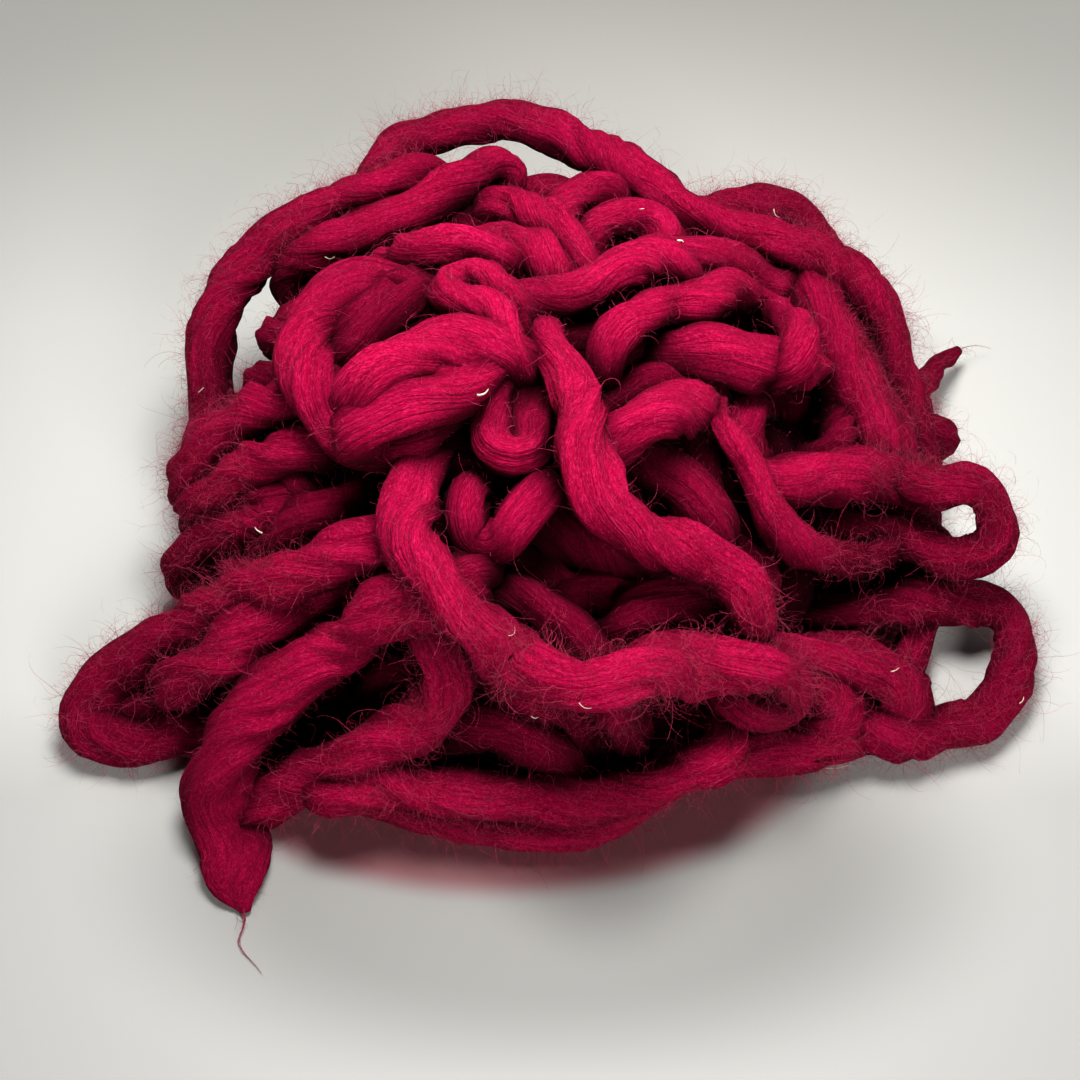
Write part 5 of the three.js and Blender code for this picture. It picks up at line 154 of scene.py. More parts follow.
    ("inner_34", "shown", [(43, -0.3, 15.5, 9.1), (45.6, -2.5, 17.6, 9.1), (48.3, -4.7, 19.6, 9.1), (51.1, -6.8, 21.6, 9.1), (54.3, -8.7, 23.2, 9.1), (58, -9.9, 24, 9.1), (62, -9.9, 23.6, 9.1), (65.9, -9.5, 22.6, 9.2), (69.7, -9, 21.6, 9.2), (72.6, -8.8, 20.7, 9.2), (76.4, -9.2, 19.4, 9.2), (79.7, -10.4, 17.6, 9.2), (79.2, -9.5, 14.5, 9.2), (76.2, -7.6, 12.6, 9.2), (73.1, -5.6, 11, 9.2), (69.9, -3.7, 9.5, 9.2), (66.7, -1.7, 8, 9.2)]),
    ("turn_32", "shown", [(29.7, -10.2, 38.6, 8.4), (31.3, -12.8, 41.1, 8.4), (33, -15.4, 43.7, 8.4), (34.9, -17.9, 46.1, 8.4), (37.5, -20, 48.3, 8.4), (41.3, -20.1, 48.8, 8.6), (44.7, -18.4, 47.6, 9.6), (48, -16.7, 46.1, 10.1), (51.3, -15.1, 44.5, 10.2), (55.4, -13.2, 42.4, 10.2), (58.6, -11.7, 40.5, 10.2), (61.7, -10.2, 38.6, 10.2), (65, -8.9, 36.8, 10.1), (68.9, -8.8, 36, 9.9), (71.9, -10.9, 37.5, 9.6), (74.2, -13.3, 39.6, 9.3), (77.9, -14.1, 40.5, 8.9), (81.7, -14, 39.5, 8.5), (84.9, -15.4, 37.6, 8.1), (86.3, -17.8, 34.9, 8), (86.1, -20.3, 31.8, 8.3), (84, -22, 28.9, 8.7), (80.4, -21.9, 27.4, 8.6), (76.6, -20.6, 27, 8.2), (72.1, -18.4, 27, 7.6), (68.5, -16.8, 27.1, 7.4), (64.7, -15.7, 27.6, 7.3), (60.8, -15.5, 28.7, 7.3), (57, -15.2, 29.5, 7.3), (53.4, -13.6, 28.7, 7.3), (50.6, -11.4, 26.9, 7.3), (48.1, -9.1, 24.8, 7.3), (45.8, -6.7, 22.6, 7.3)]),
    ("turn_33", "shown", [(20.9, 5, 40.2, 6.7), (23.1, 3.7, 43.3, 6.7), (25.2, 2.2, 46.3, 6.7), (27.1, 0.3, 49.3, 6.7), (28.4, -2.5, 51.7, 6.6), (29.1, -6.1, 53.4, 6.5), (29.4, -9.6, 55.2, 6.2), (29.8, -13.2, 57.1, 6.1), (30.4, -16.8, 58.6, 6), (32, -20.2, 58.2, 5.9), (34.3, -22.3, 55.7, 5.9), (36.4, -24.6, 53.2, 5.9), (38.2, -26.7, 50.4, 6.3), (40, -27.7, 47, 6.8), (42, -28.3, 43.5, 7.5), (44.5, -28.6, 40.4, 8), (47.3, -28.1, 37.6, 8.2), (50.1, -27.1, 35, 8.1), (53.1, -26, 32.6, 7.9), (56.3, -24.7, 30.6, 7.6), (59.9, -23.4, 29.4, 7.3), (63.7, -22.1, 29.3, 6.9), (65.2, -19.3, 28.2, 6.8), (62.8, -16.8, 26.4, 6.8), (59.9, -14.6, 24.6, 6.8), (57, -12.5, 22.8, 6.8)]),
    ("turn_34", "shown", [(-24.9, -21.9, 33.8, 9.3), (-26, -25, 36.1, 9.3), (-27.2, -28.1, 38.4, 9.3), (-28.5, -31.1, 40.6, 9.3), (-30.2, -34.2, 42.4, 9.3), (-33.1, -36.8, 43.2, 9.3), (-36.6, -37.5, 41.6, 9.5), (-39.9, -37.4, 39.4, 9.9), (-43.3, -37.4, 37.3, 10.2), (-46.7, -37.8, 35.3, 10.6), (-50.3, -38.9, 33.8, 10.8), (-53.8, -40.5, 32.9, 10.9), (-57.2, -42.5, 32, 11), (-60.4, -44.2, 30.6, 11), (-63.5, -45.5, 28.5, 11.1), (-66.6, -46.6, 26.2, 10.9), (-69.7, -47.3, 23.7, 10.4), (-72.6, -47.6, 21, 9.6), (-74.8, -46.8, 17.8, 9), (-74.6, -44.3, 14.9, 8.9), (-72.7, -41.4, 12.9, 8.9), (-70.4, -38.6, 11.4, 8.9), (-67.9, -35.8, 10, 8.9), (-65.3, -33, 8.8, 8.9)]),
    ("turn_35", "shown", [(-19, -19.8, 38.5, 9.8), (-19.8, -22.9, 41, 9.8), (-20.6, -25.9, 43.5, 9.8), (-21.7, -28.9, 45.9, 9.8), (-23, -31.9, 48.2, 9.8), (-25.1, -34.6, 50.2, 9.8), (-28.4, -36.6, 51.3, 9.8), (-32.2, -37.7, 51.5, 9.8), (-36.1, -38.4, 50.7, 9.8), (-39.7, -38.7, 49.1, 9.8), (-43.2, -38.8, 47.1, 9.9), (-46.6, -38.8, 45, 9.9), (-49.8, -38.5, 42.6, 10), (-52.7, -37.8, 39.9, 10.1), (-55.5, -36.9, 37.2, 10.2), (-58.4, -36.2, 34.5, 10.3), (-61.4, -35.6, 31.9, 10.4), (-64.6, -35.3, 29.5, 10.4), (-67.9, -35.3, 27.2, 10.5), (-71.2, -35.6, 24.9, 10.6), (-74.5, -36, 22.7, 10.6), (-77, -36.4, 21, 10.7), (-80.3, -37.1, 18.8, 10.7), (-83.5, -38.1, 16.6, 10.7), (-86.7, -39.3, 14.5, 10.8), (-89.7, -40.8, 12.4, 10.8), (-92.4, -42.8, 10.2, 10.8), (-94, -45.7, 8, 10.8), (-92.6, -49, 6.5, 10.6), (-89.2, -50.9, 5.9, 10), (-85.2, -51.3, 6, 9.4), (-81.2, -51, 6.2, 9), (-77.3, -50.3, 6.6, 8.9), (-73.4, -49.5, 7.2, 8.7), (-69.6, -48.7, 8, 8.5), (-65.8, -47.6, 8.9, 8.4), (-62.3, -45.7, 8.9, 8.3), (-59.7, -42.9, 7.8, 8.3), (-57.6, -39.9, 6.2, 8.3), (-55.6, -36.7, 4.6, 8.3), (-53.7, -33.4, 3.5, 8.3)]),
    ("turn_36", "shown", [(-19.8, -32.7, 33.1, 9.7), (-21, -35.8, 35.3, 9.7), (-22.1, -39, 37.5, 9.7), (-23.1, -42.2, 39.5, 9.7), (-23.9, -45.7, 41.4, 9.7), (-23.8, -49.5, 42.5, 9.7), (-22.2, -53, 41.8, 9.7), (-20.2, -55.6, 39.6, 9.7), (-19.9, -57.3, 36, 9.7), (-21.1, -58.3, 32.4, 9.8), (-23.2, -59.2, 29.1, 9.9), (-26.1, -60.4, 26.7, 9.9), (-29.5, -61.7, 25, 10), (-33, -62.4, 23.2, 10), (-37.1, -62.7, 20.3, 10.1), (-40.3, -62.9, 18, 10.1), (-43.6, -63.1, 15.8, 10.2), (-46.9, -63.5, 13.5, 10.2), (-50.2, -63.8, 11.3, 10.3), (-53.7, -64.1, 9.4, 10.3), (-57.3, -64.3, 7.7, 10.4), (-61.1, -64, 6.3, 10.4), (-64.1, -62.1, 4.9, 10.4), (-63.7, -58.2, 4.4, 10.4), (-61.9, -54.7, 4.4, 10.4), (-59.7, -51.3, 4.4, 10.4), (-57.5, -48, 4.4, 10.4), (-55.1, -44.8, 4.4, 10.4)]),
    ("turn_37", "shown", [(-2.8, 3.6, 56.3, 7), (-3, 2.3, 60.1, 7), (-3.2, 0.9, 63.8, 7), (-3.3, -0.8, 67.4, 7), (-3.1, -3.6, 70.2, 7.1), (-2.6, -7.3, 71.7, 7.2), (-1.8, -11.1, 72.4, 7.6), (-0.4, -14.8, 72.2, 8.1), (0.9, -17.4, 71.4, 8.5), (2.3, -21.1, 71, 8.7), (3.2, -24.9, 71.5, 8.8), (3.6, -28.9, 71.5, 8.9), (3.9, -32.8, 70.7, 9), (4.5, -36.4, 69.1, 9.4), (5.7, -39.5, 66.9, 9.5), (7.8, -41.6, 64.3, 9.2), (10.7, -43.1, 62, 9), (14.1, -43.9, 60, 8.9), (17.7, -43.9, 58.3, 8.9), (21.4, -43.6, 56.8, 8.9), (25, -43.3, 55.1, 8.9), (28.3, -43.8, 52.9, 8.9), (31, -45.1, 50.3, 8.9), (32.7, -46.4, 48.2, 8.9), (34, -47.8, 44.7, 8.8), (34.5, -47.9, 40.8, 8.7), (34, -46.1, 37.3, 8.7), (32.8, -43.1, 35, 8.7), (31.5, -39.8, 33.2, 8.7), (30.1, -36.4, 31.6, 8.7), (28.6, -33, 30.1, 8.7)]),
    ("turn_38", "shown", [(-14.9, 4.4, 33.5, 9.3), (-16.8, 2.7, 36.6, 9.3), (-18.7, 0.8, 39.6, 9.3), (-20.5, -1.2, 42.5, 9.3), (-22.2, -3.4, 45.4, 9.3), (-23.5, -6, 48.1, 9.3), (-24.1, -9.3, 50.3, 9.3), (-24.4, -12.8, 52.3, 9.3), (-24.7, -16.3, 54.2, 9.3), (-25, -19.8, 56, 9.3), (-25.3, -23.4, 57.7, 9.2), (-25.7, -27.1, 59.2, 9.1), (-26.3, -30.9, 60.4, 9), (-27.1, -34.8, 60.6, 9.1), (-27.8, -38.6, 59.7, 9.3), (-27.4, -42.6, 59.4, 9.4), (-25.9, -46.3, 59.7, 9.3), (-23.9, -49.7, 59.9, 9), (-21.4, -52.7, 59.1, 8.7), (-18.8, -55, 57.1, 8.6), (-16.5, -56.4, 54.2, 8.7), (-14.4, -57, 50.9, 9.2), (-12.2, -57.4, 47.5, 9.8), (-9.4, -58.4, 45, 10.4), (-6.3, -60.6, 44.7, 10.8), (-3.8, -63.3, 46.3, 10.6), (-1.5, -65.8, 48.5, 10.2), (0.4, -67.5, 50, 9.8), (3.7, -69.3, 51.1, 9.2), (7.6, -68.9, 51.6, 9), (10.9, -66.7, 51.3, 9.4), (13.5, -64.3, 49.6, 9.7), (15.7, -62.2, 47, 10), (17.8, -60.2, 44.3, 10.1), (20.3, -58.4, 41.7, 10.3), (23.4, -56.8, 39.7, 10.4), (27.2, -56, 38.9, 10.3), (31.1, -55.9, 39, 10), (35, -55.4, 38.2, 9.6), (37.9, -54.2, 35.8, 9.3), (40, -52.7, 32.7, 9.1), (41.7, -51.5, 29.4, 8.8), (43.3, -50.6, 25.8, 8.5), (44.4, -50.2, 22, 8.1), (43.7, -51.1, 18.4, 7.7), (40.4, -52.9, 18.3, 7.3), (37.4, -54.6, 20.3, 7), (34.7, -55.8, 23, 6.8), (31.5, -55, 24.7, 6.6), (29.4, -51.8, 23.6, 6.5), (27.9, -48.5, 22, 6.4), (26.7, -45.1, 20.3, 6.4), (25.5, -41.6, 18.7, 6.4), (24.4, -38.2, 17, 6.4)]),
    ("under_1", "under", [(-12.9, 50, 10.5, 9.9), (-17.2, 54, 15.7, 9.5), (-17.5, 54.1, 24, 9.2), (-13.6, 52.3, 30.7, 9.3), (-8.1, 50.5, 36.2, 9.7), (-2.5, 47.6, 41.1, 10.2), (1.9, 41.8, 46, 10.5), (2.1, 35, 49.8, 10.5), (-1, 28.1, 52.4, 10.2), (-4.9, 21.5, 54.4, 9.7), (-7.4, 13.3, 53.8, 9.3), (-6.8, 6.8, 49.3, 9.2)]),
    ("under_2", "under", [(18.7, -37.2, 8, 9.5), (26, -40, 6.6, 9.4), (33.5, -39.1, 6.4, 9.2), (38.8, -34.8, 7.7, 9), (43.8, -28.9, 9.5, 8.8), (48.1, -22.2, 10.2, 8.6), (51.7, -15.4, 8.4, 8.5), (54.1, -9.5, 5.6, 8.4), (56, -2, 4.1, 8.4), (56.3, 6, 4, 8.5), (54.8, 13.8, 4.2, 8.6), (52.6, 20.4, 4.6, 8.8), (47.6, 26.2, 5.5, 9), (40.2, 28.8, 6.9, 9.2)]),
    ("under_3", "under", [(-40.6, -8.9, 30, 9.4), (-46.5, -14, 29.2, 9.8), (-50.9, -17.4, 25.5, 9.8), (-52.9, -18.2, 18.2, 9.5), (-50.8, -16.3, 12.1, 8.9), (-45.4, -13, 7.5, 8.6)]),
    ("under_4", "under", [(28.9, -28.4, 23, 10.9), (27.3, -33.8, 28.6, 10.9), (22.5, -37.4, 33.4, 10.6), (16.2, -39, 35.9, 10.2), (8.5, -40, 38, 9.9), (0.7, -39.3, 39.4, 9.6), (-6.7, -36.6, 40.8, 9.5), (-12.6, -33.2, 42.2, 9.6), (-19.1, -28.9, 43.9, 9.9), (-25.7, -24.4, 45.1, 10.3), (-32.2, -19.8, 45, 10.7), (-37, -14.9, 44.1, 10.9), (-39.4, -8.8, 40.2, 10.9), (-38.6, -3.3, 34.5, 10.7)]),
    ("under_5", "under", [(-48.8, 0, 8.6, 8.8), (-54.5, 5.1, 6.6, 9.4), (-57.1, 11.3, 6.6, 9.9), (-56.5, 19, 8.1, 9.9), (-54.3, 26.6, 9.5, 9.4), (-51, 32.7, 9.9, 8.8), (-46, 38.9, 10, 8.7), (-40, 44, 9.3, 9.1), (-33.4, 45.3, 8.4, 9.7), (-25.6, 43.5, 8.1, 9.9)]),
    ("under_6", "under", [(47.6, 8.5, 18.5, 10.1), (51.5, 12.9, 23.8, 9.7), (51.2, 16.1, 29.6, 9.4), (46.5, 16.2, 35.8, 9.3), (41.7, 12.4, 40.8, 9.4), (38.8, 7, 44, 9.7), (36.8, -0.5, 46.1, 10.1), (36, -8.4, 45.9, 10.5), (36.1, -15.6, 42.8, 10.6), (34.9, -19.2, 37.2, 10.6), (32.4, -19.9, 29.6, 10.3)]),
    ("under_7", "under", [(19.8, -37.2, 16.2, 9.6), (16.6, -44.1, 14.3, 9.4), (10.8, -47.7, 9.2, 9.2), (3.9, -48.1, 5.3, 9.1), (-3.9, -48.4, 4.2, 9), (-11.8, -48, 4.1, 9), (-20.6, -46.4, 4.8, 9.1), (-27, -44.4, 8.7, 9.2), (-30, -42.3, 15.6, 9.4), (-29.7, -39.7, 24, 9.6), (-25.8, -38, 30.5, 9.8), (-19, -38.8, 34, 10), (-11.4, -41.1, 34.5, 10.1), (-3.5, -41.6, 31.6, 10.3), (2.2, -37.9, 27.5, 10.3)]),
    ("under_8", "under", [(43.5, 24.3, 16.8, 9.3), (46, 31.8, 16.2, 9.6), (45.3, 38.2, 12.3, 9.7), (41.3, 42, 8.3, 9.6), (35.2, 45.9, 5.1, 9.3), (28.4, 50, 4.8, 8.9), (22.2, 53.8, 7.7, 8.6), (18.4, 56.1, 12.8, 8.4), (15.7, 56.6, 20.3, 8.5), (12, 55.5, 27.2, 8.7), (9.8, 51.8, 33.7, 9.1), (10, 46.3, 39.4, 9.4), (11.2, 40.9, 43.7, 9.6), (12.7, 33.6, 45.3, 9.6), (13.8, 26.1, 43, 9.4)]),
    ("under_9", "under", [(-20.1, 46.4, 9.9, 10.4), (-25.8, 50.1, 14.1, 10.3), (-30.4, 50.4, 19, 9.9), (-33.9, 47, 25.2, 9.5), (-35.2, 42.6, 31.8, 9.1), (-35, 38, 37, 9), (-33.8, 31.8, 41.9, 9.2), (-30.8, 25.7, 46.1, 9.7), (-25.8, 22.3, 49.4, 10.1), (-18.5, 23, 51.8, 10.3), (-12.4, 27.7, 52, 10.3), (-9.3, 32.1, 48.2, 10), (-8.7, 34.5, 40.7, 9.5)]),
    ("under_10", "under", [(6.7, 30.7, 42.6, 10.1), (8.2, 27.6, 49.7, 10.5), (10.1, 20.5, 54, 10.7), (11.9, 12.8, 55, 10.7), (12.7, 4.9, 55.6, 10.5), (12.9, -3.1, 55.6, 10.1), (12.4, -11.9, 54.6, 9.7), (10.5, -19.3, 52.6, 9.4), (9.8, -26.2, 49.1, 9.3), (14.8, -31, 44, 9.5), (21.6, -30.1, 41.4, 9.9), (26.5, -24.4, 42.6, 10.3), (27.4, -17.5, 46.1, 10.6), (24.6, -9.5, 47.7, 10.7), (21.1, -3.1, 44.9, 10.6)]),
    ("under_11", "under", [(17.3, 38.3, 34.3, 9.8), (18.6, 45.9, 33, 9.6), (20.7, 50.8, 27.7, 9.5), (24.2, 51.5, 21.9, 9.3), (30.7, 49.6, 18.5, 9.2), (36.4, 45.6, 21, 9.1), (37.5, 41.8, 27.6, 9.1), (35.2, 38.1, 34.2, 9.1), (32.5, 34, 39.2, 9.1), (28.5, 29.3, 44.3, 9.2), (24.9, 24, 48.9, 9.4), (23.1, 17.2, 52.4, 9.5), (24.8, 9.6, 53.3, 9.7), (27.4, 3.3, 52, 9.9), (28.2, -2.6, 47.2, 10), (26.8, -6.6, 40.5, 10.2)]),
    ("under_12", "under", [(-18, 8.4, 45.9, 9.9), (-24.1, 12.2, 49.4, 9.7), (-31.2, 15.3, 49.5, 9.4), (-37.8, 17.8, 45.8, 9.1), (-43.9, 19, 40.9, 8.8), (-49.1, 17.1, 35.2, 8.7), (-52.9, 13, 29.6, 8.7), (-55.5, 8.1, 23.8, 8.8), (-56.8, 1.8, 19.1, 9.1), (-54.8, -3.9, 14.5, 9.4), (-48.9, -6.2, 9.7, 9.7)]),
    ("under_13", "under", [(48, 14.1, 13.6, 10.4), (54.1, 9.3, 12.3, 10.6), (56.2, 2.2, 13.4, 10.3), (54.5, -4.3, 17.4, 9.8), (52.5, -6.6, 24.4, 9.3), (50.6, -3.6, 31.2, 9.2), (46.9, 2.3, 33.7, 9.5), (42.8, 7.8, 30.1, 10)]),
    ("under_14", "under", [(3, 18.8, 48.1, 9), (3.1, 14, 54.4, 9.2), (2.9, 7.9, 57.1, 9.5), (1.8, 0.1, 56.6, 9.9), (-1.8, -6.7, 55.7, 10.2), (-8.3, -11.1, 54.8, 10.4), (-14.9, -12.9, 53.9, 10.4), (-22.6, -12.6, 52.3, 10.1), (-29, -8.6, 50.8, 9.8), (-33.3, -2.2, 48.9, 9.4), (-35.1, 2.5, 44.5, 9.1), (-35.6, 5.7, 37.3, 9)]),
    ("under_15", "under", [(-18.4, 47, 5.2, 8.4), (-14.8, 53.9, 3.9, 8.5), (-8.7, 58.4, 3.6, 8.9), (-1.5, 59.2, 6, 9.3), (2, 58.8, 12.6, 9.6), (2, 57.2, 21.4, 9.5), (1.7, 54.9, 29, 9.2), (2.3, 49.4, 34.1, 8.8), (3.7, 41.8, 35.1, 8.5)]),
    ("under_16", "under", [(-9.4, -32, 32.6, 10.1), (-15.8, -33.7, 37, 10), (-22.1, -32.6, 39.2, 9.7), (-29.2, -29.1, 39.1, 9.3), (-36.3, -25.9, 37.4, 8.9), (-41.8, -24.7, 33.5, 8.8), (-44.7, -26.9, 26.9, 8.9), (-43, -31.6, 20.8, 9.2), (-39.3, -35.4, 15, 9.6), (-34.4, -35.4, 10.3, 10), (-27.6, -32.7, 7.3, 10.1)]),
    ("under_17", "under", [(-30.4, 41.5, 13.5, 8.9), (-37.9, 42.8, 15.5, 9.2), (-44.6, 40.4, 18.3, 9.1), (-46, 35.5, 25, 8.6), (-43.7, 31.9, 31.7, 8.2), (-40.5, 27.7, 37.7, 8), (-36.4, 23.6, 43.3, 8.3), (-31.2, 20.4, 48.4, 8.8), (-24, 17.8, 52.9, 9.2), (-17.1, 14.6, 52.4, 9.2), (-12.9, 9.5, 48.1, 8.8)]),
    ("under_18", "under", [(-20.2, -35.6, 20.5, 9.6), (-17.1, -41.9, 23.9, 10.1), (-12.3, -47.3, 22.2, 10.5), (-7.5, -49.5, 17.8, 10.6), (-0.1, -50.2, 16.1, 10.5), (7.4, -49.1, 18.3, 10), (12.9, -46.7, 21.7, 9.5), (17.9, -41.2, 23, 9.3), (20.9, -34.2, 21, 9.4)]),
    ("under_19", "under", [(-19.1, 26.7, 41.7, 9.1), (-22.5, 33.8, 42.6, 8.6), (-22, 40.1, 41.1, 8.8), (-16.1, 44.4, 40.5, 9.4), (-9.9, 44.3, 43.1, 9.9), (-4.8, 40.2, 47.3, 9.6), (-4, 33.3, 50.7, 9), (-5.7, 26.9, 49.8, 8.6), (-8.7, 20.9, 45.5, 8.9)]),
    ("under_20", "under", [(20.8, -35.9, 12, 8.5), (28, -38.6, 13.8, 8.4), (35.4, -37.7, 15.9, 8.7), (41.2, -32.7, 17.9, 9.2), (45.3, -26.4, 20.6, 9.6), (47.5, -18.9, 24.9, 9.5), (46.9, -13.5, 30.6, 9.1), (45.4, -8.3, 36.5, 8.6), (42.4, -1.6, 38.3, 8.4), (38.7, 4.5, 35, 8.5)]),
    ("under_21", "under", [(22.3, 45, 12.9, 10.4), (29.8, 47.4, 11.9, 10.3), (36.4, 46.7, 13.2, 10), (41.3, 42.3, 17.4, 9.6), (43.6, 37.1, 23, 9.2), (44.4, 31.9, 27.6, 9), (44.4, 25.7, 32.4, 9.1), (41.1, 22.2, 38.7, 9.4), (36.9, 18.6, 44.3, 9.8), (33, 13.4, 45.5, 10.1), (29, 7.3, 42.3, 10.4)]),
    ("under_22", "under", [(25.1, -26.4, 30.5, 9.1), (21.9, -31.6, 35.6, 9), (15.1, -34.6, 39.9, 9), (7.9, -33.9, 43.4, 9.2), (1.1, -31.4, 46.8, 9.4), (-6.7, -27.5, 49, 9.7), (-13.9, -23.9, 49.1, 10), (-20.8, -19.8, 48.6, 10.2), (-27.5, -15.4, 47.8, 10.3), (-32.9, -9.4, 44.8, 10.3), (-34.1, -3.8, 39.3, 10.1)]),
    ("under_23", "under", [(-14.1, -0.3, 46.9, 8.9), (-20.7, 0.8, 51.1, 9.1), (-26.7, 3.6, 52.5, 9.4), (-32.9, 8, 50.3, 9.8), (-39.3, 10.5, 46.5, 10.1), (-44.6, 9.9, 42.1, 10.3), (-49, 5.7, 37.2, 10.2), (-51.9, 0.5, 32, 9.9), (-53.9, -4.1, 25.8, 9.6), (-52.5, -7.2, 20.1, 9.2), (-47.4, -8.4, 14.2, 9)]),
    ("under_24", "under", [(-50.7, 4.4, 12.7, 8.3), (-55.4, 10.7, 13.5, 8.6), (-55.8, 18.3, 14.6, 9.2), (-53, 25.1, 17.3, 9.5), (-50.9, 27.4, 23, 9.3), (-46.8, 25.2, 29, 8.7), (-40, 21.7, 31.2, 8.3)]),
    ("under_25", "under", [(43.6, -11.7, 18.7, 8.9), (50.6, -12, 15.2, 9.2), (53.1, -6.7, 11.7, 9.6), (48.6, -0.4, 9.8, 8.6)]),
    ("under_26", "under", [(-38.1, -14.7, 31.6, 9.4), (-44.7, -20.1, 29.3, 10.3), (-47.9, -23.4, 22.3, 10.5), (-46.4, -23.6, 13.9, 9.4), (-40.8, -20.4, 8, 10.6)]),
    ("under_27", "under", [(-24.6, 28.4, 37.5, 9.3), (-26.8, 35.8, 38.8, 9.3), (-25.5, 44.2, 37.4, 9.8), (-23.7, 49.4, 32.3, 10.4), (-22.7, 50, 23.9, 10.6), (-19.8, 46.5, 17.5, 10.2)]),
    ("under_28", "under", [(-5.5, 47, 25.5, 9.8), (-8.2, 53.6, 22.6, 9.4), (-9.1, 55.3, 17, 10.6), (-6.9, 51, 11.1, 10)]),
    ("under_29", "under", [(7.4, 49.6, 19.8, 10), (9.2, 54.1, 16.4, 8.7), (10.2, 53.5, 11.3, 10), (9.9, 48.8, 7.7, 8.7)]),
    ("under_30", "under", [(6.6, 6.8, 48, 9.6), (7.4, 1.2, 53.6, 9.2), (7.8, -5.1, 56.3, 8.8), (6.7, -12.8, 55.4, 8.6), (2.4, -18.8, 53.3, 8.7), (-3.1, -18.7, 49.8, 9), (-7.9, -14.9, 44.7, 9.4)]),
    ("under_31", "under", [(-2.1, -40.6, 21.3, 9.2), (2.4, -44.5, 26.4, 10.2), (9.1, -44.9, 29.8, 9.9), (17.4, -41.9, 29.7, 9), (22.8, -37.4, 26.6, 9.6), (24.9, -31.6, 21.7, 10.3)]),
    ("under_32", "under", [(17.6, -21.2, 40.1, 9.7), (16.8, -19.1, 47.5, 9.6), (17.6, -12.8, 51.9, 9), (18.5, -5, 53.2, 8.5), (19.1, 3, 54.2, 8.7), (18.6, 11, 54.7, 9.4), (17.7, 18.8, 54.1, 9.8), (18.1, 24.6, 49.1, 9.4), (17.9, 27.2, 41.5, 8.7)]),
    ("under_33", "under", [(2.9, -40.8, 11.5, 10.4), (-2.7, -46.1, 10.3, 9.6), (-10, -48.4, 10.5, 9.2), (-16.5, -45.2, 12.2, 9.7), (-19.8, -38.5, 14.9, 10.5)]),
    ("under_34", "under", [(36.5, -18.6, 25.9, 8.1), (38.5, -18.4, 33.4, 9.3), (38.1, -13.5, 37, 8.2), (34.8, -6.5, 35.5, 9.1)]),
    ("under_35", "under", [(26.4, 40.7, 24.1, 9.4), (27.6, 42, 31.7, 8.5), (24.7, 38.9, 36.1, 8.6), (21.1, 31.7, 36.1, 9.4)]),
    ("under_36", "under", [(-31.9, -30.2, 17.3, 9.8), (-36.4, -32.2, 23.4, 9.5), (-34.6, -30.5, 29.7, 8.8), (-27.3, -27.8, 29.9, 10)]),
    ("under_37", "under", [(25.2, 13.6, 42.7, 10.3), (29.1, 19.6, 45.8, 9.6), (33.8, 24.2, 45, 9.3), (37.6, 28.2, 39.7, 9.7), (37.5, 30.2, 33.3, 10.4), (34.4, 30.5, 26.1, 10.7)]),
    ("under_38", "under", [(42.5, 20.4, 25.7, 9.3), (48.9, 23.9, 22.7, 9.1), (50.4, 22.7, 16.3, 8.3), (46.2, 17.8, 11.7, 8.1)]),
    ("under_39", "under", [(-2.3, 9.9, 48.9, 8.6), (-4.4, 4.5, 54.2, 9.6), (-8.2, -1.8, 56, 9.5), (-14.1, -6.3, 54.5, 8.6), (-20.4, -5.6, 50.6, 8.9), (-23.9, -2.3, 44.4, 9.8)]),
    ("under_40", "under", [(28, -19.2, 34, 8.9), (33, -25.3, 33.7, 8.9), (38.2, -29.2, 29.8, 9.9), (36, -32, 22.8, 9.8), (29.2, -31.7, 18.9, 8.9)]),
    ("behind_1", "behind", [(-1.5, 57.4, 38.4, 9.3), (-4.3, 64.3, 36, 9.4), (-7.2, 68.4, 29, 9.7), (-8.2, 70, 21.3, 10.1), (-6.3, 72.1, 12.9, 10.5), (-1.9, 73.4, 6.6, 10.7), (5.5, 73.5, 4.4, 10.6), (14.2, 71.6, 5.1, 10.4), (21.5, 68.3, 5.9, 10.1), (27.6, 62.2, 7.3, 9.7), (30.3, 54.9, 9, 9.4)]),
    ("behind_2", "behind", [(-60.9, -8.8, 18.4, 8.6), (-66.8, -7.4, 13.5, 8.6), (-69.9, -2.1, 8.9, 8.7), (-70.7, 4.2, 6.1, 8.9), (-71.5, 12.1, 5.3, 9.1), (-71, 20, 4.7, 9.4), (-68.6, 27.6, 4, 9.6), (-64.5, 34.4, 3.7, 9.8), (-59.8, 40.5, 5.6, 9.9), (-56.1, 45.1, 9.3, 9.9), (-51.9, 50.2, 13.9, 9.7), (-47.6, 55.1, 18.4, 9.5), (-42.4, 59.9, 22.2, 9.3), (-36, 63.9, 24.5, 9), (-28.6, 66.7, 25.2, 8.8), (-22.6, 68.3, 22.5, 8.6), (-17.4, 66.5, 17.1, 8.6), (-13.5, 61.7, 12.1, 8.6)]),
    ("behind_3", "behind", [(14.9, 46.6, 46.9, 8.8), (12.9, 54.1, 48.5, 8.8), (9.7, 61.3, 45.5, 9), (7, 64.7, 38.9, 9.4), (5.9, 67.2, 31.4, 9.8), (7.9, 69.3, 24.2, 10), (14.7, 70.6, 18.8, 10), (22.3, 70.1, 16.8, 9.7), (29.8, 67.4, 16.8, 9.3), (36.3, 62.9, 16.9, 8.9), (40, 55.4, 14.7, 8.7), (40.2, 47.8, 12.1, 8.9)]),
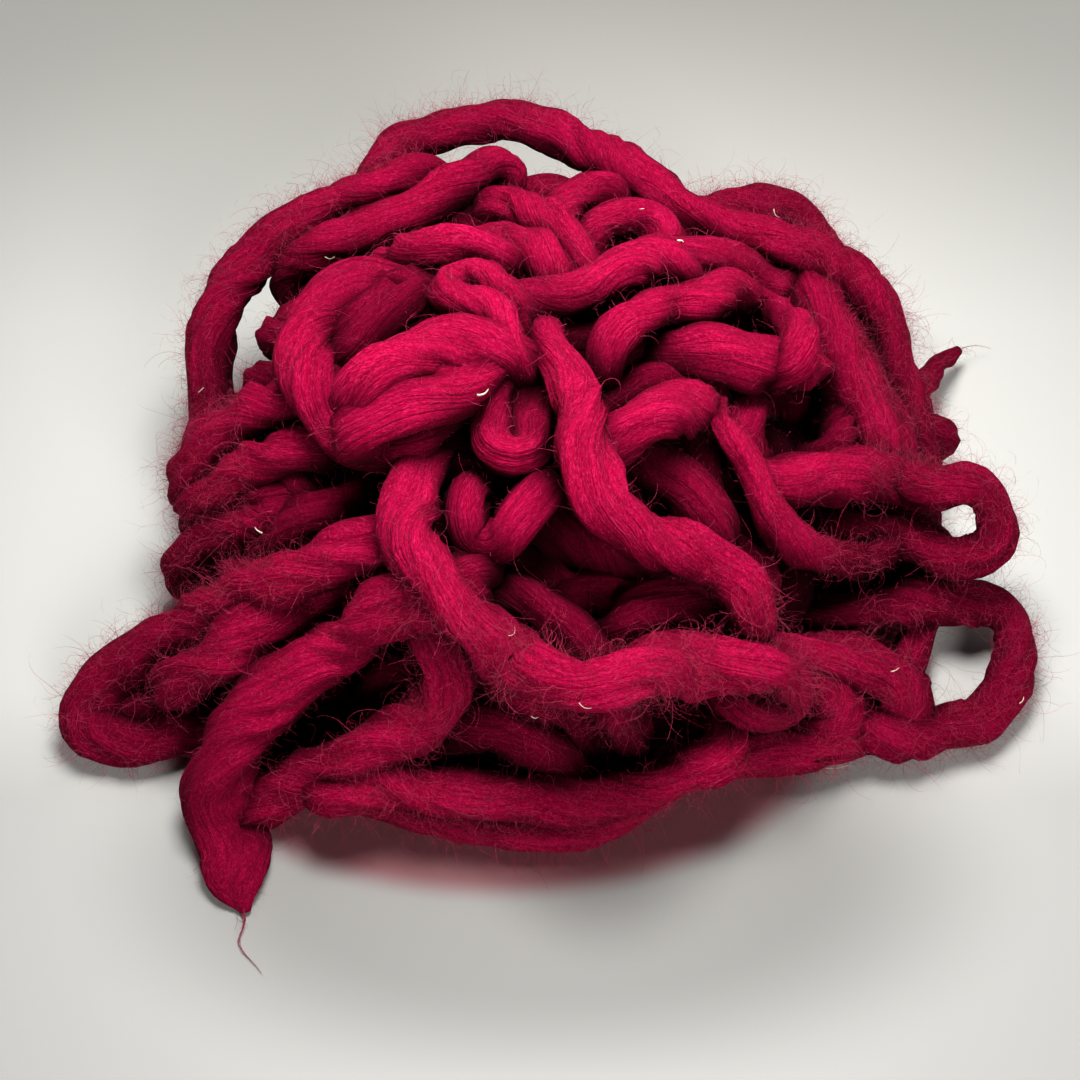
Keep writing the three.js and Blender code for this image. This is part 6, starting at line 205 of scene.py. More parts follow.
    ("behind_4", "behind", [(46.4, 17.3, 43.8, 9.1), (51.9, 23, 43.2, 9.2), (54.7, 29, 39.4, 9.2), (53.7, 35.7, 35.4, 9.2), (50.3, 42.8, 34.4, 9.1), (46, 49.5, 34, 8.9), (41.3, 55.8, 32.5, 8.7), (35.7, 61, 30.4, 8.5), (28.8, 64.8, 28.8, 8.3), (21.4, 66.2, 29.7, 8.1), (16.1, 64.2, 34.9, 8), (14.2, 58.2, 39.1, 8), (14.3, 50.3, 40, 8)]),
    ("behind_5", "behind", [(-35.1, 56, 8.2, 9.1), (-35.2, 62.7, 12.3, 9.5), (-29.4, 68.5, 13.4, 9.4), (-22.7, 70, 9.6, 8.8), (-14.9, 67.4, 6.5, 8.4), (-8.7, 62.4, 6.6, 8.4)]),
    ("behind_6", "behind", [(-30.8, 18.3, 54.5, 8.4), (-38.4, 19.6, 55.8, 8.8), (-45.4, 22.2, 53.6, 9.3), (-51.3, 25, 49, 9.6), (-56.4, 28.5, 44, 9.5), (-60.1, 32.7, 37.1, 9.1), (-60.5, 36.9, 30.4, 8.6), (-58.7, 40.9, 23.8, 8.3), (-56.2, 40, 16.9, 8.4), (-53.7, 34.2, 12.4, 8.8)]),
    ("behind_7", "behind", [(57.4, -0.4, 28.6, 9.5), (63.4, 1.8, 25.8, 8.5), (65, 3.3, 19.2, 9.2), (61, 3.6, 13.5, 9.7)]),
    ("behind_8", "behind", [(-38.6, -41.8, 26.5, 9.3), (-46.3, -42.9, 25.1, 10), (-52.8, -39.3, 23.5, 10.4), (-57.2, -33, 21.2, 9.9), (-60.7, -28.6, 17.1, 9.2), (-63.8, -25.6, 10.4, 9), (-64.7, -19.8, 5.8, 9.6), (-62, -12.4, 5.1, 10.3)]),
    ("behind_9", "behind", [(-20.8, 55.6, 31, 9.8), (-17.4, 62, 34.1, 9.5), (-13.4, 64.4, 39.9, 9), (-12.7, 61.4, 45.7, 8.7), (-16.6, 56.3, 50.1, 8.6), (-23.1, 52.2, 50.4, 8.7), (-30, 50.2, 47.1, 9.1), (-36.4, 49.8, 42.3, 9.5), (-41.6, 51.2, 36.5, 9.8), (-46, 52.3, 31.2, 9.8), (-49.8, 49, 25.8, 9.5), (-50.1, 42.8, 21, 9.1)]),
    ("behind_10", "behind", [(45.5, 24.4, 43.1, 9.3), (49.7, 32.2, 44.2, 9.8), (49.7, 39.3, 41.8, 10.3), (44.1, 45.5, 38.7, 10.6), (37.3, 51.4, 38.5, 10.4), (30.5, 53.5, 40.8, 9.9), (22.5, 49.8, 41.8, 9.4)]),
    ("behind_11", "behind", [(-52.1, 3.2, 40, 9.4), (-59.1, 6.7, 39.1, 8.8), (-64.3, 11.2, 35.4, 9.1), (-67.2, 16.7, 30.4, 9.9), (-69, 22.8, 24.3, 10), (-65.2, 27.7, 20.1, 9.3), (-58, 30.3, 18.2, 8.8)]),
    ("behind_12", "behind", [(59.1, 24.3, 19.6, 9.3), (63.9, 28.7, 15.1, 9.7), (64.1, 33.2, 9.2, 9.7), (59.6, 37.7, 4.6, 9.4), (54.6, 43.6, 4, 8.9), (52.7, 48.2, 9.5, 8.5), (55.7, 46.6, 16.4, 8.5), (55.4, 42, 22.3, 8.9), (51.4, 36.1, 25.7, 9.4)]),
    ("behind_13", "behind", [(17.9, 61.3, 11.4, 8.8), (13.1, 67.5, 11.7, 8.4), (6.5, 71, 13.8, 8.1), (1.8, 71.9, 18.5, 8.2), (-0.6, 71.8, 26, 8.6), (-0.1, 69.8, 33.5, 9.1), (1.2, 66.1, 39.1, 9.3), (1.9, 59, 42.1, 9.1), (1, 51.2, 42.2, 8.6)]),
    ("behind_14", "behind", [(-24.2, 50.4, 36.9, 9.8), (-30.2, 53.8, 38, 9.4), (-36.9, 57.1, 36.3, 9.2), (-42, 57.4, 31.8, 9.4), (-45.9, 55.1, 26.8, 9.8), (-47.1, 49.4, 21.7, 10.3), (-46.2, 43.5, 18.1, 10.6)]),
    ("behind_15", "behind", [(-59.5, -17.3, 13.1, 8.8), (-64.1, -20.5, 18.7, 8.9), (-64.8, -24.3, 24, 9.7), (-60.2, -29.2, 28.1, 10), (-54.3, -31.8, 32.4, 9.6), (-48.2, -31, 35.4, 8.9), (-40.7, -28.5, 36.6, 8.8)]),
    ("behind_16", "behind", [(-27.1, 57.6, 17.6, 9.6), (-34.3, 60.8, 17.9, 8.8), (-41.6, 61.7, 15.4, 9.1), (-46.1, 58.6, 10, 9.9), (-46.4, 52.4, 5.6, 10), (-45.6, 44.6, 5, 9.2)]),
    ("behind_17", "behind", [(62.6, -3.3, 16.4, 9.5), (66.1, -8.9, 15.2, 9), (63.2, -13.2, 16.2, 9.9), (56.7, -14.2, 18.5, 10.1)]),
    ("behind_18", "behind", [(-30, 56.1, 27.9, 9.4), (-26.7, 63.2, 29.2, 9.9), (-20.6, 67.5, 28, 10.2), (-13.6, 67, 30.2, 10.4), (-9.4, 64.4, 36.5, 10.2), (-6.4, 61.2, 44.3, 9.9), (-4.7, 57.2, 51, 9.5), (-2.4, 50.4, 53.6, 9.2), (0.2, 43.1, 52, 9)]),
    ("behind_19", "behind", [(43.1, 48.3, 17, 10.5), (44, 53.9, 22.4, 9.9), (41.3, 58.8, 25.7, 9.2), (34.7, 62.8, 25.2, 9.3), (27.4, 65.6, 23.8, 10.1), (19.8, 67, 24.5, 10.5), (13.9, 64.5, 26.5, 9.9), (9.9, 58.3, 29.1, 9.2)]),
    ("behind_20", "behind", [(-20.7, 19.5, 56.9, 9.5), (-23, 26.4, 60.3, 9.9), (-25.1, 32.1, 59, 8.9), (-28.1, 33.7, 52, 8.9)]),
    ("back_1", "behind", [(7.6, 56.3, 46.7, 8.1), (8.8, 64, 45.6, 8.2), (9.1, 70.6, 41.6, 8.4), (7.6, 74.7, 36.2, 8.7), (5.2, 78.4, 29.6, 8.9), (3.5, 80.7, 22.3, 9.1), (1.7, 81.2, 14.6, 9.2), (-2.7, 80.4, 9.5, 9.2), (-9.8, 78.6, 6.7, 9.1), (-17.5, 76.7, 5.6, 9), (-25.3, 75, 5.6, 8.8), (-32, 73.4, 5.6, 8.5), (-38.1, 68.8, 6.2, 8.3), (-40.8, 61.5, 7.6, 8.1)]),
    ("back_2", "behind", [(-72.4, 5.4, 8.8, 9.5), (-77.1, 11.8, 9.7, 9.4), (-77.8, 18.2, 11.6, 9), (-75, 25.5, 12.8, 8.6), (-72.3, 32.8, 11.3, 8.3), (-69.6, 39.9, 8.6, 8.3), (-66.9, 46.1, 6.8, 8.5), (-62.8, 52.9, 6.8, 8.8), (-57.8, 58.5, 9.4, 9.2), (-52.5, 61.8, 14.1, 9.5), (-47.2, 60.8, 18.3, 9.4), (-41.8, 56.5, 22.3, 9.1)]),
    ("back_3", "behind", [(52.8, 46.8, 7.8, 8.2), (54.2, 54.4, 9.6, 8.1), (53, 61.1, 13.3, 8.1), (48.7, 64.6, 17.5, 8.3), (42.3, 67.5, 21.2, 8.6), (34.9, 69.7, 23.5, 8.9), (27.4, 72.1, 24.8, 9.1), (20.4, 75.5, 23.5, 9.3), (16.4, 78.4, 18.9, 9.3), (15.8, 77, 11.9, 9.2), (18.2, 70.7, 7.8, 8.9)]),
    ("back_4", "behind", [(-56, 43.9, 15.2, 9.7), (-58.2, 49.7, 20.2, 9.4), (-57.5, 54.4, 26.4, 9.1), (-53.1, 57.9, 32, 8.9), (-47.1, 62.3, 34.4, 8.8), (-40.3, 66.4, 34, 8.8), (-33, 69.5, 32.8, 8.9), (-25.6, 71.9, 31.1, 9.1), (-19.1, 74, 29.3, 9.4), (-12.6, 76.6, 25.7, 9.7), (-9.4, 79.2, 19.4, 9.9), (-12.7, 80.3, 12.8, 10), (-20, 79.5, 11.4, 10), (-26.6, 77.1, 14.9, 9.9), (-30.1, 71.4, 18.8, 9.7), (-30.4, 64.1, 22, 9.4)]),
    ("back_5", "behind", [(-0.7, 63.9, 42.4, 8.6), (-6.8, 70.3, 41.9, 9.4), (-14.1, 71, 40.6, 9.7), (-22.3, 67.6, 41.3, 9.1), (-28.1, 62.8, 43.3, 8.4), (-31.7, 54.7, 42.7, 8.7)]),
    ("back_6", "behind", [(61.3, 34.4, 17.7, 9.5), (64.7, 39.3, 23, 9.4), (64.6, 44.1, 29, 9), (59.6, 47.9, 33.5, 8.5), (53.2, 52.2, 34.9, 8.3), (47.2, 57.2, 33.5, 8.4), (41.6, 62.6, 32.7, 8.8), (35.5, 67.5, 34.1, 9.3), (28.8, 70.3, 36.7, 9.5), (22.2, 67.4, 39.1, 9.5), (17.5, 61.1, 40, 9.1)]),
    ("back_7", "behind", [(22.5, 67.2, 14.8, 9.2), (28, 69.4, 13.8, 9.3), (32.4, 67.6, 11.2, 8.3), (33.4, 62.6, 8.1, 8.8)]),
    ("back_8", "behind", [(67.6, -2.3, 27.3, 10.7), (75, -1.7, 22.9, 10.2), (74.8, 2.7, 17.9, 9.4), (68.3, 7.9, 15.2, 10.5)]),
    ("back_9", "behind", [(-10.2, 59.1, 46, 9.2), (-13.9, 58.6, 52.9, 9.2), (-18.9, 54.9, 57.5, 9.1), (-25.6, 51.1, 58.4, 8.8), (-33.4, 49.9, 57.1, 8.6), (-41.9, 48.1, 55.1, 8.3), (-48.2, 48.4, 50.9, 8.1), (-49.5, 52.6, 44.8, 8), (-45, 55, 39.1, 8), (-38.4, 54.5, 34.6, 8.2)]),
    ("back_10", "behind", [(43.5, 49.1, 37.5, 9), (40.7, 55.9, 40.6, 9.7), (34.9, 61.2, 41.5, 9.9), (28.1, 64.7, 43, 9.3), (21.8, 65.8, 47.6, 8.7), (16.4, 61.5, 50.7, 8.8), (12.1, 54.7, 50.3, 9.5)]),
    ("back_11", "behind", [(-69.4, -2.9, 7.4, 9.7), (-73.4, -9.5, 5.4, 9.4), (-74.2, -17.1, 5.2, 9.3), (-72.9, -23.5, 7.4, 9.6), (-71.5, -29.5, 12.2, 10), (-69.1, -34.6, 17.6, 10.4), (-65.1, -39.7, 19.6, 10.7), (-58.2, -42.6, 18.5, 10.7), (-50.3, -42.4, 17.5, 10.4)]),
    ("between_1", "shown", [(54.5, 42.8, 44.2, 9.5), (55.3, 31.5, 47.8, 10.5), (58.7, 23, 43.2, 11), (63.2, 14.3, 37.3, 11.2), (67.6, 6.4, 31.9, 11), (72.1, 4.4, 23.7, 10.5), (76.5, 8.8, 13.1, 9.5)]),
    ("between_2", "shown", [(-26, 21.7, 63.1, 9.5), (-28.8, 12.3, 67.5, 11.5), (-32.6, 6.4, 68.5, 13), (-37.1, 3.1, 67, 13.4), (-41, 1, 62.7, 12.8), (-43.9, 1.3, 55, 11.2), (-46.2, 4.5, 46, 9.5)]),
]
# The free ends, root first: x, y, z, diameter and height over width; each is hidden in
# the heap up to LEAVES (mm along it).
FRONT_END = [
    (-15.3, -32.5, 39.8, 10.2, 1),
    (-15.6, -35.7, 42.1, 10.2, 1),
    (-16, -38.9, 44.5, 10.2, 1),
    (-16.5, -42.1, 46.8, 10.2, 1),
    (-17.3, -45.3, 49, 10.2, 1),
    (-19, -48.4, 50.9, 10.2, 1),
    (-22.3, -50.4, 51.6, 10.2, 1),
    (-26.2, -50.7, 50.8, 10.2, 1),
    (-30.3, -50.1, 48.1, 10.3, 1),
    (-32.8, -49.4, 45.1, 10.4, 1),
    (-35.1, -48.8, 41.9, 10.5, 1),
    (-37.4, -48.3, 38.7, 10.6, 1),
    (-40, -48.3, 35.7, 10.7, 1),
    (-43, -49.1, 33.2, 10.8, 1),
    (-46.2, -50.7, 31.4, 10.8, 1),
    (-49.4, -52.1, 29.4, 10.8, 1),
    (-52.5, -53.3, 27.2, 10.8, 1),
    (-55.5, -54.7, 24.9, 10.9, 1),
    (-58.2, -56.4, 22.6, 11, 0.98),
    (-60.7, -58.4, 20.1, 11.3, 0.95),
    (-62.7, -60.5, 17.4, 11.8, 0.88),
    (-64.6, -63.1, 13.6, 12.6, 0.78),
    (-65.3, -65.4, 10.4, 13.1, 0.67),
    (-65, -68, 7.4, 13.5, 0.56),
    (-63.7, -70.9, 5.1, 13.4, 0.48),
    (-62.1, -74.3, 3.6, 12.8, 0.44),
    (-61.1, -78.1, 2.8, 11.3, 0.44),
    (-60.2, -81.9, 2, 7.9, 0.44),
    (-59.1, -85.6, 0.9, 1.9, 0.44),
]
FRONT_LEAVES = 28.0
BACK_END = [
    (56.7, 28.1, 3.5, 8.3, 1),
    (60.1, 27.3, 5.5, 8.3, 1),
    (63.5, 26.6, 7.4, 8.3, 1),
    (67, 26.1, 9.3, 8.3, 1),
    (70.6, 26.4, 11, 8.3, 1),
    (73.2, 27.6, 11.8, 8.3, 1),
    (76, 30.4, 12, 8.4, 1),
    (78.5, 33.5, 12, 8.4, 1),
    (81, 36.6, 11.9, 8.4, 1),
    (83.4, 39.9, 11.7, 7.8, 1),
    (85.7, 43.1, 11.4, 7, 1),
    (87.9, 46.4, 11.1, 6.1, 1),
    (89.6, 48.8, 10.7, 5.3, 1),
    (91.8, 52.1, 9.9, 4.3, 1),
    (94.2, 55.2, 9.1, 3.5, 1),
    (96.7, 58.2, 8.1, 2.9, 1),
    (99.3, 61, 7, 2, 1),
]
BACK_LEAVES = 10.0
# Where the drawn-out fibres past each tip lie: x, y, z
FRONT_WISP = [
    (-58.8, -88, 0.9),
    (-59.4, -91, 0.6),
    (-58.2, -93.3, 0.5),
    (-55.9, -95.6, 0.4),
    (-54.2, -97.7, 0.4),
]
BACK_WISP = [
    (101.8, 63.3, 6.2),
    (105.9, 65, 5),
    (109.1, 64.9, 4),
]
# The tangle inside that can't be seen: middle and half sizes
INSIDE = ((-0.9, 4.8, 12.0), (55.0, 52.0, 42.5))
# Painted shade where the heap is deepest and darkest: x, y, z, how far it reaches, and how dark
PAINTED_SHADE_SPOTS = [
    (57.9, -23.5, 25.1, 22, 0.72),
    (-36.2, 5.7, 66.6, 20, 0.42),
    (-4.9, 3.1, 69.6, 13, 0.42),
    (-18.7, 47.6, 65.2, 14, 0.36),
    (14.4, -25.5, 57.4, 12, 0.4),
    (-0.2, -30.1, 43, 14, 0.36),
    (41.6, -17.1, 39.6, 14, 0.4),
]
# Bits of straw caught in the wool: x, y, z, length, thickness, heading in degrees, bend
STRAW = [
    (17.2, 38, 67.6, 2.6, 0.32, 10, 0.2),
    (-14, -21.8, 73.7, 2.4, 0.55, 60, 0.5),
    (48.6, 59.2, 50.3, 2.6, 0.35, 300, 0.8),
    (14.2, -8.9, 61.2, 1.6, 0.3, 20, 0.2),
    (65.1, -44, 20.2, 2.2, 0.3, 30, 0.3),
    (92.9, -43.3, 8.7, 1.8, 0.3, 80, 0.2),
    (-75.7, 16.8, 36.7, 1.6, 0.35, 45, 0.2),
    (54.5, -57.4, 6, 5, 0.18, 350, 1.2),
    (-47.8, 34.6, 57.9, 2.2, 0.2, 30, 0.8),
    (23.4, 20.4, 72.9, 1.3, 0.6, 0, 0.3),
    (-4.9, -57.5, 24.9, 1.4, 0.25, 330, 0.4),
    (-58.5, -24, 38.8, 2.2, 0.4, 75, 0.4),
    (-8.8, -57.8, 51.3, 3, 0.14, 40, 0.8),
    (3.5, -74, 52.4, 2.4, 0.16, 320, 0.6),
]


# ---- strands ---------------------------------------------------------------------
def run_through(rows, step):
    """Sections at even steps along a smooth line through the rows."""
    p = np.array(rows, float)
    q = np.vstack([2 * p[0] - p[1], p, 2 * p[-1] - p[-2]])
    q[0, 3:], q[-1, 3:] = p[0, 3:], p[-1, 3:]
    out = []
    t = np.linspace(0, 1, 12, endpoint=False)[:, None]
    for i in range(1, len(q) - 2):
        a, b, c, d = q[i - 1], q[i], q[i + 1], q[i + 2]
        out.append(0.5 * (2 * b + (c - a) * t + (2 * a - 5 * b + 4 * c - d) * t**2 + (3 * b - a - 3 * c + d) * t**3))
    out.append(p[-1:])
    out = np.vstack(out)
    along = np.concatenate([[0], np.cumsum(np.linalg.norm(np.diff(out[:, :3], axis=0), axis=1))])
    n = max(int(round(along[-1] / step)), 4)
    s = np.linspace(0, along[-1], n + 1)
    return np.column_stack([np.interp(s, along, out[:, k]) for k in range(p.shape[1])]), s


def carried(centre):
    """Tangents, and two directions across, carried along without twisting."""
    t = np.gradient(centre, axis=0)
    t /= np.linalg.norm(t, axis=1)[:, None] + 1e-12
    up = np.array([0.0, 0.0, 1.0]) if abs(t[0][2]) < 0.9 else np.array([1.0, 0.0, 0.0])
    a = np.cross(up, t[0])
    across = np.empty_like(t)
    for i, ti in enumerate(t):
        a = a - ti * a.dot(ti)
        a /= np.linalg.norm(a)
        across[i] = a
    return t, across, np.cross(t, across)


def wander(s, rng, waves, share):
    """A smooth uneven curve along s, about share high."""
    y = np.zeros_like(s)
    for w in waves:
        y += np.sin(2 * math.pi * s / (w * rng.uniform(0.8, 1.25)) + rng.uniform(0, 2 * math.pi))
    return share * y / math.sqrt(len(waves))


class Strand:
    """One stretch of yarn: rings of points, and what is needed to grow fuzz on it."""

    def __init__(self, rows, seed, step, sides, tips=(True, True)):
        rng = np.random.default_rng(seed)
        sections, s = run_through(rows, step)
        centre, d = sections[:, :3], sections[:, 3]
        flat = sections[:, 4] if sections.shape[1] > 4 else np.ones(len(d))
        t, a, b = carried(centre)
        centre = centre + a * wander(s, rng, (29, 17), SWAY)[:, None] + b * wander(s, rng, (31, 15), SWAY)[:, None]
        bend = np.gradient(t, axis=0) / (s[1] - s[0])
        for _ in range(3):
            bend[1:-1] = (bend[:-2] + 2 * bend[1:-1] + bend[2:]) / 4
        r = d / 2 * FULL * (1 + wander(s, rng, (70, 43), THICK_THIN) + wander(s, rng, (21, 14, 11), BULGE))
        if tips[0]:
            r = r * np.sqrt(np.clip(1 - (1 - np.clip(s / 4.5, 0, 1)) ** 2 * 0.93, 0.02, 1))
        if tips[1]:
            r = r * np.sqrt(np.clip(1 - (1 - np.clip((s[-1] - s) / 4.5, 0, 1)) ** 2 * 0.93, 0.02, 1))
        turn = rng.uniform(0, 2 * math.pi) + 2 * math.pi * s / PITCH + wander(s, rng, (55, 31), 0.5)
        th = np.linspace(0, 2 * math.pi, sides, endpoint=False)[None, :]
        free = th - turn[:, None]
        shape = 1 + (OVAL * (1 + wander(s, rng, (33, 19), 0.5)))[:, None] * np.cos(2 * free)
        for k in (3, 5, 7):
            shape = shape + (FOLDS * (1 + wander(s, rng, (27, 17), 0.7)))[:, None] * np.cos(k * free + rng.uniform(0, 6))
        out = a[:, None, :] * np.cos(th)[..., None] + b[:, None, :] * np.sin(th)[..., None]
        inward = np.clip((out * bend[:, None, :]).sum(2) * r[:, None] * 2.2, 0, 1)
        ripple = np.sin(2 * math.pi * s / 5.2 + wander(s, rng, (23, 13), 1.2))[:, None]
        shape = shape - CREASE * inward * (0.6 + ripple)
        radius = r[:, None] * shape
        # on the inside of a tight bend the rings would cross, so they are drawn in
        tight = (out * bend[:, None, :]).sum(2)
        radius = np.where(tight > 1e-4, np.minimum(radius, 0.93 / np.maximum(tight, 1e-4)), radius)
        p = out * radius[..., None]
        p[..., 2] *= flat[:, None]
        p = p + centre[:, None, :]
        p[..., 2] = np.maximum(p[..., 2], TABLE_TOP)
        self.p, self.s, self.r, self.centre, self.t = p, s, r, centre, t
        self.out = out
        spread = r[:, None]
        start = rng.uniform(0, 500)
        laid = [free + lean * (s / r.mean())[:, None] for lean in (0.10, -0.32)]
        self.fibre, self.cross = (np.stack([
            np.broadcast_to((s / 6.0)[:, None] + start, free.shape),
            spread * np.cos(angle),
            spread * np.sin(angle),
        ], axis=2) for angle in laid)
        self.tone = rng.uniform(0, 1)


def mesh_of(name, strands, material):
    """One closed-ended joined mesh of several strands, with what the wool's material reads."""
    points, fibre, cross, tone, air, quads, tris = [], [], [], [], [], [], []
    base = 0
    for q in strands:
        n, m = q.p.shape[:2]
        i = np.arange(n - 1)[:, None] * m
        k = np.arange(m)[None, :]
        k2 = (k + 1) % m
        quads.append(np.stack([i + k, i + k2, i + m + k2, i + m + k], axis=2).reshape(-1, 4) + base)
        ends = np.stack([q.p[0].mean(0), q.p[-1].mean(0)])
        k = np.arange(m)
        k2 = (k + 1) % m
        tris.append(np.stack([k2, k, np.full(m, n * m)], axis=1) + base)
        tris.append(np.stack([k + (n - 1) * m, k2 + (n - 1) * m, np.full(m, n * m + 1)], axis=1) + base)
        points += [q.p.reshape(-1, 3), ends]
        fibre += [q.fibre.reshape(-1, 3), np.stack([q.fibre[0].mean(0), q.fibre[-1].mean(0)])]
        cross += [q.cross.reshape(-1, 3), np.stack([q.cross[0].mean(0), q.cross[-1].mean(0)])]
        tone.append(np.full(n * m + 2, q.tone))
        air += [q.air.ravel(), [q.air[0].mean(), q.air[-1].mean()]]
        base += n * m + 2
    return joined(name, np.vstack(points) * MM, np.vstack(quads), np.vstack(tris), material,
                  tone=np.concatenate(tone), air=np.concatenate(air), fibre=np.vstack(fibre), cross=np.vstack(cross))


def joined(name, points, quads, tris, material, tone, air=None, **runs):
    mesh = bpy.data.meshes.new(name)
    corners = np.concatenate([quads.ravel(), tris.ravel()]).astype(np.int32)
    starts = np.concatenate([np.arange(len(quads)) * 4, len(quads) * 4 + np.arange(len(tris)) * 3]).astype(np.int32)
    mesh.vertices.add(len(points))
    mesh.vertices.foreach_set("co", points.astype(np.float32).ravel())
    mesh.loops.add(len(corners))
    mesh.loops.foreach_set("vertex_index", corners)
    mesh.polygons.add(len(starts))
    mesh.polygons.foreach_set("loop_start", starts)
    mesh.update(calc_edges=True)
    mesh.polygons.foreach_set("use_smooth", np.ones(len(starts), bool))
    mesh.attributes.new("tone", "FLOAT", "POINT").data.foreach_set("value", tone.astype(np.float32))
    if air is not None:
        mesh.attributes.new("air", "FLOAT", "POINT").data.foreach_set("value", air.astype(np.float32))
    for key, values in runs.items():
        mesh.attributes.new(key, "FLOAT_VECTOR", "POINT").data.foreach_set("vector", values.astype(np.float32).ravel())
    mesh.materials.append(material)
    mesh.validate()
    piece = bpy.data.objects.new(name, mesh)
    bpy.context.collection.objects.link(piece)
    return piece


# ---- materials -------------------------------------------------------------------
def node(tree, kind, links=(), **values):
    n = tree.nodes.new(kind)
    for key, value in values.items():
        setattr(n, key, value)
    for socket, source in dict(links).items():
        if hasattr(source, "is_output"):
            tree.links.new(source, n.inputs[socket])
        else:
            n.inputs[socket].default_value = source
    return n


PALE_FIBRE_GLINT = ((0.71, 0.020, 0.136), 0.46)      # the fibres on top, pale partly as a painted highlight, and how much they cover


def wool(name, dark, middle, light, sheen, bump):
    """Soft matte wool: fine crossing fibres along the strand, in colour and in relief, darkened by the painted shade
    it reads and along its furrows.
    """
    m = bpy.data.materials.new(name)
    m.use_nodes = True
    tree = m.node_tree
    shader = tree.nodes["Principled BSDF"]

    def math_(kind, *values):
        return node(tree, "ShaderNodeMath", dict(enumerate(values)), operation=kind).outputs[0]

    def noise(at, scale, detail, distortion):
        return node(tree, "ShaderNodeTexNoise", {"Vector": at, "Scale": scale, "Detail": detail, "Roughness": 0.6, "Distortion": distortion}).outputs[0]

    def threads(at, scale):
        """Thin lines where the noise crosses its middle."""
        n = noise(at, scale, 1.0, 0.7)
        return math_("POWER", math_("SUBTRACT", 1.0, math_("ABSOLUTE", math_("MULTIPLY_ADD", n, 3.2, -1.6))), 3.0)

    run = node(tree, "ShaderNodeAttribute", attribute_name="fibre").outputs["Vector"]
    cross = node(tree, "ShaderNodeAttribute", attribute_name="cross").outputs["Vector"]
    hue = node(tree, "ShaderNodeAttribute", attribute_name="tone").outputs["Fac"]
    place = node(tree, "ShaderNodeNewGeometry").outputs["Position"]
    fine = noise(run, 4.2, 2.0, 1.1)
    broad = noise(run, 0.7, 1.0, 0.0)
    cloud = noise(place, 70.0, 1.0, 0.0)
    speck = noise(place, 2600.0, 1.0, 0.0)

    def dashes(at, scale):
        """Short pale fibres, a hair wide, that lie on top of the others; their pale colour is partly a painted
        highlight.
        """
        at = node(tree, "ShaderNodeVectorMath", {0: at, 1: (1.7, 1.0, 1.0)}, operation="MULTIPLY").outputs[0]
        n = noise(at, scale, 1.0, 1.2)
        return node(tree, "ShaderNodeMapRange", {"Value": n, "From Min": 0.53, "From Max": 0.72, "To Min": 0.0, "To Max": 1.0}, interpolation_type="SMOOTHSTEP").outputs[0]

    # pale fibres on top, partly a painted highlight
    pale = math_("MAXIMUM", dashes(run, 4.6), dashes(cross, 5.3))
    long_run = node(tree, "ShaderNodeVectorMath", {0: run, 1: (0.40, 1.0, 1.0)}, operation="MULTIPLY").outputs[0]
    furrow = math_("MAXIMUM", threads(long_run, 0.52), 0.0)
    c = math_("MULTIPLY", fine, 0.34)
    c = math_("MULTIPLY_ADD", broad, 0.22, c)
    c = math_("MULTIPLY_ADD", cloud, 0.18, c)
    c = math_("MULTIPLY_ADD", speck, 0.24, c)
    c = math_("MULTIPLY_ADD", hue, 0.05, c)
    c = math_("ADD", c, 0.035)
    ramp = node(tree, "ShaderNodeValToRGB", {"Fac": c})
    ramp.color_ramp.elements[0].position = 0.42
    ramp.color_ramp.elements[0].color = (*dark, 1)
    ramp.color_ramp.elements[1].position = 0.78
    ramp.color_ramp.elements[1].color = (*light, 1)
    ramp.color_ramp.elements.new(0.59).color = (*middle, 1)
    # painted shade: the colour is darkened by the painted shade each place was given
    painted_shade_in = node(tree, "ShaderNodeAttribute", attribute_name="air").outputs["Fac"]
    lit = node(tree, "ShaderNodeMix", {0: math_("MULTIPLY", pale, PALE_FIBRE_GLINT[1]), 6: ramp.outputs[0], 7: (*PALE_FIBRE_GLINT[0], 1)}, data_type="RGBA").outputs[2]
    # painted shade along the furrows: the colour is darker there, beside their relief
    shade = node(tree, "ShaderNodeVectorMath", {0: lit, "Scale": math_("MULTIPLY", painted_shade_in, math_("MULTIPLY_ADD", furrow, -0.28, 1.07))}, operation="SCALE").outputs[0]
    tree.links.new(shade, shader.inputs["Base Color"])
    high = math_("MULTIPLY_ADD", furrow, -1.1, math_("MULTIPLY_ADD", broad, 0.8, fine))
    relief = node(tree, "ShaderNodeBump", {"Strength": bump, "Distance": 0.0006, "Height": high}).outputs[0]
    tree.links.new(relief, shader.inputs["Normal"])
    shader.inputs["Roughness"].default_value = 0.92
    shader.inputs["Specular IOR Level"].default_value = 0.015
    shader.inputs["Sheen Weight"].default_value = sheen
    shader.inputs["Sheen Roughness"].default_value = 0.5
    shader.inputs["Sheen Tint"].default_value = (1.0, 0.16, 0.36, 1)
    return m


def hair(name, dark, light):
    m = bpy.data.materials.new(name)
    m.use_nodes = True
    tree = m.node_tree
    shader = tree.nodes["Principled BSDF"]
    hue = node(tree, "ShaderNodeAttribute", attribute_name="tone").outputs["Fac"]
    ramp = node(tree, "ShaderNodeValToRGB", {"Fac": hue})
    ramp.color_ramp.elements[0].color = (*dark, 1)
    ramp.color_ramp.elements[1].color = (*light, 1)
    tree.links.new(ramp.outputs[0], shader.inputs["Base Color"])
    shader.inputs["Roughness"].default_value = 0.7
    shader.inputs["Specular IOR Level"].default_value = 0.25
    return m


def plain(name, colour, roughness):
    m = bpy.data.materials.new(name)
    m.use_nodes = True
    shader = m.node_tree.nodes["Principled BSDF"]
    shader.inputs["Base Color"].default_value = (*colour, 1)
    shader.inputs["Roughness"].default_value = roughness
    shader.inputs["Specular IOR Level"].default_value = 0.3
    return m


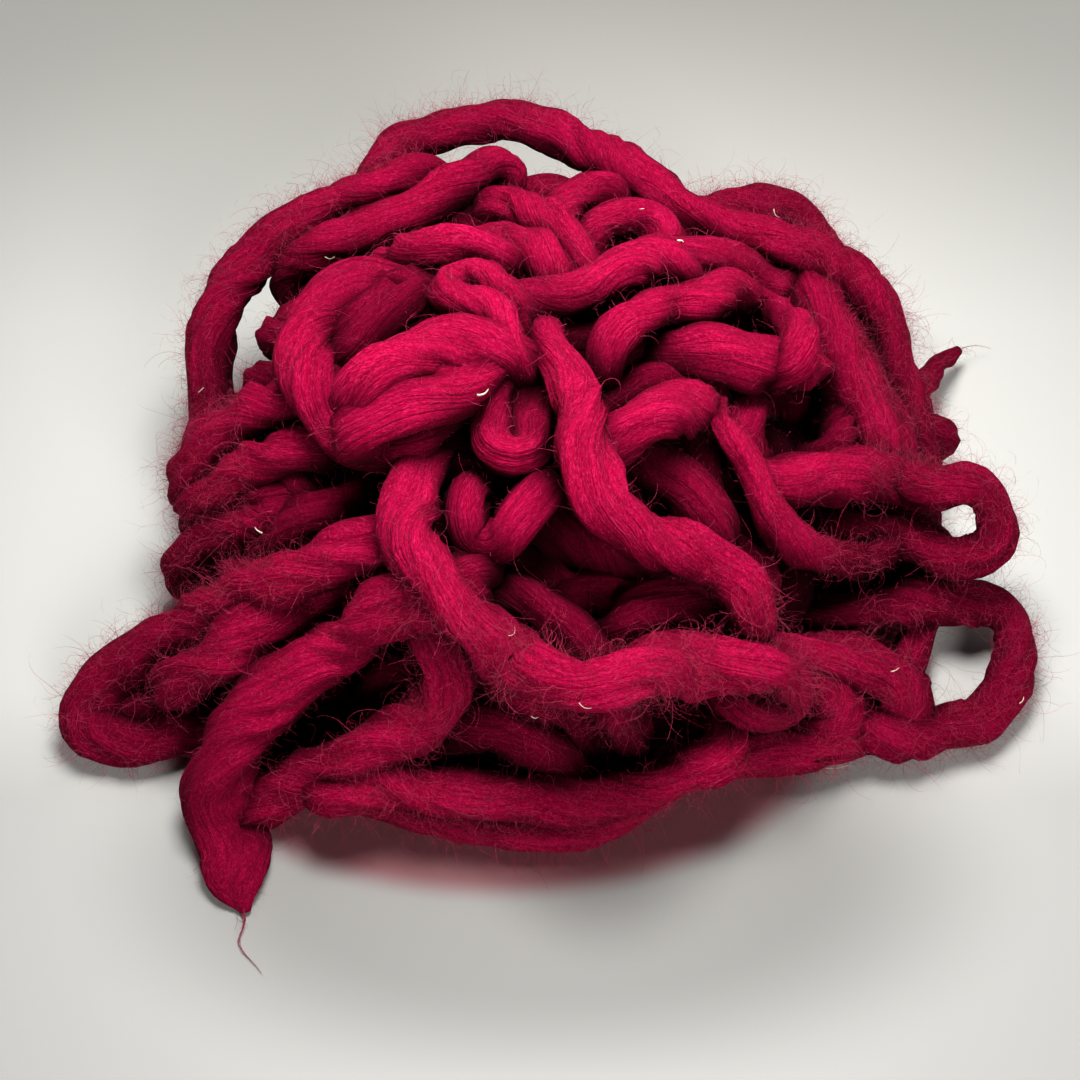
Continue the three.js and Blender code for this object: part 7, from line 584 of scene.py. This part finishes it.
PAINTED_CREVICE_SHADE = (0.12, 0.92, 0.03)         # painted shade in the crevices: where the wool starts and ends darkening inward, and how far
PAINTED_FALLOFF_SHADE = (50.0, 92.0, 0.46)         # painted shade outward too, on the outer turns away from the light, mm from the middle
INNER_PAINTED_SHADE = 0.60                     # painted shade on turns that lie deeper, over the others
HOLLOW_PAINTED_SHADE = {"under_20": 0.25, "under_25": 0.35, "under_2": 0.45, "between_2": 0.90}      # and painted shade on single ones in a hollow
WOOL = wool("wool", (0.155, 0.0004, 0.0125), (0.265, 0.0007, 0.026), (0.435, 0.0034, 0.056), 0.01, 0.65)
# painted shade: the tangle inside is near-black
INSIDE_PAINTED_SHADE = plain("wool_within_painted_shade", (0.02, 0.0003, 0.002), 0.95)
FUZZ = hair("wool_fuzz", (0.26, 0.002, 0.030), (0.66, 0.030, 0.140))
CURL = hair("wool_curls", (0.10, 0.004, 0.014), (0.38, 0.013, 0.060))
STRAW_PALE = plain("straw", (0.80, 0.66, 0.52), 0.6)
TABLE = plain("table", (0.80, 0.79, 0.75), 0.5)


def paint_table_shade(m, stops):
    """The table's colour along y, with painted shade making it darker towards the front: (y in metres, colour) from
    front to back.
    """
    tree = m.node_tree
    place = node(tree, "ShaderNodeNewGeometry").outputs["Position"]
    y = node(tree, "ShaderNodeSeparateXYZ", {0: place}).outputs[1]
    low, high = stops[0][0], stops[-1][0]
    u = node(tree, "ShaderNodeMapRange", {"Value": y, "From Min": low, "From Max": high, "To Min": 0.0, "To Max": 1.0}).outputs[0]
    ramp = node(tree, "ShaderNodeValToRGB", {"Fac": u})
    while len(ramp.color_ramp.elements) < len(stops):
        ramp.color_ramp.elements.new(0.5)
    for e, (at, colour) in zip(ramp.color_ramp.elements, stops):
        e.position = (at - low) / (high - low)
        e.color = (*colour, 1)
    # painted shadow: close in front of the wool the table is painted dark maroon, for the shadow and the colour the
    # wool throws on it, and painted grey shade a little further out
    colour = ramp.outputs[0]
    for middle, half, edge, painted_shadow_tint in (
        ((-0.002, -0.075, 0.0), (0.097, 0.050, 1.0), 0.5, (0.228, 0.225, 0.218, 1)),
        ((-0.012, -0.040, 0.0), (0.072, 0.044, 1.0), 0.86, (0.155, 0.048, 0.058, 1)),
    ):
        off = node(tree, "ShaderNodeVectorMath", {0: place, 1: middle}, operation="SUBTRACT").outputs[0]
        off = node(tree, "ShaderNodeVectorMath", {0: off, 1: half}, operation="DIVIDE").outputs[0]
        away = node(tree, "ShaderNodeVectorMath", {0: off}, operation="LENGTH").outputs["Value"]
        share = node(tree, "ShaderNodeMapRange", {"Value": away, "From Min": edge, "From Max": 1.0, "To Min": 1.0, "To Max": 0.0}, interpolation_type="SMOOTHSTEP").outputs[0]
        colour = node(tree, "ShaderNodeMix", {0: share, 6: colour, 7: painted_shadow_tint}, data_type="RGBA").outputs[2]
    shader = tree.nodes["Principled BSDF"]
    tree.links.new(colour, shader.inputs["Base Color"])
    # painted light: far from the heap, past the lamps, the table glows so it stays as pale
    far = node(tree, "ShaderNodeVectorMath", {0: place}, operation="LENGTH").outputs["Value"]
    painted_glow = node(tree, "ShaderNodeMapRange", {"Value": far, "From Min": 0.22, "From Max": 0.60, "To Min": 0.0, "To Max": 0.62}, interpolation_type="SMOOTHSTEP").outputs[0]
    shader.inputs["Emission Color"].default_value = (0.93, 0.925, 0.90, 1)
    tree.links.new(painted_glow, shader.inputs["Emission Strength"])


# the table's colours, darker towards the front with painted shade
paint_table_shade(TABLE, [(-0.16, (0.42, 0.417, 0.411)), (-0.06, (0.425, 0.422, 0.413)), (-0.035, (0.54, 0.536, 0.523)), (0.08, (0.65, 0.645, 0.624)), (0.25, (0.63, 0.62, 0.58))])

# ---- the heap --------------------------------------------------------------------
FINE, SIDES = 1.1, 22            # step along and points round a strand that shows
COARSE, COARSE_SIDES = 1.8, 16   # and one that lies under others


def freed(rows, leaves, seed):
    """A free end in two stretches that run into each other: what is hidden, and what shows."""
    whole = Strand(rows, seed, FINE, SIDES, (True, False))
    k = int(np.searchsorted(whole.s, leaves))
    lap = 3
    parts = []
    for lo, hi in ((0, k + lap), (k - lap, len(whole.s))):
        q = Strand.__new__(Strand)
        q.s, q.r, q.centre, q.t, q.out, q.fibre, q.cross = (getattr(whole, n)[lo:hi].copy() for n in ("s", "r", "centre", "t", "out", "fibre", "cross"))
        q.p = whole.p[lo:hi].copy()
        q.tone, q.shade = whole.tone, 1.0
        parts.append(q)
    hidden, shown = parts
    for j in range(lap):
        draw = 0.90 + 0.1 * j / lap
        hidden.p[-1 - j] = hidden.centre[-1 - j] + (hidden.p[-1 - j] - hidden.centre[-1 - j]) * draw
        shown.p[j] = shown.centre[j] + (shown.p[j] - shown.centre[j]) * draw
    return hidden, shown


front_root, front = freed(FRONT_END, FRONT_LEAVES, 901)
back_root, back = freed(BACK_END, BACK_LEAVES, 902)

strands = {"shown": [front_root, back_root], "under": [], "behind": []}
for j, (name, where, rows) in enumerate(TURNS):
    fine = where == "shown"
    strands[where].append(Strand(rows, 100 + j, FINE if fine else COARSE, SIDES if fine else COARSE_SIDES))
    # painted shade: turns that lie deeper or in a hollow are painted darker
    strands[where][-1].shade = HOLLOW_PAINTED_SHADE.get(name, INNER_PAINTED_SHADE if name.startswith("inner") else 1.0)

# how open to the air each place on the strands is: the share of rays that get away; the wool's painted shade is made
# from it
RAYS, REACH = 12, 38.0


def all_faces(some):
    points, faces, base = [], [], 0
    for q in some:
        n, m = q.p.shape[:2]
        i = np.arange(n - 1)[:, None] * m
        k = np.arange(m)[None, :]
        k2 = (k + 1) % m
        faces.append(np.stack([i + k, i + k2, i + m + k2, i + m + k], axis=2).reshape(-1, 4) + base)
        points.append(q.p.reshape(-1, 3))
        base += n * m
    return np.vstack(points).tolist(), np.vstack(faces).tolist()


def eased(v, low, high):
    u = np.clip((v - low) / (high - low), 0, 1)
    return u * u * (3 - 2 * u)


def aired(some):
    solid = BVHTree.FromPolygons(*all_faces(some))
    rng = np.random.default_rng(3)
    for q in some:
        n, m = q.p.shape[:2]
        rings = np.unique(np.append(np.arange(0, n, 3), n - 1))
        sides = np.arange(0, m, max(m // 8, 1))
        got = np.empty((len(rings), len(sides)))
        for a, i in enumerate(rings):
            for b, k in enumerate(sides):
                o = q.out[i, k]
                start = Vector(q.p[i, k] + o * 0.5)
                ways = rng.normal(size=(RAYS, 3))
                ways = ways / np.linalg.norm(ways, axis=1)[:, None] + o * 1.02
                free = 0.0
                for w in ways:
                    hit = solid.ray_cast(start, w, REACH)
                    if hit[0] is None:
                        free += 1.0 if w[2] > 0 else 0.6
                    else:
                        free += 0.35 * (hit[3] / REACH)
                got[a, b] = free / RAYS
        round_ = np.append(sides, m)
        got = np.column_stack([got, got[:, 0]])
        wide = np.stack([np.interp(np.arange(m), round_, row) for row in got])
        # first the openness, kept as open; from it the painted shade is made
        q.air = np.stack([np.interp(np.arange(n), rings, wide[:, k]) for k in range(m)], axis=1)
        q.open = q.air
        # painted shade: the less open a place, the darker its colour is painted
        q.air = PAINTED_CREVICE_SHADE[2] + (1 - PAINTED_CREVICE_SHADE[2]) * eased(q.air, PAINTED_CREVICE_SHADE[0], PAINTED_CREVICE_SHADE[1])
        # painted shade: the outer turns, away from the light, are painted dimmer
        back = q.p[..., 1] - INSIDE[0][1]
        far = np.hypot(q.p[..., 0] - INSIDE[0][0], back * np.where(back > 0, 1.12, 0.68))
        q.air = q.air * (1 - PAINTED_FALLOFF_SHADE[2] * eased(far, PAINTED_FALLOFF_SHADE[0], PAINTED_FALLOFF_SHADE[1])) * q.shade
        # painted shade around the hollows of the heap
        for x, y, z, reach, share in PAINTED_SHADE_SPOTS:
            off = np.linalg.norm(q.p - np.array([x, y, z]), axis=2) / reach
            q.air = q.air * (1 - share * (1 - eased(off, 0.3, 1.0)))
        for _ in range(2):
            q.air[1:-1] = (q.air[:-2] + 2 * q.air[1:-1] + q.air[2:]) / 4
            q.air = (np.roll(q.air, 1, 1) + 2 * q.air + np.roll(q.air, -1, 1)) / 4


aired([q for group in strands.values() for q in group] + [front, back])

half = len(strands["shown"]) // 2
heap = [
    mesh_of("heap_turns_a", strands["shown"][:half], WOOL),
    mesh_of("heap_turns_b", strands["shown"][half:], WOOL),
    mesh_of("heap_turns_behind", strands["behind"], WOOL),
    mesh_of("heap_turns_under", strands["under"], WOOL),
]


def inside():
    """The tangle within, as one low mound, painted near-black as the shade inside."""
    middle, half_size = (np.array(v) for v in INSIDE)
    u, v = np.meshgrid(np.linspace(0, 2 * math.pi, 48, endpoint=False), np.linspace(-math.pi / 2, math.pi / 2, 25)[1:-1])
    p = middle + half_size * np.stack([np.cos(v) * np.cos(u), np.cos(v) * np.sin(u), np.sin(v)], axis=2)
    p[..., 2] = np.maximum(p[..., 2], 0.4)
    n, m = p.shape[:2]
    i = np.arange(n - 1)[:, None] * m
    k = np.arange(m)[None, :]
    k2 = (k + 1) % m
    quads = np.stack([i + k, i + k2, i + m + k2, i + m + k], axis=2).reshape(-1, 4)
    k = np.arange(m)
    k2 = (k + 1) % m
    tris = np.vstack([np.stack([k2, k, np.full(m, n * m)], axis=1), np.stack([k + (n - 1) * m, k2 + (n - 1) * m, np.full(m, n * m + 1)], axis=1)])
    points = np.vstack([p.reshape(-1, 3), p[0].mean(0), p[-1].mean(0)])
    return joined("heap_inside", points * MM, quads, tris, INSIDE_PAINTED_SHADE, tone=np.zeros(len(points)))


heap.append(inside())
front_piece = mesh_of("end_in_front", [front], WOOL)
back_piece = mesh_of("end_behind", [back], WOOL)

# ---- fuzz ------------------------------------------------------------------------
every = [q for group in strands.values() for q in group] + [front, back]
spots = np.vstack([q.centre[::2] for q in every])
sizes = np.concatenate([q.r[::2] for q in every])
near = KDTree(len(spots))
for j, c in enumerate(spots):
    near.insert(c, j)
near.balance()
LOW = (cad_low - 0.012) / MM
HIGH = (cad_high + 0.010) / MM


def open_to_air(p, n, clear):
    """True if nothing lies within reach straight out from p."""
    for out in (clear * 0.5, clear):
        at = p + n * out
        if at[2] < 0.3:
            return False
        for _, j, dist in near.find_range(at, 8.5):
            if dist < sizes[j] * 0.98:
                return False
    return True


def roots(some, count, rng, clear, outer=0.0, airy=0.0):
    """Places on the strands where a hair can stand: point, outward direction and the strand's run.
    outer is the share of the places in the middle that is passed over, and airy how open a place has to be."""
    lengths = np.array([q.s[-1] - q.s[0] for q in some])
    pick = rng.choice(len(some), size=count * 14, p=lengths / lengths.sum())
    found = []
    for j in pick:
        q = some[j]
        i = int(rng.integers(1, len(q.s) - 1))
        k = int(rng.integers(q.p.shape[1]))
        p, n = q.p[i, k], q.out[i, k]
        away = math.hypot(p[0] - INSIDE[0][0], p[1] - INSIDE[0][1])
        if rng.uniform() < outer and away < 62.0 or q.open[i, k] < airy:
            continue
        if open_to_air(p, n, clear):
            found.append((p, n, q.t[i]))
            if len(found) == count:
                break
    return [np.array(v) for v in zip(*found)]


def hairs(name, at, out, along, reach, points, thick, curl, lean, rng, tone=(0.0, 1.0), material=None):
    """Fine tapering fibres, flat two-sided bands, that curl as they go."""
    n = len(at)
    length = rng.uniform(*reach, n) * rng.uniform(0.6, 1.0, n)
    side = rng.normal(size=(n, 3))
    heading = out * rng.uniform(0.25, 1.0, (n, 1)) + along * rng.choice([-1, 1], (n, 1)) * rng.uniform(0.1, lean, (n, 1)) + side * 0.35
    heading /= np.linalg.norm(heading, axis=1)[:, None]
    axis = rng.normal(size=(n, 3))
    axis /= np.linalg.norm(axis, axis=1)[:, None]
    rate = rng.choice([-1, 1], n) * rng.uniform(0.3, 1.0, n) * curl
    step = length / (points - 1)
    line = [at - out * 0.35]
    for _ in range(points - 1):
        angle = (rate * step)[:, None]
        heading = heading * np.cos(angle) + np.cross(axis, heading) * np.sin(angle) + axis * (axis * heading).sum(1)[:, None] * (1 - np.cos(angle))
        axis = axis + rng.normal(size=(n, 3)) * 0.25
        axis /= np.linalg.norm(axis, axis=1)[:, None]
        nxt = line[-1] + heading * step[:, None]
        nxt = np.clip(nxt, LOW, HIGH)
        nxt[:, 2] = np.maximum(nxt[:, 2], 0.15)
        line.append(nxt)
    return fibres(name, np.stack(line, axis=1), thick * rng.uniform(0.75, 1.25, n), rng.uniform(*tone, n), material or FUZZ)


def fibres(name, line, thick, tone, material, sides=2):
    """Tapering fibres along lines: two-sided ones are bands, three-sided ones closed."""
    n, m = line.shape[:2]
    t = np.gradient(line, axis=1)
    t /= np.linalg.norm(t, axis=2)[..., None] + 1e-9
    ref = np.where(np.abs(t[:, :1, 2:3]) < 0.8, np.array([0.0, 0.0, 1.0]), np.array([1.0, 0.0, 0.0]))
    a = np.cross(np.broadcast_to(ref, t.shape), t)
    a /= np.linalg.norm(a, axis=2)[..., None] + 1e-9
    b = np.cross(t, a)
    taper = np.linspace(1.0, 0.4, m)[None, :, None]
    r = (thick[:, None, None] / 2) * taper
    if sides == 2:
        turn = (np.arange(n) * 2.4)[:, None, None]
        spokes = [a * np.cos(turn) + b * np.sin(turn)]
        spokes.append(-spokes[0])
        walls = [(0, 1)]
    else:
        spokes = [a * math.cos(w) + b * math.sin(w) for w in (0, 2 * math.pi / 3, 4 * math.pi / 3)]
        walls = [(0, 1), (1, 2), (2, 0)]
    rings = np.stack([line + v * r for v in spokes], axis=2)[:, :-1]      # the last place is the tip
    per = sides * (m - 1) + 1
    points = np.concatenate([rings.reshape(n, -1, 3), line[:, -1:, :]], axis=1).reshape(-1, 3)
    base = (np.arange(n) * per)[:, None, None]
    quads = [[i * sides + k, i * sides + k2, (i + 1) * sides + k2, (i + 1) * sides + k] for i in range(m - 2) for k, k2 in walls]
    last = (m - 2) * sides
    tris = [[last + k, last + k2, per - 1] for k, k2 in walls] + ([[2, 1, 0]] if sides == 3 else [])
    quads = (np.array(quads)[None] + base).reshape(-1, 4)
    tris = (np.array(tris)[None] + base).reshape(-1, 3)
    return joined(name, points * MM, quads, tris, material, tone=np.repeat(tone, per))


rng = np.random.default_rng(7)
outside = strands["shown"] + strands["behind"] + strands["under"]
SHORT, CURLS, LONG = 30000, 24000, 11500
at, out, along = roots(outside, SHORT, rng, 2.2)
cut = len(at) // 2
fuzz = [
    hairs("heap_fuzz_a", at[:cut], out[:cut], along[:cut], (0.9, 2.9), 4, 0.055, 0.9, 1.6, rng),
    hairs("heap_fuzz_b", at[cut:], out[cut:], along[cut:], (0.9, 2.9), 4, 0.055, 0.9, 1.6, rng),
]
at, out, along = roots(outside, CURLS, rng, 5.0, 0.85, 0.58)
cut = len(at) // 2
for name, part in (("heap_curls_a", slice(None, cut)), ("heap_curls_b", slice(cut, None))):
    fuzz.append(hairs(name, at[part], out[part], along[part], (2.5, 8.0), 7, 0.056, 0.85, 0.9, rng, material=CURL))
at, out, along = roots(outside, LONG, rng, 6.0, 0.88, 0.62)
cut = len(at) // 2
for name, part in (("heap_long_a", slice(None, cut)), ("heap_long_b", slice(cut, None))):
    fuzz.append(hairs(name, at[part], out[part], along[part], (6.0, 16.0), 10, 0.056, 0.6, 0.9, rng, material=CURL))
at, out, along = roots([front], 1500, rng, 2.0)
front_fuzz = hairs("end_in_front_fuzz", at, out, along, (1.2, 5.0), 6, 0.055, 0.9, 1.2, rng, material=CURL)
at, out, along = roots([back], 350, rng, 2.0)
back_fuzz = hairs("end_behind_fuzz", at, out, along, (1.5, 5.0), 6, 0.08, 0.9, 1.2, rng, material=CURL)


def wisp(name, q, path, count, spread, rng):
    """The drawn-out fibres past a free end's tip, twisted loosely about one line."""
    way = np.array(path, float)
    k = len(q.s) - 1
    way = np.vstack([q.centre[k - 6], q.centre[k - 2], way])
    rows, s = run_through(np.column_stack([way, np.ones(len(way))]), 0.8)
    line0 = rows[:, :3]
    t, a, b = carried(line0)
    places = 20
    lines = []
    for j in range(count):
        end = s[-1] if j < 3 else (0.25 + 0.75 * rng.uniform() ** 1.6) * s[-1]
        w = np.linspace(0, end, places)
        mid = np.column_stack([np.interp(w, s, line0[:, j]) for j in range(3)])
        side = np.column_stack([np.interp(w, s, a[:, j]) for j in range(3)])
        up = np.column_stack([np.interp(w, s, b[:, j]) for j in range(3)])
        turn = rng.uniform(0, 2 * math.pi) + 2 * math.pi * w / 17.0 + wander(w, rng, (9, 5), 0.6)
        u = w / s[-1]
        away = spread * (0.22 + 0.78 * (1 - u) ** 2) * rng.uniform(0.2, 1.0) * (1 + wander(w, rng, (7, 4), 0.3))
        if j >= count - 6:                       # a few that stray
            away = away + rng.uniform(1.5, 4.0) * (w / end) ** 2
        lines.append(mid + (side * np.cos(turn)[:, None] + up * np.sin(turn)[:, None]) * away[:, None])
    line = np.clip(np.stack(lines), LOW, HIGH)
    line[..., 2] = np.maximum(line[..., 2], 0.15)
    return fibres(name, line, rng.uniform(0.055, 0.10, count), rng.uniform(0.0, 0.9, count), CURL, sides=3)


front_wisp = wisp("end_in_front_wisp", front, FRONT_WISP, 26, 0.8, rng)
back_wisp = wisp("end_behind_wisp", back, BACK_WISP, 14, 0.5, rng)


def straw():
    """Short pale slivers lying on the wool."""
    lines = []
    for x, y, z, length, thick, heading, bend in STRAW:
        p = np.array([x, y, z], float)
        _, j, _ = near.find(p)
        n = p - spots[j]
        n /= np.linalg.norm(n)
        u = np.array([math.cos(math.radians(heading)), math.sin(math.radians(heading)), 0.0])
        u = u - n * u.dot(n)
        u /= np.linalg.norm(u)
        v = np.cross(n, u)
        w = np.linspace(-0.5, 0.5, 9)[:, None]
        lines.append(spots[j] + n * (sizes[j] * 1.06 + 0.25) + u * w * length + v * (w * w - 0.12) * bend * length + n * (0.3 * np.cos(w * math.pi) - 0.1))
    line = np.stack(lines)
    return fibres("straw_bits", line, np.array([b[4] for b in STRAW]), np.zeros(len(STRAW)), STRAW_PALE, sides=3)


bits = straw() if STRAW else None

# ---- what stands for what ----------------------------------------------------------
body = "root"
loose = heap + fuzz + ([bits] if bits else [])
for piece in loose:
    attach(piece, body)
for piece in heap:
    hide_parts("yarn_heap")
for piece, more, node_name, q in (
    (front_piece, [front_fuzz, front_wisp], "loose_end_front", front),
    (back_piece, [back_fuzz, back_wisp], "loose_end_back", back),
):
    for o in [piece] + more:
        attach(o, body)
    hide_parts(node_name)

# ---- table and light -------------------------------------------------------------
bpy.ops.mesh.primitive_plane_add(size=6.0, location=(0, 0, 0))
floor = bpy.context.object
floor.name = "table"
floor.data.materials.append(TABLE)
floor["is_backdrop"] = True
bpy.ops.mesh.primitive_uv_sphere_add(radius=2.9, location=(0, 0, 0), segments=64, ring_count=32)
backdrop = bpy.context.object
backdrop.name = "backdrop"
pale_air = plain("backdrop", (0.0, 0.0, 0.0), 1.0)
pale_air.node_tree.nodes["Principled BSDF"].inputs["Emission Color"].default_value = (0.94, 0.935, 0.915, 1)
pale_air.node_tree.nodes["Principled BSDF"].inputs["Emission Strength"].default_value = 0.66
backdrop.data.materials.append(pale_air)
backdrop.visible_diffuse = backdrop.visible_glossy = backdrop.visible_shadow = False
backdrop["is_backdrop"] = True


def area(name, place, aim, size, power, colour=(1, 1, 1)):
    light = bpy.data.lights.new(name, "AREA")
    light.shape = "DISK"
    light.size = size
    light.energy = power
    light.color = colour
    o = bpy.data.objects.new(name, light)
    o.location = place
    o.rotation_euler = (Vector(aim) - Vector(place)).to_track_quat("-Z", "Y").to_euler()
    o.visible_camera = False
    bpy.context.collection.objects.link(o)


area("key", (0.000, -0.022, 0.288), (0, 0, 0.02), 0.11, 1.32, (1.0, 0.985, 0.955))
area("fill", (0.28, -0.70, 0.46), (0, 0, 0.03), 0.30, 4.9, (1.0, 0.99, 0.97))
area("room", (0.0, 0.35, 0.75), (0, 0.05, 0.0), 0.7, 0.35, (0.99, 0.995, 1.0))
world = bpy.data.worlds.new("studio")
world.use_nodes = True
world.node_tree.nodes["Background"].inputs["Color"].default_value = (0.93, 0.94, 0.95, 1)
world.node_tree.nodes["Background"].inputs["Strength"].default_value = 0.055
bpy.context.scene.world = world
bpy.context.scene.view_settings.view_transform = "Standard"
bpy.context.scene.view_settings.look = "None"

bpy.context.view_layer.update()
